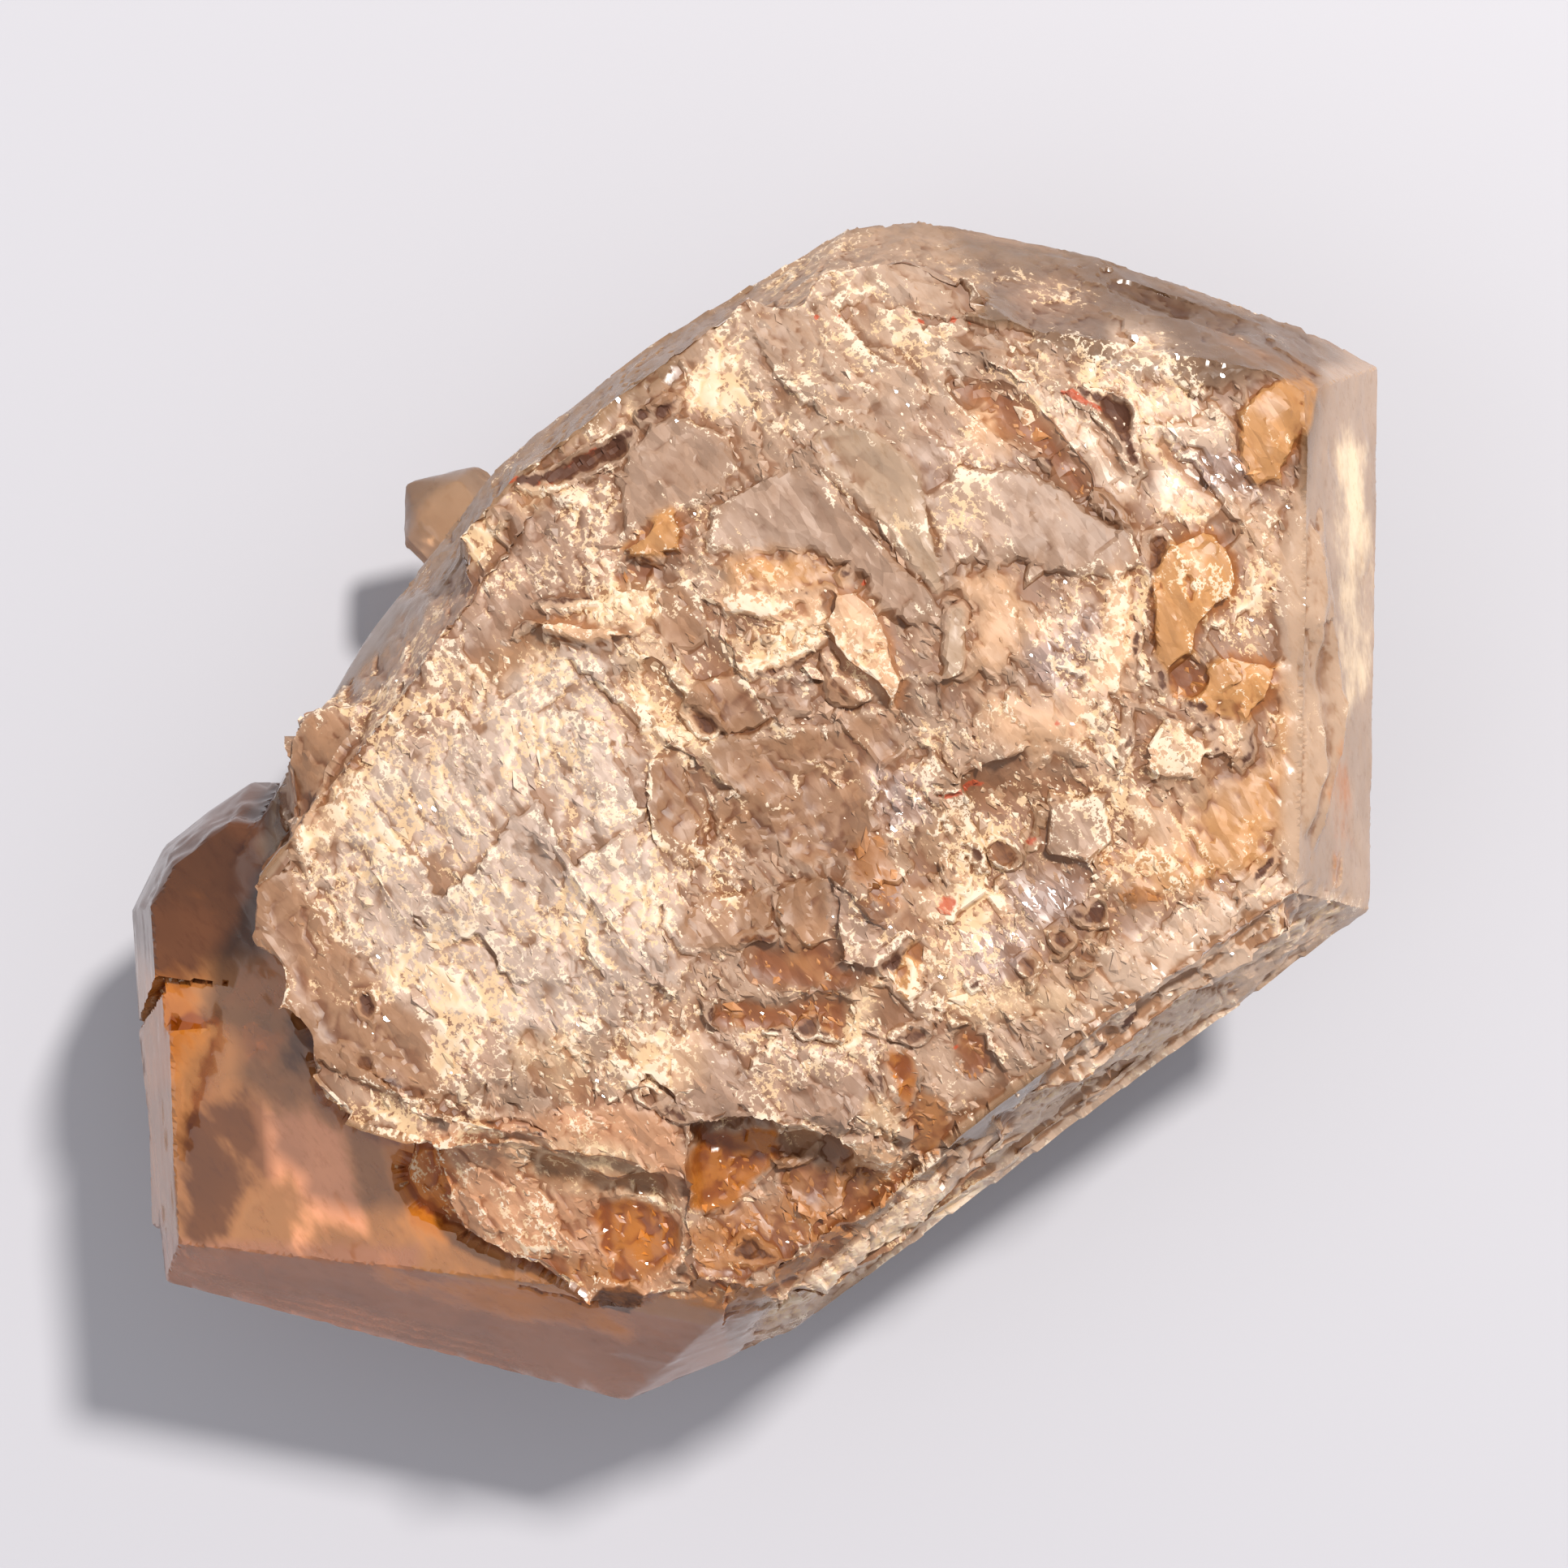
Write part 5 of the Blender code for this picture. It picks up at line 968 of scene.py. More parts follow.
LEDGES: list[Ledge] = [
    Ledge([(-2.4, 20.0), (0.6, 19.2), (3.0, 19.6), (5.6, 18.2)], 0.30, reach=1.6),
    Ledge([(12.6, 21.6), (10.2, 21.6), (8.0, 22.6), (6.0, 23.4)], 0.35, reach=1.2, shade=0.2),
    Ledge([(15.0, 19.2), (12.2, 20.4), (9.2, 21.4), (7.2, 22.6)], 0.45, reach=1.0, crust=0.3, shade=0.3),
    Ledge([(0.4, 15.7), (-1.4, 15.1), (-2.8, 14.3), (-3.7, 13.3)], 0.40, reach=1.2, crust=0.35),
    Ledge([(7.8, 9.0), (7.5, 11.6), (7.0, 14.0), (6.3, 15.8), (5.0, 17.6)], 0.35, reach=1.4, crust=0.35),
    Ledge([(5.3, 10.8), (4.2, 12.8), (2.6, 15.0), (1.4, 17.4)], 0.25, reach=1.2, crust=0.2),
    Ledge([(3.4, 17.4), (5.0, 15.4), (6.0, 13.4), (7.0, 11.0)], 0.10, reach=0.8),
    Ledge([(-5.9, 10.2), (-4.6, 9.6), (-3.6, 8.6), (-3.0, 9.8)], 0.35, reach=1.0, crust=0.6),
    Ledge([(-9.0, 6.4), (-7.4, 6.4), (-6.0, 5.4), (-4.2, 3.6)], 0.40, reach=1.0, crust=0.5),
    Ledge([(-3.6, 6.8), (-2.6, 5.4), (-1.6, 4.2), (-0.6, 2.8), (0.6, 1.9)], 0.45, reach=0.7, crust=0.9),
    Ledge([(-6.6, 2.2), (-4.9, 1.2), (-3.6, 0.4), (-2.2, -0.6), (-1.2, -1.6)],
          0.45, reach=1.0, crust=0.8, shade=0.4),
    Ledge([(-6.8, 2.0), (-6.7, -0.4), (-6.6, -2.4), (-5.9, -4.2)], 0.35, reach=1.0, crust=0.9),
    Ledge([(-6.0, -2.8), (-4.6, -3.2), (-3.6, -4.6), (-2.2, -4.9), (-0.6, -4.2)],
          0.30, reach=0.9, crust=0.7),
    Ledge([(-14.0, -1.6), (-12.0, -3.0), (-10.2, -5.4), (-8.4, -7.6), (-6.8, -9.6), (-4.6, -11.2)],
          0.40, reach=1.2, crust=0.5, shade=0.2),
    Ledge([(-12.6, -9.4), (-11.2, -9.9), (-9.8, -9.8), (-8.8, -8.8)], 0.30, reach=0.8, crust=0.4, shade=0.3),
    Ledge([(-20.8, -3.4), (-20.0, -5.4), (-18.6, -7.0), (-17.0, -6.6)], 0.30, reach=1.0, crust=0.8),
    Ledge([(-22.0, 1.2), (-20.4, 2.8), (-17.6, 4.0), (-16.0, 4.4)], 0.35, reach=1.0, crust=0.2, shade=0.2),
    Ledge([(-17.6, -15.6), (-19.2, -14.7), (-20.8, -13.6), (-22.2, -12.8)], 0.45, reach=1.0, shade=0.4),
    Ledge([(-12.2, -17.5), (-14.8, -16.9), (-16.6, -16.2), (-18.0, -15.4)],
          0.40, reach=1.0, crust=0.6, shade=0.3),
    Ledge([(6.4, -7.2), (4.6, -6.1), (3.4, -4.9), (2.0, -3.9)], 0.30, reach=0.7, crust=0.6),
    Ledge([(4.3, -2.4), (4.6, -0.8), (4.8, 0.6), (6.4, 2.0), (8.0, 0.6)], 0.30, reach=0.9, crust=0.4),
    Ledge([(7.8, -0.5), (9.2, 0.0), (10.6, 0.7), (12.4, 1.8)], 0.45, reach=1.2, crust=0.2, shade=0.5),
    Ledge([(7.9, 2.6), (8.0, 4.8), (8.8, 5.3), (8.9, 8.4)], 0.35, reach=0.6, crust=0.6),
    Ledge([(0.4, -10.3), (2.4, -10.3), (3.4, -11.0), (3.0, -12.6)], 0.25, reach=0.6, crust=0.5),
    Ledge([(4.2, -15.4), (2.4, -17.2), (0.0, -18.4), (-1.6, -16.8), (-4.0, -16.4)],
          0.35, reach=0.9, crust=0.5),
    Ledge([(-5.1, -24.0), (-4.9, -21.2), (-5.0, -19.2), (-4.5, -17.9), (-4.9, -16.9)],
          0.45, reach=0.6, crust=0.5, shade=0.2),
    Ledge([(22.6, 14.4), (21.0, 13.6), (19.4, 12.9), (18.8, 12.2)], 0.30, reach=1.0, crust=0.4),
    Ledge([(25.1, 13.0), (26.0, 13.4), (26.6, 12.6), (27.0, 11.6)], 0.20, reach=1.4),
    Ledge([(22.2, 19.2), (20.6, 17.9), (18.4, 18.0), (17.2, 18.0)], 0.30, reach=1.0, crust=0.3),
    Ledge([(13.4, -3.9), (14.8, -4.2), (15.2, -5.0), (16.4, -5.6)], 0.30, reach=0.8, crust=0.3),
    Ledge([(17.6, -8.6), (16.2, -7.2), (15.6, -4.8)], 0.30, reach=0.8, crust=0.4),
]

FLOW_HEADING = math.radians(-52.0)      # the way that the front's breaks and ribs run, on the plan

# Veins, hairline cracks and stained lines.
LINES: list[Line] = [
    Line([(-4.6, 0.8), (-1.6, -1.2), (-0.2, -2.0), (1.4, -1.6), (3.6, 0.4)], 0.20, rise=0.08, crust=0.6),
    Line([(0.0, 0.8), (1.4, 1.2), (2.2, 0.4), (3.2, 1.4)], 0.18, rise=0.08, crust=0.6),
    Line([(-1.0, -1.0), (0.4, -1.0), (0.6, 0.4), (2.0, 1.4)], 0.25, rise=0.10, crust=0.7),
    Line([(0.2, -3.8), (0.6, -2.4), (1.6, -2.6)], 0.30, rise=0.12, crust=0.6),
    Line([(4.3, -1.0), (4.6, -0.2), (5.0, 0.4)], 0.25, rise=0.12, crust=0.7),
    Line([(-0.4, -5.8), (-0.1, -6.8), (-0.2, -8.0)], 0.18, rise=0.10, crust=0.7),
    Line([(17.9, 10.2), (17.6, 8.4), (17.5, 6.4), (17.9, 5.0)], 0.26, rise=0.18, crust=1.0),
    Line([(6.1, -8.6), (6.3, -9.6), (6.1, -10.4)], 0.16, rise=0.12, crust=0.9),
    Line([(11.4, 15.75), (12.6, 15.45)], 0.10, rise=-0.10, dark=0.5, rust=0.5),
    Line([(1.8, 15.9), (2.2, 15.4), (3.1, 14.9)], 0.10, rise=-0.15, dark=0.6, rust=0.3),
    Line([(4.4, 9.2), (4.7, 8.4)], 0.10, rise=-0.15, dark=0.5, rust=0.3),
    Line([(7.8, -0.6), (8.6, -0.5), (9.2, 0.0), (9.9, 0.1)], 0.14, rise=-0.20, dark=0.5, rust=1.0),
    Line([(-20.7, -13.4), (-19.4, -14.6), (-17.6, -15.5), (-15.6, -16.4), (-12.0, -17.3)],
         0.13, rise=-0.35, dark=0.9, rust=0.3),
    Line([(8.6, 25.6), (10.4, 23.0), (12.4, 21.4)], 0.20, rise=-0.15, dark=0.35),
    Line([(9.4, 24.8), (11.0, 23.0), (12.9, 22.0)], 0.14, rise=0.12, crust=0.4),
    Line([(-13.6, 14.9), (-11.6, 15.1), (-10.4, 15.8), (-9.2, 16.3)], 0.22, rise=0.0, rust=0.9),
    Line([(13.8, 19.15), (14.7, 18.95), (15.4, 18.65), (16.2, 18.5)], 0.16, rise=0.0, rust=1.0, dark=0.2),
    Line([(17.3, 18.0), (19.6, 17.9), (21.0, 17.3)], 0.10, rise=-0.12, dark=0.3),
    Line([(-7.0, 16.0), (-6.4, 15.0), (-6.0, 14.2)], 0.10, rise=0.08, crust=0.6),
    Line([(-13.4, -25.6), (-11.4, -26.0), (-9.8, -26.6)], 0.12, rise=-0.20, dark=0.8),
    Line([(-0.6, -20.4), (-0.2, -20.1), (0.0, -20.6)], 0.14, rise=0.1, crust=0.6),
]

RUST_SPECKS: list[tuple[float, float, float]] = [
    (-0.9, 23.3, 0.16), (1.6, 23.2, 0.12), (2.7, 23.2, 0.16), (4.8, 23.1, 0.16), (6.8, 23.0, 0.20),
    (8.4, 23.0, 0.24), (9.2, 22.8, 0.16), (8.1, -5.9, 0.45), (3.9, 9.9, 0.2), (13.4, 3.0, 0.2),
    (8.5, -13.0, 0.2), (12.2, -2.8, 0.3),
]

# Small clean crystals that flash in the light: place on the plan and width.
SPARKLES: list[tuple[float, float, float]] = [
    (-8.2, 19.0, 0.42), (-13.1, 15.8, 0.26), (-15.1, 13.4, 0.26), (-5.3, 17.9, 0.24), (-4.4, 13.3, 0.24),
    (5.5, 19.3, 0.22), (6.1, 18.6, 0.24), (7.0, 21.8, 0.18), (15.1, 20.4, 0.2), (17.5, 22.1, 0.55),
    (19.4, 21.2, 0.22), (21.6, 20.1, 0.30), (13.8, 9.9, 0.24), (13.6, 9.1, 0.2), (12.1, 6.3, 0.22),
    (22.5, 15.6, 0.50), (21.4, 15.2, 0.30), (24.9, 13.7, 0.22), (23.1, 8.1, 0.20), (22.5, 7.4, 0.16),
    (5.4, -2.2, 0.42), (5.7, -1.4, 0.32), (6.6, -0.7, 0.20), (11.9, -5.9, 0.32), (13.3, -5.3, 0.2),
    (11.3, -7.4, 0.22), (7.7, -9.5, 0.34), (5.2, -7.0, 0.20), (2.4, -6.5, 0.20), (-18.0, 5.7, 0.20),
    (-17.2, -1.2, 0.44), (-17.9, -1.1, 0.24), (-20.0, -8.5, 0.26), (-19.6, -11.6, 0.40), (-16.4, -14.2, 0.26),
    (-10.1, -11.8, 0.22), (-9.2, -14.6, 0.22), (-8.9, -15.4, 0.18), (-6.5, -29.1, 0.36), (6.1, -22.0, 0.40),
    (-1.7, -27.6, 0.30), (22.2, -8.4, 0.24), (21.6, -4.8, 0.2), (-28.7, -5.9, 0.50), (2.2, 3.7, 0.34),
    (-6.9, -24.1, 0.2), (-10.9, -24.5, 0.26), (-31.9, -13.5, 0.3),
]


def distance_to_path(points: np.ndarray, path: list[Point], closed: bool) -> tuple[np.ndarray, np.ndarray]:
    """Measure how far plan points lie from a path.

    Args:
        points: Plan points, one row each.
        path: The path's corners.
        closed: Whether the last corner joins the first.

    Returns:
        The distance of each point, and whether it lies inside the closed path, or left of the open one.
    """
    nearest = np.full(len(points), 1e9)
    inside = np.zeros(len(points), dtype=bool)
    ends = path[1:] + path[:1] if closed else path[1:]
    for (ax, ay), (bx, by) in zip(path, ends):
        dx, dy = bx - ax, by - ay
        along = ((points[:, 0] - ax) * dx + (points[:, 1] - ay) * dy) / (dx * dx + dy * dy)
        along = np.clip(along, 0.0, 1.0)
        gap = np.hypot(points[:, 0] - ax - along * dx, points[:, 1] - ay - along * dy)
        if closed:
            if dy != 0.0:
                crosses = ((ay > points[:, 1]) != (by > points[:, 1]))
                inside ^= crosses & (points[:, 0] < dx * (points[:, 1] - ay) / dy + ax)
        else:
            left = dx * (points[:, 1] - ay) - dy * (points[:, 0] - ax) > 0.0
            inside = np.where(gap < nearest, left, inside)
        nearest = np.minimum(nearest, gap)
    return nearest, inside


def depth_inside(points: np.ndarray, outline: list[Point]) -> np.ndarray:
    """Return how far inside an outline plan points lie, which is negative outside it."""
    gap, inside = distance_to_path(points, outline, closed=True)
    return np.where(inside, gap, -gap)


@dataclass
class SurfaceMap:
    """The finish and the lift of each vertex, from the zones, the cavities, the ledges and the lines."""

    plan: np.ndarray            # plan positions of the vertices
    normals: np.ndarray
    on_face: np.ndarray         # 1 on the crystal's broad flat faces
    flat: np.ndarray = field(init=False)        # plan positions with no height
    colour: np.ndarray = field(init=False)
    stain: np.ndarray = field(init=False)       # colour of the clouds within the stone
    values: dict[str, np.ndarray] = field(init=False)

    KEYS = ("glass", "rough", "relief", "crust", "grain")
    # dark holds painted shade, and amber painted warm light
    EXTRAS = ("lift", "carve", "dark", "amber", "rust", "sparkle", "cloud")

    def __post_init__(self) -> None:
        """Start with the plain finishes: glassy faces, and frosted stone where it is broken."""
        count = len(self.plan)
        self.colour = np.tile(np.array(linear(*Finish.FACE.value.colour)), (count, 1))
        self.values = {key: np.full(count, getattr(Finish.FACE.value, key)) for key in self.KEYS}
        self.values.update({key: np.zeros(count) for key in self.EXTRAS})
        self.flat = self.plan * np.array((1.0, 1.0, 0.0))
        self.stain = np.tile(np.array(linear(*Finish.GOLDEN.value.colour)), (count, 1))
        self._lay(Finish.FROST.value, 1.0 - self.on_face)

    def _lay(self, surface: Surface, share: np.ndarray) -> None:
        """Blend one kind of surface in by its share at each vertex.

        Args:
            surface: The kind of surface.
            share: 0 to 1 for each vertex.
        """
        self.colour += (np.array(linear(*surface.colour)) - self.colour) * share[:, None]
        for key in self.KEYS:
            self.values[key] += (getattr(surface, key) - self.values[key]) * share

    def _near(self, path: list[Point], reach: float, lowest: float) -> np.ndarray:
        """Return the numbers of the vertices that face up within reach of a path's box.

        Args:
            path: The path's corners.
            reach: How far outside its box, in millimetres.
            lowest: Height over which a vertex counts.

        Returns:
            The vertex numbers.
        """
        corners = np.array(path)
        near = np.all((self.plan[:, :2] > corners.min(axis=0) - reach)
                      & (self.plan[:, :2] < corners.max(axis=0) + reach), axis=1)
        return np.nonzero(near & (self.plan[:, 2] > lowest) & (self.normals[:, 2] > -0.2))[0]

    def _raise(self, key: str, chosen: np.ndarray, share: np.ndarray) -> None:
        """Raise one of the values of some vertices to a share, where it lies under it."""
        self.values[key][chosen] = np.maximum(self.values[key][chosen], share)

    def _pushed(self, points: np.ndarray, grain: Grain, size: float, start: float,
                apart: float) -> np.ndarray:
        """Push plan points about by up to 0.3 mm or so, so that a path drawn over them looks ragged.

        Args:
            points: The plan points.
            grain: The field that pushes them.
            size: Size of its bumps.
            start: How far off it is read, which differs from path to path.
            apart: How much further off it is read for the second axis.

        Returns:
            The pushed points.
        """
        pushed = points.copy()
        for axis in (0, 1):
            pushed[:, axis] += grain.cloudy(points + apart * axis + start, size, 3) * 0.30
        return pushed

    def paint_front(self) -> None:
        """Lay everything that the front has."""
        self.paint_zones(FRONT_ZONES)
        self.paint_ledges(LEDGES)
        self.paint_lines(LINES)
        self.paint_cavities(CAVITIES)

    def paint_zones(self, zones: list[Zone]) -> None:
        """Lay each zone over what is there.

        Args:
            zones: The zones, from the lowest layer to the highest.
        """
        wander = Grain(5)
        for number, zone in enumerate(zones):
            chosen = self._near(zone.outline, zone.edge + zone.wobble + 0.6, zone.lowest)
            points = self.flat[chosen]
            gap = depth_inside(points, zone.outline)
            gap += wander.cloudy(points + 3.1 * number, 1.3, 3) * zone.wobble
            soft = zone.edge * (0.5 if zone.rise is not None else 1.3)
            share = ramp(gap, -soft, soft) * 0.9
            share *= ramp(self.plan[chosen, 2], zone.lowest, zone.lowest + 1.5)
            full = np.zeros(len(self.plan))
            full[chosen] = share
            self._lay(zone.finish.value, full)
            if zone.rise is not None:
                self._level(zone, chosen, gap)
            if zone.rim:
                self._raise("crust", chosen, np.exp(-(gap / 0.22) ** 2) * zone.rim)
            if zone.finish is Finish.DRUSY:
                self.values["sparkle"] = np.maximum(self.values["sparkle"], full)

    def _level(self, zone: Zone, chosen: np.ndarray, gap: np.ndarray) -> None:
        """Give a zone its own plane, with a crisp step round it, or a gentle one round plates.

        Args:
            zone: The zone.
            chosen: The numbers of the vertices near it.
            gap: How far inside it they lie.
        """
        gentle = zone.finish in (Finish.PLATE, Finish.SMOKY)
        offset = self.plan[chosen, :2] - np.mean(zone.outline, axis=0)
        plane = zone.rise + offset @ np.array(zone.tilt)
        if zone.finish is Finish.HONEY:
            plane += 0.4 * ramp(gap, 0.0, 1.8)
        plane *= 0.6 if gentle else 1.0
        reach = 0.7 if gentle else 0.16
        self.values["lift"][chosen] += (plane - self.values["lift"][chosen]) * ramp(gap, -reach, reach)

    def paint_ledges(self, ledges: list[Ledge]) -> None:
        """Raise the stone behind each broken edge and paint shadow along the foot of the edge."""
        uneven = Grain(13)
        for number, ledge in enumerate(ledges):
            chosen = self._near(ledge.path, ledge.reach * 2.0 + 0.6, 22.0)
            points = self._pushed(self.flat[chosen], uneven, 1.2, 3.0 * number, 60.0)
            gap, left = distance_to_path(points, ledge.path, closed=False)
            side = np.where(left, gap, -gap)
            ends = (ledge.path[0], ledge.path[-1])
            to_ends = [np.hypot(*(points[:, :2] - np.array(end)).T) for end in ends]
            taper = ramp(np.minimum(*to_ends), 0.0, 1.3)
            up = ramp(side, -0.14, 0.14) * np.exp(-(np.maximum(side, 0.0) / ledge.reach) ** 2)
            self.values["lift"][chosen] += up * taper * ledge.rise
            self._raise("crust", chosen, np.exp(-((side - 0.12) / 0.22) ** 2) * taper * ledge.crust)
            # painted shadow at the foot of the edge
            self._raise("dark", chosen, np.exp(-((side + 0.16) / 0.14) ** 2) * taper * ledge.shade)

    def paint_cavities(self, cavities: list[Cavity]) -> None:
        """Sink the holes and open cracks, with painted shade at the bottom and painted warm light up their
        walls.
        """
        uneven = Grain(19)
        for number, cavity in enumerate(cavities):
            chosen = self._near(cavity.outline, 0.8, 16.0)
            points = self.flat[chosen]
            gap = depth_inside(points, cavity.outline)
            gap += uneven.cloudy(points + 2.3 * number, 0.6, 3) * (cavity.wobble + 0.12)
            self.values["lift"][chosen] -= 0.50 * cavity.depth * ramp(gap, -0.06, 0.40)
            # painted shade at the bottom of each cavity
            self._raise("dark", chosen, ramp(gap, -0.07, 0.14) * (1.0 - 0.45 * cavity.amber))
            # painted warm light up the walls
            self._raise("amber", chosen, ramp(gap, -0.04, 0.22) * (0.35 + cavity.amber))
            around = ramp(gap, -0.28, 0.02)
            self.values["rough"][chosen] += (0.70 - self.values["rough"][chosen]) * around
            for key in ("crust", "relief"):
                self.values[key][chosen] *= 1.0 - 0.6 * around

    def paint_lines(self, lines: list[Line]) -> None:
        """Cut the hairline cracks, with painted shade in them, and raise the veins."""
        uneven = Grain(11)
        for number, line in enumerate(lines):
            chosen = self._near(line.path, line.width * 3.0 + 0.8, 22.0)
            points = self.flat[chosen]
            gap, _ = distance_to_path(self._pushed(points, uneven, 1.3, 3.0 * number, 50.0), line.path,
                                      closed=False)
            width = line.width * (1.0 + line.ragged * uneven.cloudy(points + 9.0, 0.9, 2))
            share = np.exp(-(gap / np.maximum(width, 0.05)) ** 2)
            self.values["carve"][chosen] += share * line.rise
            # crust and rust are stains; dark is painted shade in the crack
            for key, amount in (("crust", line.crust), ("dark", line.dark), ("rust", line.rust)):
                self._raise(key, chosen, share * amount)

    def paint_specks(self, specks: list[tuple[float, float, float]]) -> None:
        """Add the small rusty specks, each with its place and radius."""
        for x, y, radius in specks:
            gap = np.hypot(self.plan[:, 0] - x, self.plan[:, 1] - y)
            spot = np.exp(-(gap / radius) ** 2) * (self.plan[:, 2] > 20.0) * (self.normals[:, 2] > 0.3)
            self.values["rust"] = np.maximum(self.values["rust"], spot)

    def paint_depths(self, depth: np.ndarray) -> None:
        """Paint a warm glow of light into the deeper hollows of the broken front, and keep crust out of them.

        Args:
            depth: How deep each vertex lies under its surroundings, in millimetres.
        """
        sunk = ramp(depth, 0.5, 1.6) * (1.0 - self.on_face) * ramp(self.plan[:, 2], 14.0, 18.0)
        # painted warm light in the hollows
        self.values["amber"] = np.maximum(self.values["amber"], 0.4 * sunk)
        self.values["crust"] *= 1.0 - 0.8 * sunk

    def paint_sides(self) -> None:
        """Stain the clear block, the left lobe and the lower strip, which lie lower than the front."""
        x, y, z = self.plan.T
        block = ramp(-y, 3.0, 6.0) * (1.0 - ramp(z, 24.5, 26.0)) * (x < -3.0) * self.on_face
        self._lay(Finish.BLOCK.value, block)
        # the strip's pink tint is a painted reflection
        strip = ramp(-y - 0.02 * x, 23.6, 24.2) * (1.0 - ramp(x, -6.0, 0.0)) * self.on_face
        self._lay(Finish.STRIP.value, strip * (z < 23.0))
        lobe = ramp(-x, 25.6, 27.0) * ramp(y, -10.5, -8.0) * (1.0 - ramp(z, 23.0, 24.5))
        self._lay(Finish.UMBER.value, lobe)
        right = ramp(x, 28.0, 29.5) * self.on_face
        self._lay(Finish.END.value, right * 0.6)
        small_crystal = (x < -13.0) * (y > 11.0) * (1.0 - ramp(z, 14.0, 18.0))
        self._lay(Finish.FACE.value, small_crystal)

    def paint_clouds(self, clouds: list[Cloud]) -> None:
        """Stain the clear parts within, in soft clouds."""
        for cloud in clouds:
            chosen = self._near(cloud.outline, 3.0, cloud.lowest)
            share = ramp(depth_inside(self.flat[chosen], cloud.outline), -1.6, 1.6)
            colour = np.array(linear(*cloud.finish.value.colour))
            self.stain[chosen] += (colour - self.stain[chosen]) * np.minimum(share * 4.0, 1.0)[:, None]
            self._raise("cloud", chosen, share)


# ------------------------------------------------------------------------------------------ front sheet


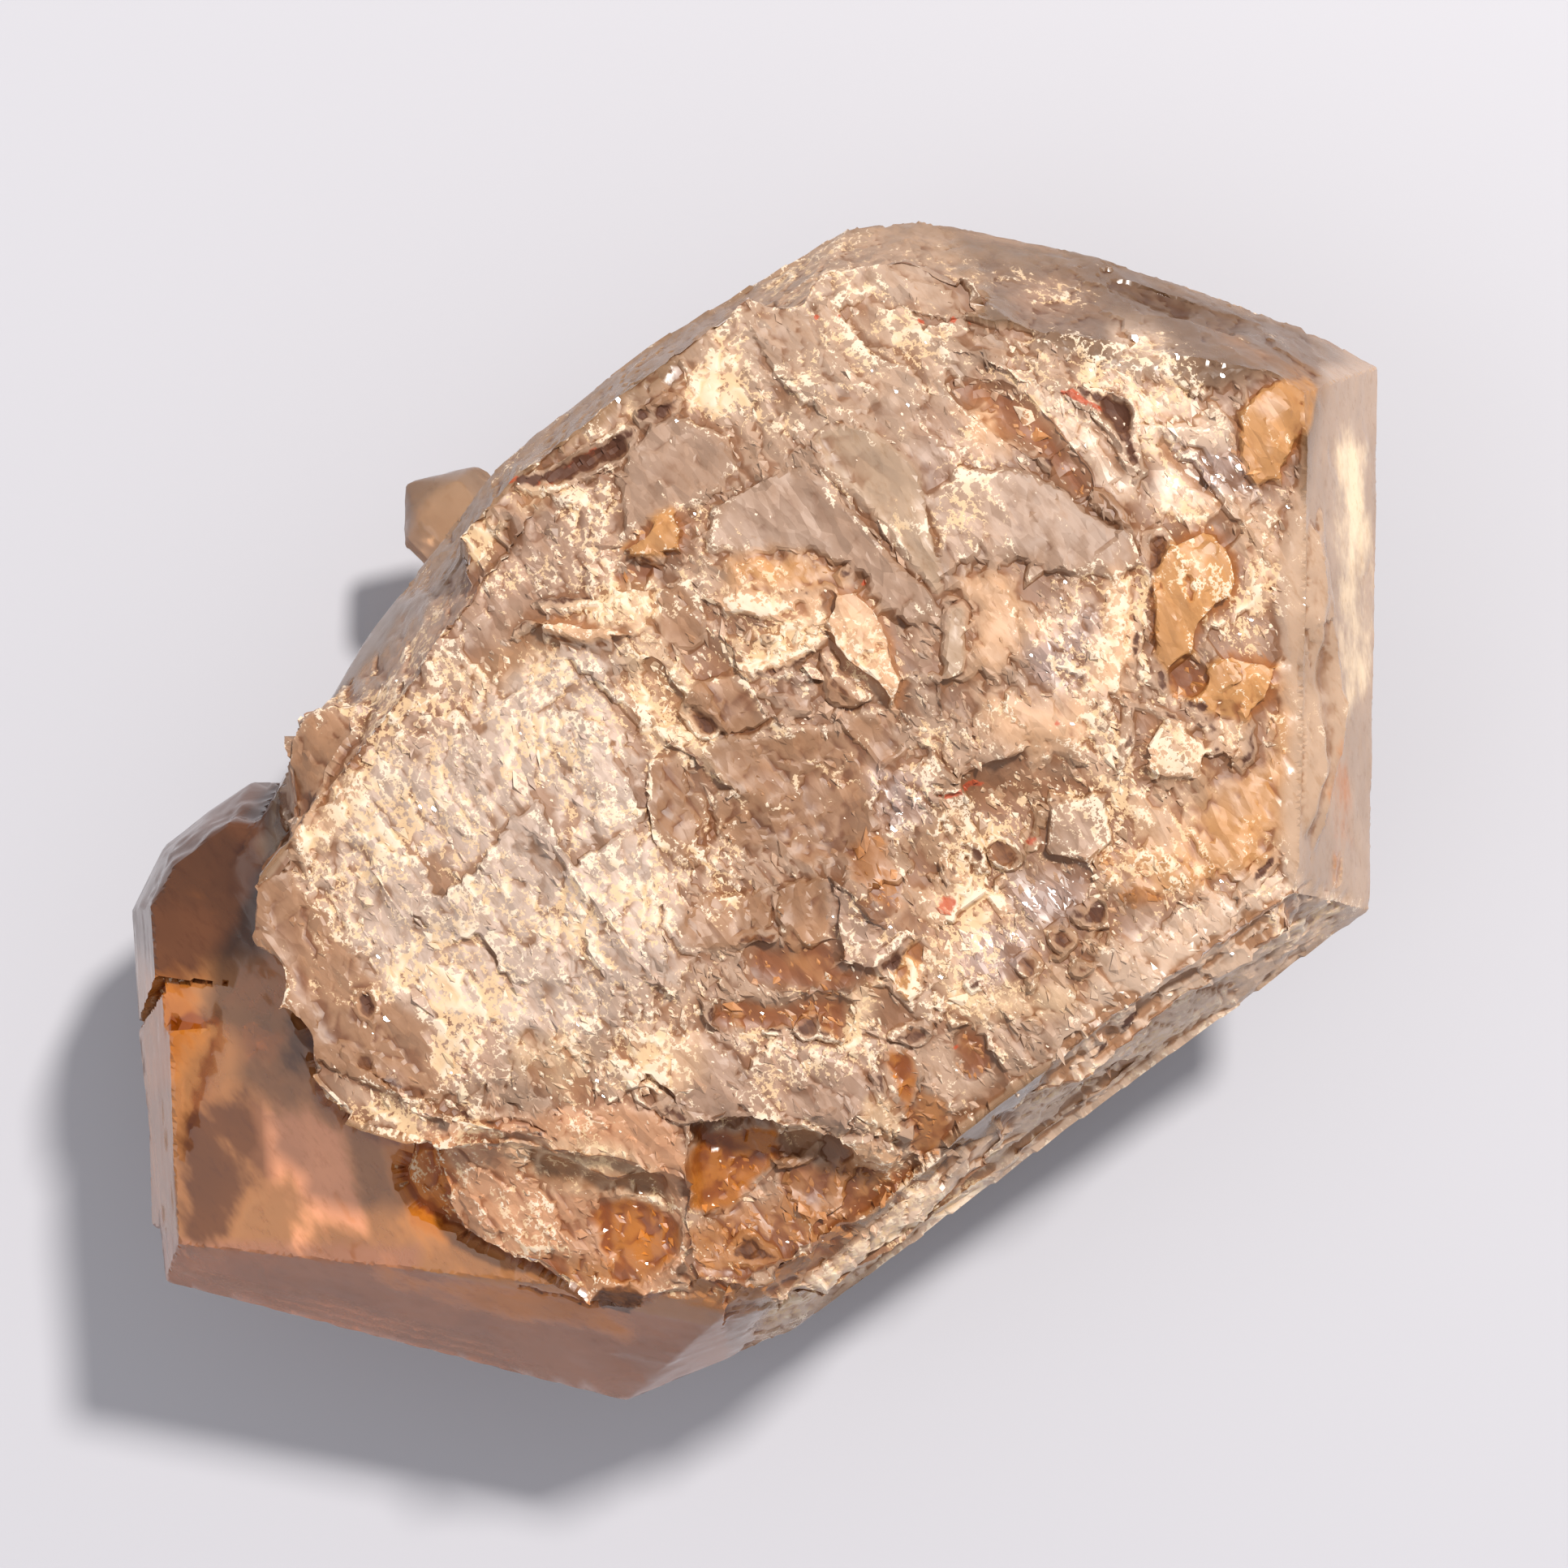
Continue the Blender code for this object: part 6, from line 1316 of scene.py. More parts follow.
@dataclass
class FrontSheet:
    """The broken front's heights on a plan grid, read from the solid, with its narrow pits filled."""

    tree: BVHTree               # search tree of the solid's faces
    corners: np.ndarray         # plan positions of the solid's vertices
    cell: float = 0.15          # width of the grid's cells
    pit: float = 1.5            # half the width of the widest pit that is filled
    lowest: float = 24.2        # height over which the stone belongs to the front
    steepest: float = 1.1       # slope under which it does
    soft: float = 0.75          # width over which the front's own level is averaged
    low: np.ndarray = field(init=False)         # the grid's corner on the plan
    solid: np.ndarray = field(init=False)       # heights of the solid
    filled: np.ndarray = field(init=False)      # the same without the narrow pits
    level: np.ndarray = field(init=False)       # the front's general level
    share: np.ndarray = field(init=False)       # 1 on the front, 0 off it

    def __post_init__(self) -> None:
        """Read the heights, and find the front and its level."""
        self.low = self.corners[:, :2].min(axis=0) - 1.0
        columns, rows = np.ceil((self.corners[:, :2].max(axis=0) + 1.0 - self.low) / self.cell).astype(int)
        self.solid = np.zeros((rows, columns))
        for row in range(rows):
            for column in range(columns):
                x, y = self.low + np.array((column, row)) * self.cell
                place, _, _, _ = self.tree.ray_cast(PLAN.to_part(x, y, OVERHEAD), DOWN)
                if place is not None:
                    self.solid[row, column] = place.z / MM
        reach = int(round(self.pit / self.cell))
        self.filled = self._widen(self._widen(self.solid, reach, np.maximum), reach, np.minimum)
        slope = np.hypot(*np.gradient(self._blur(self.filled, 0.3), self.cell))
        front = ((self.filled > self.lowest) & (slope < self.steepest)).astype(float)
        front = self._widen(self._widen(front, 3, np.maximum), 3, np.minimum)   # closes its gaps
        weight = self._blur(front, self.soft)
        self.level = self._blur(self.filled * front, self.soft) / np.maximum(weight, 1e-6)
        self.share = ramp(self._blur(self._widen(front, 2, np.minimum), 0.35), 0.45, 0.95)

    def _widen(self, heights: np.ndarray, reach: int, pick: np.ufunc) -> np.ndarray:
        """Give each cell the highest or lowest value within reach of it.

        Args:
            heights: The grid.
            reach: How many cells away.
            pick: numpy's maximum or minimum.

        Returns:
            The new grid.
        """
        for axis in (0, 1):
            source = heights
            for step in range(1, reach + 1):
                heights = pick(heights, pick(np.roll(source, step, axis), np.roll(source, -step, axis)))
        return heights

    def _blur(self, heights: np.ndarray, reach: float) -> np.ndarray:
        """Average the cells over a bell of the given reach in millimetres.

        Args:
            heights: The grid.
            reach: The bell's width.

        Returns:
            The new grid.
        """
        half = int(math.ceil(2.5 * reach / self.cell))
        bell = np.exp(-0.5 * (np.arange(-half, half + 1) * self.cell / reach) ** 2)
        bell /= bell.sum()
        for axis in (0, 1):
            heights = np.apply_along_axis(np.convolve, axis, heights, bell, "same")
        return heights

    def read(self, heights: np.ndarray, plan: np.ndarray) -> np.ndarray:
        """Read one of the grids at plan positions.

        Args:
            heights: The grid.
            plan: Plan positions, one row each.

        Returns:
            The grid's value at each position.
        """
        rows, columns = heights.shape
        place = (plan[:, :2] - self.low) / self.cell
        cell = np.clip(place.astype(int), 0, (columns - 2, rows - 2))
        (x, y), (u, v) = cell.T, (place - cell).T
        return ((1 - u) * (1 - v) * heights[y, x] + u * (1 - v) * heights[y, x + 1]
                + (1 - u) * v * heights[y + 1, x] + u * v * heights[y + 1, x + 1])

    def _pits(self) -> np.ndarray:
        """Return which cells lie in a narrow pit, well inside the solid's outline.

        Returns:
            True or false for each cell between four grid points.
        """
        inside = self._widen((self.solid > 12.0).astype(float), 4, np.minimum) > 0.0
        deep = (self.filled - self.solid > 0.08) & (self.filled > 20.0) & inside
        deep = self._widen(deep.astype(float), 1, np.maximum)[:-1, :-1] > 0.0
        deep[[0, -1], :] = False
        deep[:, [0, -1]] = False
        return deep

    def plugs(self) -> bpy.types.Object:
        """Make a closed block for each narrow pit, from under its floor up to its mouth.

        Returns:
            The joined blocks, as one object.
        """
        deep = self._pits()
        rows, columns = self.solid.shape
        count = rows * columns
        node = np.arange(count).reshape(rows, columns)
        corner = [node[:-1, :-1][deep], node[:-1, 1:][deep], node[1:, 1:][deep], node[1:, :-1][deep]]
        quads = [np.column_stack(corner), np.column_stack(corner[::-1]) + count]
        neighbours = ((-1, 0), (1, 1), (1, 0), (-1, 1))     # the way to each one, and its axis
        for number, (ahead, axis) in enumerate(neighbours):
            open_side = ~np.roll(deep, -ahead, axis)[deep]
            first, second = corner[number][open_side], corner[(number + 1) % 4][open_side]
            quads.append(np.column_stack((second, first, first + count, second + count)))
        quads = np.concatenate(quads)
        used, renumbered = np.unique(quads, return_inverse=True)
        top = np.minimum(self.filled, self._widen(self.filled, 1, np.minimum) + 0.4)
        floor = np.minimum(self._widen(self.solid, 2, np.minimum) - 1.5, top - 1.0)
        row, column = np.divmod(used % count, columns)
        x, y = self.low[0] + column * self.cell, self.low[1] + row * self.cell
        z = np.where(used < count, top.ravel()[used % count], floor.ravel()[used % count])
        mesh = bpy.data.meshes.new("pit_plugs")
        points = [PLAN.to_part(*place) for place in zip(x, y, z)]
        mesh.from_pydata(points, [], renumbered.reshape(quads.shape).tolist())
        return new_piece("pit_plugs", mesh)


# --------------------------------------------------------------------------------------------- the stone


@dataclass(frozen=True)
class SmokyQuartz:
    """The finish of the whole crystal: tinted clear stone, frosted and crusted where its map says so."""

    name: str = "smoky_quartz_stone"
    index: float = QUARTZ_INDEX
    absorption: tuple[float, float, float] = (0.90, 0.62, 0.34)
    density: float = 34.0
    cream: tuple[float, float, float] = (206, 173, 133)     # crust in hollows, painted darker there as shade
    white: tuple[float, float, float] = (222, 202, 178)     # crust on crests
    shadow_umber: tuple[float, float, float] = (76, 38, 14)        # painted shade deep in cracks and holes and at the feet of ledges
    amber: tuple[float, float, float] = (124, 72, 26)       # painted warm light on the walls that the light reaches, and in hollows
    rust: tuple[float, float, float] = (168, 62, 20)
    squeeze: float = 0.36       # of the fine pattern along the way that the stone broke
    least_crust: float = 0.40   # amount at which the lace of crust starts

    def build(self) -> bpy.types.Material:
        """Make the material.

        Returns:
            The material, which reads the map's attributes and Object coordinates.
        """
        material = bpy.data.materials.new(self.name)
        material.use_nodes = True
        tree = NodeSheet(material.node_tree)
        place = tree.node("ShaderNodeTexCoord").outputs["Object"]
        drawn = tree.drawn_out(place, PLAN.turn + FLOW_HEADING, self.squeeze)
        read = {name: tree.attribute(name).outputs["Fac"] for name in NUMBERS if name != "shape"}
        read["fleck"] = tree.noise(drawn, 2300.0, 3.0, 0.72)
        cells = tree.cells(drawn, 1700.0)
        crusted = self._crusted(tree, place, read)
        clouded = tree.nudged(tree.times(read["cloud"], 1.4), tree.noise(drawn, 420.0, 4.0, 0.62), 2.6)
        clouded = tree.step(clouded, 0.30, 1.25)
        stained = tree.step(read["cloud"], 0.0, 0.3)
        # painted warm light on cavity walls and in hollows
        warm = tree.step(tree.nudged(read["amber"], read["fleck"], 0.5), 0.30, 0.90)
        rusted = tree.step(tree.nudged(read["rust"], read["fleck"], 1.0), 0.40, 0.70)
        # painted shade in cracks, holes and at the feet of ledges
        deep = tree.step(tree.nudged(read["dark"], read["fleck"], 1.5), 0.30, 0.90)

        coloured = self._stone_colour(tree, read, cells, tree.times(clouded, stained))
        # crust is painted darker in hollows than on crests: painted shade
        crust_colour = tree.mix(tree.step(read["crest"], 0.40, 0.80), tree.colour(*self.cream),
                                tree.colour(*self.white))
        coloured = tree.mix(tree.times(crusted, 0.85), coloured, crust_colour)
        coloured = tree.mix(warm, coloured, tree.colour(*self.amber))
        coloured = tree.mix(tree.times(rusted, 0.85), coloured, tree.colour(*self.rust))
        coloured = tree.mix(deep, coloured, tree.colour(*self.shadow_umber))
        opaque = tree.maximum(tree.times(crusted, 0.9), tree.maximum(deep, rusted))
        opaque = tree.maximum(opaque, tree.times(clouded, tree.add(tree.times(stained, 0.22), 0.75)))
        facets = tree.add(tree.times(read["grain"], 0.24), tree.times(read["sparkle"], 0.4))

        shader = tree.principled
        shader.inputs["IOR"].default_value = self.index
        tree.link(coloured, shader.inputs["Base Color"])
        tree.link(tree.times(read["glass"], tree.subtract(1.0, opaque)), shader.inputs["Transmission Weight"])
        tree.link(tree.add(read["rough"], tree.times(crusted, 0.16)), shader.inputs["Roughness"])
        tree.link(tree.facets(cells, facets), shader.inputs["Normal"])
        absorb = tree.node("ShaderNodeVolumeAbsorption")
        absorb.inputs["Color"].default_value = (*self.absorption, 1.0)
        absorb.inputs["Density"].default_value = self.density
        tree.link(absorb.outputs["Volume"], tree.output.inputs["Volume"])
        return material

    def _crusted(self, tree: NodeSheet, place: bpy.types.NodeSocket,
                 read: dict[str, bpy.types.NodeSocket]) -> bpy.types.NodeSocket:
        """Return where crust clings: a ragged lace, which is wider on crests and where there is more of it.

        Args:
            tree: The material's nodes.
            place: Object coordinates.
            read: What the vertices say, and the noise of the flecks.

        Returns:
            The share of crust, 0 or 1 but for a narrow border.
        """
        amount = tree.nudged(read["crust"], read["crest"], 0.36)
        amount = tree.nudged(amount, read["fleck"], 1.3)
        amount = tree.nudged(amount, read["mottle"], 0.9)
        lace = tree.distance(tree.noise(place, 1250.0, 4.0, 0.64), 0.5)
        width = tree.times(tree.subtract(amount, self.least_crust), 0.20)
        return tree.times(tree.step(tree.subtract(width, lace), -0.012, 0.012),
                          tree.step(read["crust"], 0.03, 0.14))

    def _stone_colour(self, tree: NodeSheet, read: dict[str, bpy.types.NodeSocket],
                      cells: bpy.types.NodeSocket, cloud: bpy.types.NodeSocket) -> bpy.types.NodeSocket:
        """Return the bare stone's colour, uneven from patch to patch, with painted light that differs from
        cell to cell and painted shade that makes it browner in hollows.

        Args:
            tree: The material's nodes.
            read: What the vertices say, and the noise of the flecks.
            cells: A random colour for each small cell of space.
            cloud: The share of the clouds within the stone.

        Returns:
            The colour.
        """
        tone, stain = (tree.attribute(name).outputs["Color"] for name in ("tone", "stain"))
        tone = tree.mix(cloud, tone, stain)
        varied = tree.mix(tree.step(read["mottle"], 0.25, 0.75), tree.stain(tone, (0.90, 0.88, 0.86)),
                          tree.stain(tone, (1.10, 1.10, 1.10)))
        # painted light: each small cell a little brighter or darker, like a facet
        varied = tree.mix(tree.times(read["grain"], 0.13), varied, tree.tinted(varied, cells))
        dull = tree.step(read["fleck"], 0.50, 0.28)
        varied = tree.mix(dull, varied, tree.stain(varied, (0.86, 0.80, 0.72)))
        # painted shade: darker and browner in hollows
        sunk = tree.times(tree.step(read["crest"], 0.48, 0.20), 0.85)
        return tree.mix(sunk, varied, tree.stain(varied, (0.50, 0.31, 0.16)))


class NodeSheet:
    """A material's node tree, with short ways to add the nodes that the stone needs."""

    def __init__(self, tree: bpy.types.NodeTree) -> None:
        """Keep the tree and find its shader and output.

        Args:
            tree: The tree of a new material.
        """
        self.tree = tree
        self.principled = tree.nodes["Principled BSDF"]
        self.output = tree.nodes["Material Output"]

    def node(self, kind: str) -> bpy.types.Node:
        """Add a node of one kind."""
        return self.tree.nodes.new(kind)

    def link(self, source: object, target: bpy.types.NodeSocket) -> None:
        """Link a socket to another, or set a plain value on it.

        Args:
            source: A socket or a value.
            target: The socket that takes it.
        """
        if isinstance(source, bpy.types.NodeSocket):
            self.tree.links.new(source, target)
        else:
            target.default_value = source

    def attribute(self, name: str) -> bpy.types.Node:
        """Read one of the piece's attributes.

        Args:
            name: The attribute's name.

        Returns:
            The node that reads it.
        """
        node = self.node("ShaderNodeAttribute")
        node.attribute_name = name
        return node

    def _join(self, kind: str, operation: str, *sources: object) -> bpy.types.NodeSocket:
        """Add a node that joins its sources by one operation.

        Args:
            kind: Blender's name for the node.
            operation: What the node does.
            sources: Sockets or values.

        Returns:
            The node's result.
        """
        node = self.node(kind)
        node.operation = operation
        for number, source in enumerate(sources):
            self.link(source, node.inputs[number])
        return node.outputs[0]

    def add(self, a: object, b: object) -> bpy.types.NodeSocket:
        """Return a + b."""
        return self._join("ShaderNodeMath", "ADD", a, b)

    def subtract(self, a: object, b: object) -> bpy.types.NodeSocket:
        """Return a − b."""
        return self._join("ShaderNodeMath", "SUBTRACT", a, b)

    def times(self, a: object, b: object) -> bpy.types.NodeSocket:
        """Return a × b."""
        return self._join("ShaderNodeMath", "MULTIPLY", a, b)

    def maximum(self, a: object, b: object) -> bpy.types.NodeSocket:
        """Return the larger of a and b."""
        return self._join("ShaderNodeMath", "MAXIMUM", a, b)

    def distance(self, a: object, b: float) -> bpy.types.NodeSocket:
        """Return how far a lies from b."""
        return self._join("ShaderNodeMath", "ABSOLUTE", self.subtract(a, b))

    def nudged(self, value: object, field: bpy.types.NodeSocket, amount: float) -> bpy.types.NodeSocket:
        """Return a value moved up or down, half the amount each way, by a field of 0 to 1."""
        return self.add(value, self.times(self.subtract(field, 0.5), amount))

    def step(self, value: object, low: float, high: float) -> bpy.types.NodeSocket:
        """Return a smooth 0 to 1 rise of the value from low to high, which falls if low is over high.

        Args:
            value: What is read.
            low: Where the rise starts.
            high: Where it ends.

        Returns:
            The rise.
        """
        node = self.node("ShaderNodeMapRange")
        node.interpolation_type = "SMOOTHSTEP"
        down = low > high
        self.link(value, node.inputs["Value"])
        node.inputs["From Min"].default_value = min(low, high)
        node.inputs["From Max"].default_value = max(low, high)
        node.inputs["To Min"].default_value = 1.0 if down else 0.0
        node.inputs["To Max"].default_value = 0.0 if down else 1.0
        return node.outputs["Result"]

    def colour(self, red: float, green: float, blue: float) -> bpy.types.NodeSocket:
        """Return a display colour as a socket.

        Args:
            red: Display red.
            green: Display green.
            blue: Display blue.

        Returns:
            The colour.
        """
        node = self.node("ShaderNodeRGB")
        node.outputs[0].default_value = (*linear(red, green, blue), 1.0)
        return node.outputs[0]

    def mix(self, share: object, a: object, b: object) -> bpy.types.NodeSocket:
        """Blend two colours by a share.

        Args:
            share: The share of the second colour.
            a: The first colour.
            b: The second colour.

        Returns:
            The blend.
        """
        node = self.node("ShaderNodeMix")
        node.data_type = "RGBA"
        self.link(share, node.inputs["Factor"])
        self.link(a, node.inputs["A"])
        self.link(b, node.inputs["B"])
        return node.outputs["Result"]

    def stain(self, colour: bpy.types.NodeSocket, tint: tuple[float, float, float]) -> bpy.types.NodeSocket:
        """Return a colour times a tint."""
        return self._join("ShaderNodeVectorMath", "MULTIPLY", colour, tint)

    def noise(self, place: bpy.types.NodeSocket, scale: float, detail: float,
              roughness: float) -> bpy.types.NodeSocket:
        """Return a noise field of 0 to 1.

        Args:
            place: Where it is read.
            scale: Bumps to a metre.
            detail: How many sizes of bump it has.
            roughness: How strong the small ones are.

        Returns:
            The field.
        """
        node = self.node("ShaderNodeTexNoise")
        self.link(place, node.inputs["Vector"])
        node.inputs["Scale"].default_value = scale
        node.inputs["Detail"].default_value = detail
        node.inputs["Roughness"].default_value = roughness
        return node.outputs["Fac"]

    def drawn_out(self, place: bpy.types.NodeSocket, heading: float, squeeze: float) -> bpy.types.NodeSocket:
        """Return the place turned and squeezed, so that what is read there is drawn out along a heading.

        Args:
            place: Where the surface is.
            heading: The way that the pattern runs, in radians on the part's own plan.
            squeeze: Scale along that heading.

        Returns:
            The new place.
        """
        node = self.node("ShaderNodeMapping")
        node.vector_type = "TEXTURE"
        self.link(place, node.inputs["Vector"])
        node.inputs["Rotation"].default_value = (0.0, 0.0, heading)
        node.inputs["Scale"].default_value = (1.0 / squeeze, 1.0, 1.2)
        return node.outputs["Vector"]

    def cells(self, place: bpy.types.NodeSocket, scale: float) -> bpy.types.NodeSocket:
        """Return a random colour for each small cell of space.

        Args:
            place: Where it is read.
            scale: Cells to a metre.

        Returns:
            The colour.
        """
        node = self.node("ShaderNodeTexVoronoi")
        self.link(place, node.inputs["Vector"])
        node.inputs["Scale"].default_value = scale
        node.inputs["Detail"].default_value = 1.0
        node.inputs["Roughness"].default_value = 0.6
        return node.outputs["Color"]

    def tinted(self, colour: bpy.types.NodeSocket, cells: bpy.types.NodeSocket) -> bpy.types.NodeSocket:
        """Return a colour lit unevenly from cell to cell.

        Args:
            colour: The colour.
            cells: A random colour for each cell.

        Returns:
            The uneven colour.
        """
        channels = self.node("ShaderNodeSeparateColor")
        self.link(cells, channels.inputs[0])
        brightness = self.times(channels.outputs[0], 2.0)
        return self._join("ShaderNodeVectorMath", "MULTIPLY", colour, brightness)

    def facets(self, cells: bpy.types.NodeSocket, amount: bpy.types.NodeSocket) -> bpy.types.NodeSocket:
        """Tilt small facets of the surface at random, so that some of them flash.

        Args:
            cells: The random colour of each facet.
            amount: How strongly they tilt, 0 to 1.

        Returns:
            The normal with its facets.
        """
        normal = self.node("ShaderNodeNewGeometry").outputs["Normal"]
        centred = self._join("ShaderNodeVectorMath", "SUBTRACT", cells, (0.5, 0.5, 0.5))
        tilt = self._join("ShaderNodeVectorMath", "MULTIPLY", centred, amount)
        tilted = self._join("ShaderNodeVectorMath", "ADD", normal, tilt)
        return self._join("ShaderNodeVectorMath", "NORMALIZE", tilted)


@dataclass(frozen=True)
class Breakage:
    """How the frosted stone is broken, in millimetres where its relief is full."""

    warp: float = 0.9               # how far the pattern of the chips is pushed about
    stretch: float = 0.62           # scale of the chips along the way that the stone broke
    middle_chip: float = 2.1
    middle_height: float = 0.55     # share of the chips' own height
    small_chip: float = 0.9
    small_height: float = 0.34
    long_scarp: float = 2.1         # mean distance of the larger steps
    long_height: float = 0.30
    short_scarp: float = 1.0
    short_height: float = 0.22
    growth_line: float = 0.004      # height of the fine lines across the crystal's steep faces
    deepest: float = -0.8
    highest: float = 0.6

    def height(self, plan: np.ndarray, relief: np.ndarray) -> np.ndarray:
        """Return how far the broken surface stands out.

        Args:
            plan: Plan positions of the vertices.
            relief: How strongly it shows at each one, 0 to 1.

        Returns:
            The height of each vertex, in millimetres.
        """
        warp = Grain(3)
        pushed = np.column_stack([warp.cloudy(plan + 20 * axis, 3.0, 3) for axis in range(3)])
        warped = plan + pushed * self.warp
        flow_x, flow_y = math.cos(FLOW_HEADING), math.sin(FLOW_HEADING)
        along = warped[:, 0] * flow_x + warped[:, 1] * flow_y
        across = -warped[:, 0] * flow_y + warped[:, 1] * flow_x
        stretched = np.column_stack((along * self.stretch, across, warped[:, 2] * 0.8))
        middle = Grain(23).chips(stretched + 2.0, self.middle_chip, slope=0.75, bow=0.28)
        small = Grain(29).chips(stretched + 4.0, self.small_chip, slope=0.85, bow=0.30)
        chips = self.middle_height * middle + self.small_height * small
        patchy = ramp(Grain(37).cloudy(plan, 5.0, 2), -0.5, 0.7)
        long_steps = Grain(31).scarps(plan, self.long_scarp, FLOW_HEADING + 0.5 * math.pi)
        short_steps = Grain(33).scarps(plan, self.short_scarp, FLOW_HEADING + 0.35 * math.pi)
        steps = patchy * self.long_height * long_steps + (1.0 - patchy) * self.short_height * short_steps
        return relief * (chips + steps)


@dataclass
class QuartzCrystal:
    """The crystal's body, made finely from the solid that stands for it."""

    stone: SmokyQuartz
    breakage: Breakage = Breakage()
    block_depth: float = 4.0 * MM   # of the blocks that close the long slots
    voxel: float = 0.29 * MM        # size of the first fine mesh
    fine_voxel: float = 0.23 * MM   # size of the mesh once the front has its shapes
    broad_face: float = 24.0        # square millimetres of flat stone that make a crystal face
    face_gap: float = 0.4 * MM      # within which a vertex lies on the solid's face
    front_over: float = 25.4 * MM   # height over which a face that looks up is part of the front
    fine_over: float = 18.0 * MM    # height over which the front keeps all its triangles
    coarse_share: float = 0.16      # of the triangles that are left on the plain sides and back
    most_triangles: int = 196_000
    sharp_angle: float = math.radians(21.0)
    sheet: FrontSheet | None = None

    # Rounds of averaging that reach each wider size of surroundings, and the weight of that size.
    CREST_ROUNDS = ((2, 3.0), (6, 1.4), (18, 0.7))

    def build(self) -> bpy.types.Object:
        """Make the crystal.

        Returns:
            The finished piece.
        """
        piece = self._copy_of_solid()
        tree, group_area = self._flat_groups(piece)
        for slot in SLOTS:
            self._close_slot(piece, tree, group_area, *slot)
        tree, group_area = self._flat_groups(piece)
        self.sheet = FrontSheet(tree, PLAN.from_part(vertex_positions(piece.data)))
        LOG.info("front sheet read")
        join_into(piece, self.sheet.plugs())    # the narrow pits are cut again more finely
        apply_modifier(piece, "REMESH", mode="VOXEL", voxel_size=self.voxel, use_smooth_shade=False)
        LOG.info("remeshed: %d vertices", len(piece.data.vertices))
        self._shape_front(piece, self._snap(piece, tree, group_area))
        apply_modifier(piece, "REMESH", mode="VOXEL", voxel_size=self.fine_voxel, use_smooth_shade=False)
        LOG.info("remeshed again: %d vertices", len(piece.data.vertices))
        self._break_surface(piece, self._snap(piece, tree, group_area))
        self._thin_out(piece)
        self._paint(piece, tree, group_area)
        piece.data.materials.clear()
        piece.data.materials.append(self.stone.build())
        make_active(piece)
        bpy.ops.object.shade_smooth_by_angle(angle=self.sharp_angle)
        return piece

    def _copy_of_solid(self) -> bpy.types.Object:
        """Copy the solid and merge its loose triangles.

        Returns:
            The copy.
        """
        piece = new_piece("skeletal_quartz_crystal", bpy.data.objects[NODE].data.copy())
        make_active(piece)
        bpy.ops.object.mode_set(mode="EDIT")
        bpy.ops.mesh.select_all(action="SELECT")
        bpy.ops.mesh.remove_doubles(threshold=1e-6)
        bpy.ops.object.mode_set(mode="OBJECT")
        return piece

    def _close_slot(self, piece: bpy.types.Object, tree: BVHTree, group_area: np.ndarray, start: Point,
                    end: Point, half_width: float) -> None:
        """Join a block into a long slot of the solid's side, flush with the broad face round it.

        Args:
            piece: The copy of the solid.
            tree: Search tree of the solid's faces.
            group_area: The flat area of each face.
            start: One end of the slot on the plan.
            end: Its other end.
            half_width: Half its width, with some of the stone beside it.
        """
        found = self._broad_face_near(tree, group_area, start, end)
        if found is None:
            return
        place, normal = found
        run = np.subtract(end, start) / math.dist(start, end) * half_width
        corners = []
        for (x, y), side in ((start, -1), (end, -1), (end, 1), (start, 1)):
            corner = PLAN.to_part(x - side * run[1], y + side * run[0], 0.0)
            corner.z = place.z - ((corner - place).xy @ normal.xy) / normal.z
            corners.append(corner)
        grid = bmesh.new()
        top = [grid.verts.new(corner) for corner in corners]
        foot = [grid.verts.new(corner - normal * self.block_depth) for corner in corners]
        add_prism(grid, top, foot)
        bmesh.ops.recalc_face_normals(grid, faces=grid.faces)
        mesh = bpy.data.meshes.new("slot_block")
        grid.to_mesh(mesh)
        grid.free()
        join_into(piece, new_piece("slot_block", mesh))

    def _broad_face_near(self, tree: BVHTree, group_area: np.ndarray, start: Point,
                         end: Point) -> tuple[Vector, Vector] | None:
        """Look down along a slot, and up to 3 mm to its sides, for the broadest face of the stone's side.

        Args:
            tree: Search tree of the solid's faces.
            group_area: The flat area of each face.
            start: One end of the slot on the plan.
            end: Its other end.

        Returns:
            A place on that face and its normal, or nothing where there is none.
        """
        best, widest = None, 0.0
        for along in np.linspace(0.0, 1.0, 9):
            x, y = (np.array(start) * (1.0 - along) + np.array(end) * along).tolist()
            for across in np.linspace(-3.0, 3.0, 13):
                place, normal, face, _ = tree.ray_cast(PLAN.to_part(x + across, y, OVERHEAD), DOWN)
                if place is not None and group_area[face] > widest and normal.z < 0.97:
                    best, widest = (place, normal), group_area[face]
        return best

    def _flat_groups(self, piece: bpy.types.Object) -> tuple[BVHTree, np.ndarray]:
        """Find how large a flat face each triangle of the solid belongs to.

        Args:
            piece: The merged copy of the solid.

        Returns:
            A search tree of the solid's faces, and the flat area of each face, in square millimetres.
        """
        grid = bmesh.new()
        grid.from_mesh(piece.data)
        grid.faces.ensure_lookup_table()
        tree = BVHTree.FromBMesh(grid)
        area = np.zeros(len(grid.faces))
        seen = [False] * len(grid.faces)
        for start in grid.faces:
            if seen[start.index]:
                continue
            seen[start.index] = True
            group, waiting = [], [start]
            while waiting:
                face = waiting.pop()
                group.append(face)
                for edge in face.edges:
                    for other in edge.link_faces:
                        if not seen[other.index] and other.normal.dot(start.normal) > 0.9998:
                            seen[other.index] = True
                            waiting.append(other)
            total = sum(face.calc_area() for face in group) / MM ** 2
            for face in group:
                area[face.index] = total
        grid.free()
        return tree, area

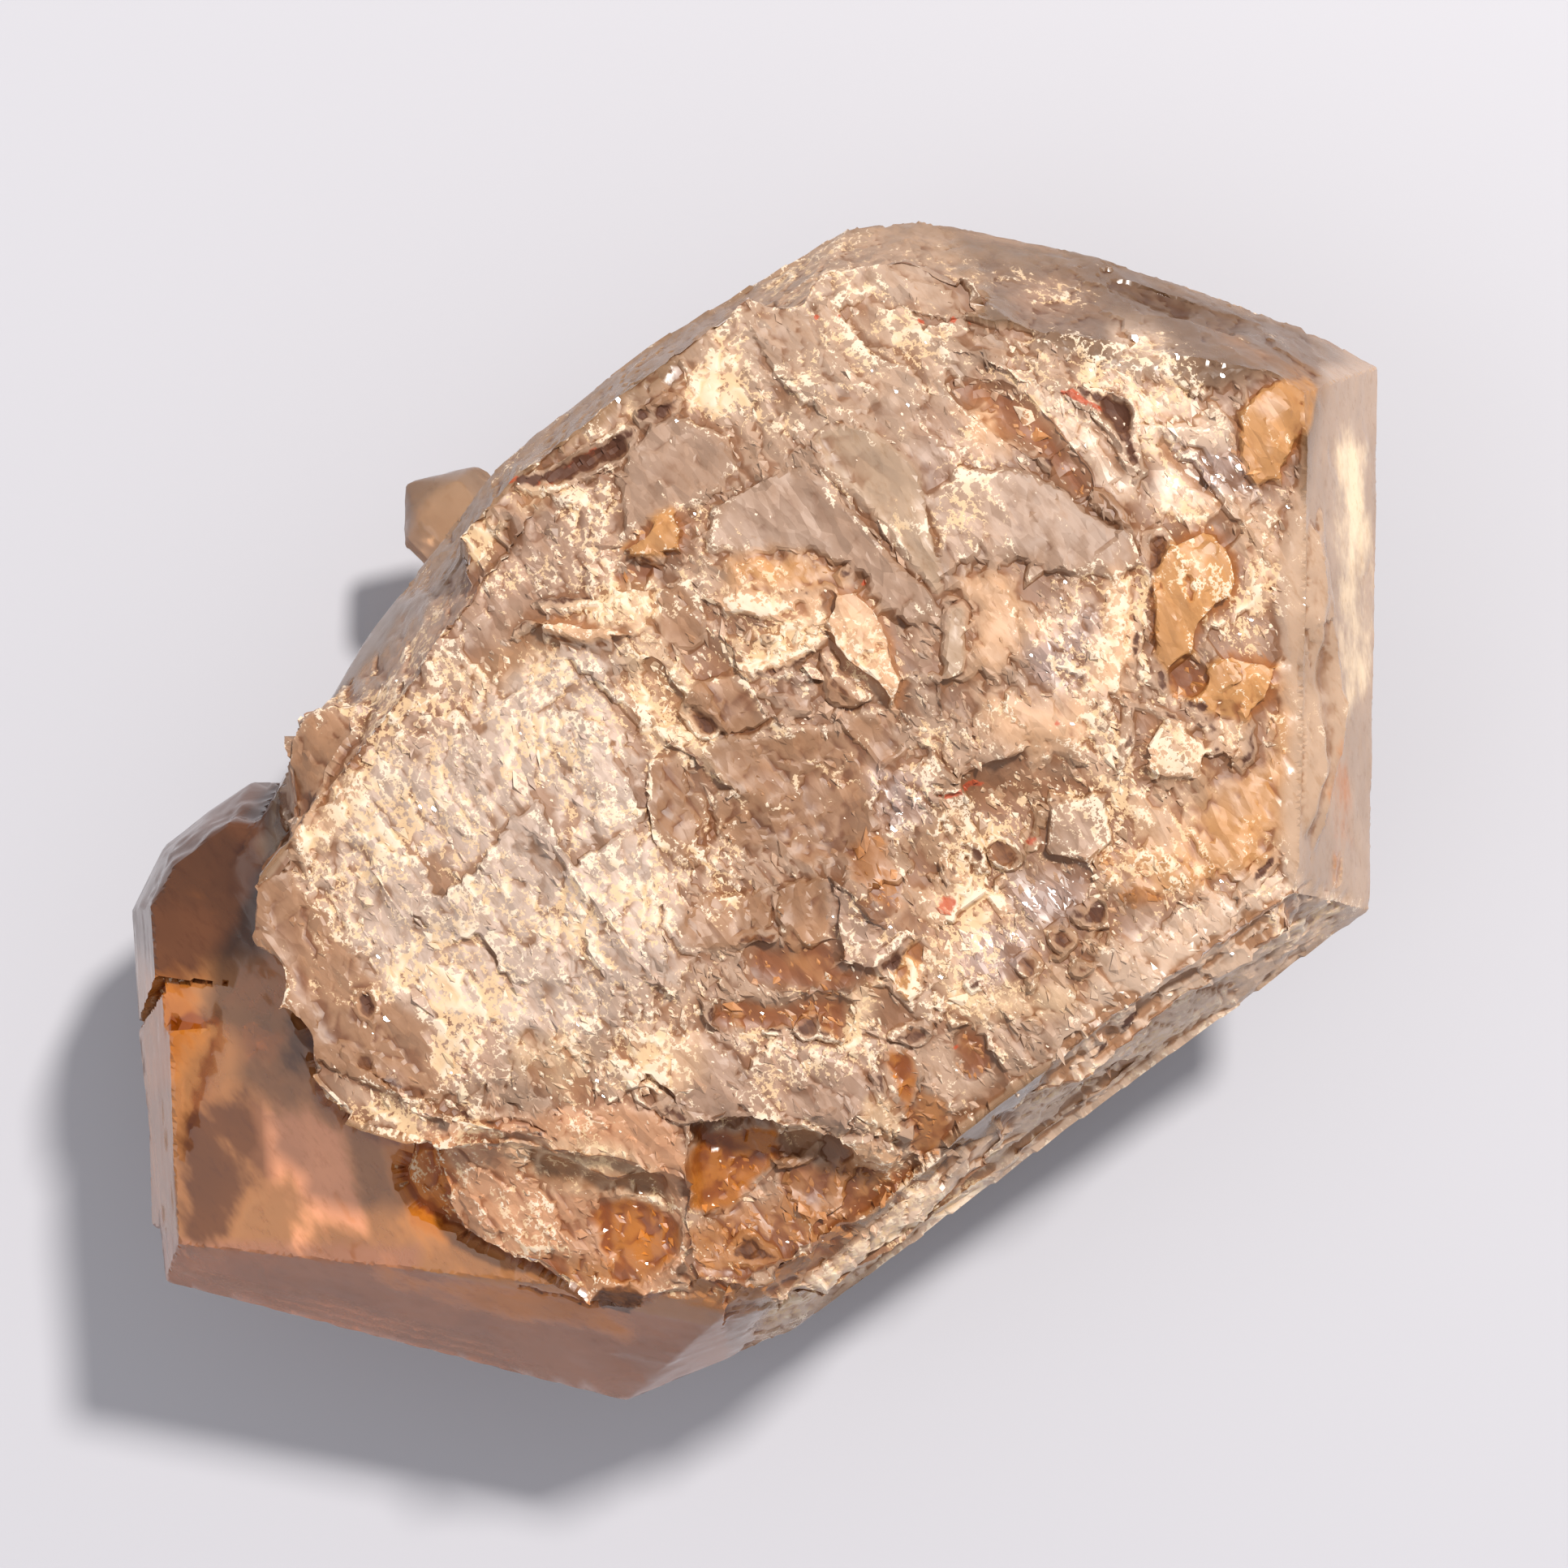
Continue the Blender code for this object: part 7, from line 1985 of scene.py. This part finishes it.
    def _face_share(self, positions: np.ndarray, tree: BVHTree,
                    group_area: np.ndarray) -> tuple[np.ndarray, np.ndarray]:
        """Return where each vertex meets the solid, and 1 where that is a broad crystal face.

        Args:
            positions: The vertices, in metres.
            tree: Search tree of the solid's faces.
            group_area: The flat area of each face.

        Returns:
            The nearest places on the solid, and the shares.
        """
        places = np.empty_like(positions)
        share = np.zeros(len(positions))
        for index, position in enumerate(positions):
            place, normal, face, gap = tree.find_nearest(position)
            places[index] = place
            off_face = gap > self.face_gap or (normal.z > 0.72 and position[2] > self.front_over)
            share[index] = 0.0 if off_face else float(group_area[face] > self.broad_face)
        return places, share

    def _snap(self, piece: bpy.types.Object, tree: BVHTree, group_area: np.ndarray) -> np.ndarray:
        """Lay the fine mesh exactly on the broad faces, and return which vertices lie on one.

        Args:
            piece: The crystal's body.
            tree: Search tree of the solid's faces.
            group_area: The flat area of each face.

        Returns:
            1 for each that does.
        """
        positions = vertex_positions(piece.data)
        places, on_face = self._face_share(positions, tree, group_area)
        positions += (places - positions) * on_face[:, None]
        move_vertices(piece.data, positions)
        return on_face

    def _shape_front(self, piece: bpy.types.Object, on_face: np.ndarray) -> None:
        """Give the front its plates, basins, holes and ledges over its own general level.

        Args:
            piece: The crystal's body.
            on_face: 1 for each vertex on a broad face.
        """
        mesh, sheet = piece.data, self.sheet
        positions, normals = vertex_positions(mesh), vertex_normals(mesh)
        plan = PLAN.from_part(positions)
        surface = SurfaceMap(plan, normals, on_face)
        surface.paint_front()
        top = (normals[:, 2] > 0.1) & (np.abs(plan[:, 2] - sheet.read(sheet.filled, plan)) < 1.3)
        share = sheet.read(sheet.share, plan) * top
        rise = (sheet.read(sheet.level, plan) - plan[:, 2]) * share
        lift = surface.values["lift"]
        lift = lift * np.where(lift < -0.5, top, share)     # holes are cut on the front's border too
        rise += lift * ramp(plan[:, 2], 15.0, 18.0)
        sideways = np.column_stack([0.22 * Grain(61 + axis).cloudy(plan, 2.4, 2)
                                    + 0.10 * Grain(71 + axis).cloudy(plan, 0.8, 2) for axis in range(2)])
        sideways *= ((1.0 - on_face) * ramp(plan[:, 2], 15.0, 19.0) * (1.0 - share))[:, None]
        shift = np.column_stack((sideways, rise))
        moved = [PLAN.to_part(*row) for row in plan + shift]
        move_vertices(mesh, np.array(moved))

    def _break_surface(self, piece: bpy.types.Object, on_face: np.ndarray) -> None:
        """Break the surface into chips, raise veins, cut hairline cracks and line the smooth faces.

        Args:
            piece: The crystal's body.
            on_face: 1 for each vertex on a broad face.
        """
        mesh = piece.data
        positions, normals = vertex_positions(mesh), vertex_normals(mesh)
        plan = PLAN.from_part(positions)
        surface = SurfaceMap(plan, normals, on_face)
        surface.paint_front()
        surface.paint_sides()
        height = self.breakage.height(plan, surface.values["relief"]) + surface.values["carve"]
        lines = np.sin(plan[:, 2] * 5.2 + 1.4 * Grain(43).smooth(plan, 4.0)) * self.breakage.growth_line
        height += lines * on_face * (np.abs(normals[:, 2]) < 0.7)
        height *= ramp(plan[:, 2], 0.25, 1.6)       # the foot stays flat
        height = np.clip(height, self.breakage.deepest, self.breakage.highest)
        move_vertices(mesh, positions + normals * (height * MM)[:, None])

    def _thin_out(self, piece: bpy.types.Object) -> None:
        """Take triangles from the plain sides and back, and keep the front fine.

        Args:
            piece: The crystal's body.
        """
        mesh = piece.data
        apply_modifier(piece, "TRIANGULATE")
        before = len(mesh.polygons)
        positions, normals = vertex_positions(mesh), vertex_normals(mesh)
        plain = (positions[:, 2] < self.fine_over) | (normals[:, 2] < -0.35)
        make_active(piece)
        mesh.vertices.foreach_set("select", plain)
        corners = np.empty(len(mesh.polygons) * 3, dtype=np.int32)
        mesh.polygons.foreach_get("vertices", corners)
        mesh.polygons.foreach_set("select", plain[corners.reshape(-1, 3)].all(axis=1))
        bpy.ops.object.mode_set(mode="EDIT")
        bpy.ops.mesh.select_mode(type="FACE")
        bpy.ops.mesh.decimate(ratio=self.coarse_share)
        bpy.ops.object.mode_set(mode="OBJECT")
        between = len(piece.data.polygons)
        apply_modifier(piece, "DECIMATE", ratio=min(1.0, self.most_triangles / between))
        LOG.info("thinned out from %d to %d to %d triangles", before, between, len(piece.data.polygons))

    def _crest(self, mesh: bpy.types.Mesh) -> np.ndarray:
        """Measure how far each vertex stands over its surroundings.

        Args:
            mesh: The carved mesh.

        Returns:
            A value of 0 in hollows to 1 on crests, 0.5 on the flat.
        """
        positions, normals = vertex_positions(mesh) / MM, vertex_normals(mesh)
        mean, total = positions.copy(), np.zeros(len(positions))
        for rounds, weight in self.CREST_ROUNDS:
            for _ in range(rounds):
                mean = 0.5 * mean + 0.5 * averaged(mesh, mean)
            total += weight * np.sum((positions - mean) * normals, axis=1)
        return np.clip(0.5 + total, 0.0, 1.0)

    def _paint(self, piece: bpy.types.Object, tree: BVHTree, group_area: np.ndarray) -> None:
        """Write the finish of each vertex as attributes.

        Args:
            piece: The crystal's body.
            tree: Search tree of the solid's faces.
            group_area: The flat area of each face.
        """
        mesh, sheet = piece.data, self.sheet
        positions, normals = vertex_positions(mesh), vertex_normals(mesh)
        _, on_face = self._face_share(positions, tree, group_area)
        surface = SurfaceMap(PLAN.from_part(positions), normals, on_face)
        surface.paint_front()
        surface.paint_specks(RUST_SPECKS)
        surface.paint_sides()
        surface.paint_clouds(CLOUDS)
        plan = surface.plan
        surface.paint_depths((sheet.read(sheet.level, plan) - plan[:, 2]) * sheet.read(sheet.share, plan))
        for name, colours in (("tone", surface.colour), ("stain", surface.stain)):
            write_attribute(mesh, name, np.column_stack((colours, np.ones(len(positions)))))
        mottle = 0.5 + 0.5 * Grain(53).cloudy(plan, 3.2, 4)
        values = dict(surface.values, crest=self._crest(mesh), mottle=mottle)
        inner = sheet.read(sheet.share, plan) * (1.0 - on_face)
        values["shape"] = surface.values["relief"] * inner * (1.0 - np.minimum(surface.values["dark"], 1.0))
        for name in NUMBERS:
            write_attribute(mesh, name, values[name])


@dataclass(frozen=True)
class BrokenShards:
    """Small angular splinters of the stone, half sunk in its frosted front and lying along its breaks."""

    body: bpy.types.Object
    seats: int = 16000              # places tried on the front
    seed: int = 21
    area: tuple[Point, Point] = ((-27.0, -30.0), (31.0, 29.0))      # corners, on the plan
    lowest: float = 23.0 * MM       # height under which there are none
    least_relief: float = 0.34      # relief under which there are none
    most_used: float = 0.85         # share of the places where the relief is full
    shortest: float = 0.06 * MM
    longer: float = 0.070 * MM      # a third of what is added to that on average
    stray: float = 0.45             # how far they lie off the way that the stone broke, in radians
    lean: float = 0.16              # how far they lean over
    skew: float = 0.7               # how uneven they are

    # Corners of a splinter's eight faces: four round its rim, then its top and its foot.
    FACES = ((0, 1, 4), (1, 2, 4), (2, 3, 4), (3, 0, 4), (1, 0, 5), (2, 1, 5), (3, 2, 5), (0, 3, 5))

    def build(self) -> bpy.types.Object:
        """Make every splinter as one joined piece.

        Returns:
            The finished piece.
        """
        chance = np.random.default_rng(self.seed)
        places, normals, sources = self._seat(chance)
        relief = self._attribute("shape", 1)[sources, 0]
        kept = chance.random(len(places)) < np.clip((relief - self.least_relief) * 1.3, 0.0, self.most_used)
        places, sources = places[kept], sources[kept]
        corners = (places[:, None, :] + self._corners(normals[kept], chance)).reshape(-1, 3)
        faces = (np.arange(len(places))[:, None, None] * 6 + np.array(self.FACES)).reshape(-1, 3)
        mesh = bpy.data.meshes.new("broken_shards")
        mesh.from_pydata(corners, [], faces)
        self._dress(mesh, sources, chance)
        mesh.materials.append(self.body.data.materials[0])
        return new_piece("broken_shards", mesh)

    def _corners(self, normals: np.ndarray, chance: np.random.Generator) -> np.ndarray:
        """Shape each splinter round its own middle.

        Args:
            normals: The way that each one stands, one row each.
            chance: The source of random numbers.

        Returns:
            Six corners for each splinter, in metres.
        """
        number = len(normals)
        heading = PLAN.turn + FLOW_HEADING + chance.normal(0.0, self.stray, number)
        along = np.column_stack((np.cos(heading), np.sin(heading), np.zeros(number)))
        normals = normals + chance.normal(0.0, self.lean, (number, 3))
        normals /= np.linalg.norm(normals, axis=1)[:, None]
        along -= normals * np.sum(along * normals, axis=1)[:, None]
        along /= np.linalg.norm(along, axis=1)[:, None]
        length = chance.gamma(3.0, 1.0, number)[:, None] * self.longer + self.shortest
        width = length * chance.uniform(0.30, 0.62, number)[:, None]
        height = width * chance.uniform(0.35, 0.75, number)[:, None]
        jitter = chance.uniform(0.55, 1.35, (number, 6, 1))
        skew = chance.uniform(-0.5, 0.5, (number, 6, 1))
        forward, sideways, up = along * length, np.cross(normals, along) * width, normals * height
        tips = np.stack((forward, sideways, -forward, -sideways, up, -up), axis=1) * jitter
        aside = np.stack((sideways, forward, sideways, forward, forward, forward), axis=1)
        return tips + aside * skew * self.skew

    def _seat(self, chance: np.random.Generator) -> tuple[np.ndarray, np.ndarray, np.ndarray]:
        """Find places on the front, their normals and the nearest vertex of the body.

        Args:
            chance: The source of random numbers.

        Returns:
            All three, one row each.
        """
        tree = BVHTree.FromObject(self.body, bpy.context.evaluated_depsgraph_get())
        polygons = self.body.data.polygons
        found = []
        for x, y in chance.uniform(*self.area, (self.seats * 2, 2)).tolist():
            place, normal, face, _ = tree.ray_cast(PLAN.to_part(x, y, OVERHEAD), DOWN)
            if place is not None and place.z > self.lowest and normal.z > 0.5:
                found.append((*place, *normal, polygons[face].vertices[0]))
        rows = np.array(found[:self.seats])
        return rows[:, :3], rows[:, 3:6], rows[:, 6].astype(int)

    def _attribute(self, name: str, width: int) -> np.ndarray:
        """Read one of the body's attributes, a row for each vertex.

        Args:
            name: The attribute's name.
            width: 1 for a number, 4 for a colour.

        Returns:
            The rows.
        """
        values = np.empty(len(self.body.data.vertices) * width, dtype=np.float32)
        key = "value" if width == 1 else "color"
        self.body.data.attributes[name].data.foreach_get(key, values)
        return values.reshape(-1, width)

    def _dress(self, mesh: bpy.types.Mesh, sources: np.ndarray, chance: np.random.Generator) -> None:
        """Give the splinters the finish of the stone under them, each a little lighter or darker.

        Args:
            mesh: The splinters' mesh.
            sources: The body's vertex under each one.
            chance: The source of random numbers.
        """
        number = len(sources)
        shade = chance.normal(1.0, 0.10, number)
        for name in ("tone", "stain"):
            colours = self._attribute(name, 4)[sources]
            colours[:, :3] *= shade[:, None]
            write_attribute(mesh, name, np.clip(np.repeat(colours, 6, axis=0), 0.0, 1.0))
        for name in NUMBERS:
            values = self._attribute(name, 1)[sources, 0]
            if name == "glass":
                values *= 0.0
            elif name == "crest":
                values = 0.45 + 0.35 * chance.random(number)
            elif name == "crust":
                values = values + chance.normal(0.0, 0.12, number)
            # the painted shade of the stone under them, weaker
            elif name == "dark":
                values *= 0.6
            write_attribute(mesh, name, np.repeat(values.astype(np.float32), 6))


def light_place(towards: tuple[float, float, float], distance: float) -> Vector:
    """Return where a light hangs.

    Args:
        towards: The way to it from the crystal, on the plan.
        distance: How far off it hangs, in metres.

    Returns:
        Its place, in metres.
    """
    centre = PLAN.to_part(0.0, 0.0, 0.0)
    return centre + (PLAN.to_part(*towards) - centre).normalized() * distance


@dataclass(frozen=True)
class GlintCrystals:
    """Small clean facets, seated in the front, that flash in the light."""

    body: bpy.types.Object
    small_ones: int = 260
    seed: int = 7
    across: tuple[float, float] = (-23.0, 25.0)     # where the small ones lie on the plan
    up: tuple[float, float] = (-24.0, 26.0)
    widths: tuple[float, float] = (0.10, 0.24)      # of the small ones, in millimetres
    stray: float = 0.16             # how far their tops turn away
    lowest: float = 25.0 * MM       # height under which there are none
    slender: float = 0.62           # width over length
    flare: float = 1.5              # of the sunk foot, over the top

    def build(self) -> bpy.types.Object:
        """Make every facet as one joined piece.

        Returns:
            The finished piece.
        """
        tree = BVHTree.FromObject(self.body, bpy.context.evaluated_depsgraph_get())
        chance = random.Random(self.seed)
        sheet = bmesh.new()
        for spot in SPARKLES:
            self._facet(sheet, tree, chance, spot, 0.0)
        for _ in range(self.small_ones):
            x, y, width = (chance.uniform(*limits) for limits in (self.across, self.up, self.widths))
            self._facet(sheet, tree, chance, (x, y, width), self.stray)
        mesh = bpy.data.meshes.new("glint_crystals")
        sheet.to_mesh(mesh)
        sheet.free()
        mesh.materials.append(self._finish())
        return new_piece("glint_crystals", mesh)

    def _facet(self, sheet: bmesh.types.BMesh, tree: BVHTree, chance: random.Random,
               spot: tuple[float, float, float], stray: float) -> None:
        """Add one small flat-topped crystal, its top turned so that it throws the light upwards.

        Args:
            sheet: Where the crystals are gathered.
            tree: Search tree of the body's faces.
            chance: The source of random numbers.
            spot: Its place on the plan and its width, in millimetres.
            stray: How far its top turns away from that, at most.
        """
        place, _, _, _ = tree.ray_cast(PLAN.to_part(spot[0], spot[1], OVERHEAD), DOWN)
        if place is None or place.z < self.lowest:
            return
        eye, light = PLAN.to_part(0.0, 0.0, PLAN.eye_height), light_place(KEY_TOWARDS, KEY_DISTANCE)
        normal = ((light - place).normalized() + (eye - place).normalized()).normalized()
        normal = (normal + Vector([chance.uniform(-stray, stray) for _ in range(3)])).normalized()
        turn = normal.to_track_quat("Z", "Y")
        sides = chance.choice((4, 5, 6))
        long_way = chance.uniform(0.0, math.pi)
        width = spot[2] * MM
        rise, sunk = Vector((0.0, 0.0, 0.10 * width)), Vector((0.0, 0.0, -0.7 * width))
        top, foot = [], []
        for number in range(sides):
            angle = long_way + math.tau * (number + chance.uniform(-0.2, 0.2)) / sides
            reach = 0.5 * width * chance.uniform(0.75, 1.15)
            corner = Vector((math.cos(angle) * reach, math.sin(angle) * reach * self.slender, 0.0))
            top.append(sheet.verts.new(place + turn @ (corner + rise)))
            foot.append(sheet.verts.new(place + turn @ (corner * self.flare + sunk)))
        add_prism(sheet, top, foot)

    def _finish(self) -> bpy.types.Material:
        """Make the clean glassy finish of the small crystals.

        Returns:
            The material.
        """
        material = bpy.data.materials.new("glint_quartz")
        material.use_nodes = True
        shader = material.node_tree.nodes["Principled BSDF"]
        shader.inputs["Base Color"].default_value = (*linear(214, 190, 170), 1.0)
        shader.inputs["Roughness"].default_value = 0.10
        shader.inputs["IOR"].default_value = QUARTZ_INDEX
        return material


# -------------------------------------------------------------------------------------------- the studio


@dataclass(frozen=True)
class Studio:
    """The pale floor, the soft lights and the camera."""

    floor_size: float = 3.0
    floor_colour: tuple[float, float, float] = (179, 178, 184)
    key_strength: float = 10.5      # watts
    key_size: float = 0.10
    key_colour: tuple[float, float, float] = (1.0, 0.965, 0.915)
    fill_strength: float = 1.5
    fill_size: float = 0.8
    fill_colour: tuple[float, float, float] = (0.93, 0.96, 1.0)
    world_strength: float = 0.60
    world_colour: tuple[float, float, float] = (0.98, 0.98, 1.01)
    lens_sensor: float = 36.0

    def build(self) -> None:
        """Set up the floor, the lights and the camera."""
        self._floor()
        self._area("key_light", light_place(KEY_TOWARDS, KEY_DISTANCE), self.key_size, self.key_strength,
                   self.key_colour)
        self._area("fill_light", light_place(FILL_TOWARDS, FILL_DISTANCE), self.fill_size, self.fill_strength,
                   self.fill_colour)
        self._world()
        self._camera()
        bpy.context.scene.view_settings.view_transform = "Standard"

    def _floor(self) -> None:
        """Lay the floor that the crystal rests on."""
        deselect_all()
        bpy.ops.mesh.primitive_plane_add(size=self.floor_size, location=(0.0, 0.0, -0.00005))
        floor = bpy.context.object
        floor.name = "studio_floor"
        material = bpy.data.materials.new("pale_floor")
        material.use_nodes = True
        shader = material.node_tree.nodes["Principled BSDF"]
        shader.inputs["Base Color"].default_value = (*linear(*self.floor_colour), 1.0)
        shader.inputs["Roughness"].default_value = 0.7
        floor.data.materials.append(material)

    def _area(self, name: str, place: Vector, size: float, power: float,
              colour: tuple[float, float, float]) -> None:
        """Add a soft light that faces the crystal.

        Args:
            name: The light's name.
            place: Where it hangs, in metres.
            size: Its width.
            power: Its power in watts.
            colour: Its linear colour.
        """
        data = bpy.data.lights.new(name, "AREA")
        data.shape = "DISK"
        data.size = size
        data.energy = power
        data.color = colour
        lamp = bpy.data.objects.new(name, data)
        lamp.location = place
        lamp.rotation_euler = (Vector((0.0, 0.0, 0.015)) - place).to_track_quat("-Z", "Y").to_euler()
        bpy.context.scene.collection.objects.link(lamp)

    def _world(self) -> None:
        """Light the studio evenly from all round."""
        world = bpy.data.worlds.new("studio_air")
        world.use_nodes = True
        background = world.node_tree.nodes["Background"]
        background.inputs["Color"].default_value = (*self.world_colour, 1.0)
        background.inputs["Strength"].default_value = self.world_strength
        bpy.context.scene.world = world

    def _camera(self) -> None:
        """Look straight down on the plan, with the crystal in the middle of the frame."""
        data = bpy.data.cameras.new("camera")
        data.sensor_width = self.lens_sensor
        data.lens = self.lens_sensor / (FRAME_SIDE * PLAN.millimetre_per_pixel)
        data.clip_start = 0.01
        camera = bpy.data.objects.new("camera", data)
        eye = PLAN.to_part(0.0, 0.0, PLAN.eye_height)
        camera.matrix_world = Matrix.Translation(eye) @ Matrix.Rotation(PLAN.turn, 4, "Z")
        bpy.context.scene.collection.objects.link(camera)
        bpy.context.scene.camera = camera


def main() -> None:
    """Build the crystal and the studio, and report each piece."""
    logging.basicConfig(level=logging.INFO, format="%(relativeCreated)7.0f ms %(name)s: %(message)s")
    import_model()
    crystal = QuartzCrystal(SmokyQuartz()).build()
    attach(crystal, BODY)
    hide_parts(NODE)
    LOG.info("crystal: %d triangles", len(crystal.data.polygons))
    shards = BrokenShards(crystal).build()
    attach(shards, BODY)
    LOG.info("broken shards: %d triangles", len(shards.data.polygons))
    glints = GlintCrystals(crystal).build()
    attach(glints, BODY)
    LOG.info("glint crystals: %d faces", len(glints.data.polygons))
    Studio().build()
    LOG.info("studio: floor, lights and camera")


if __name__ == "__main__":
    main()
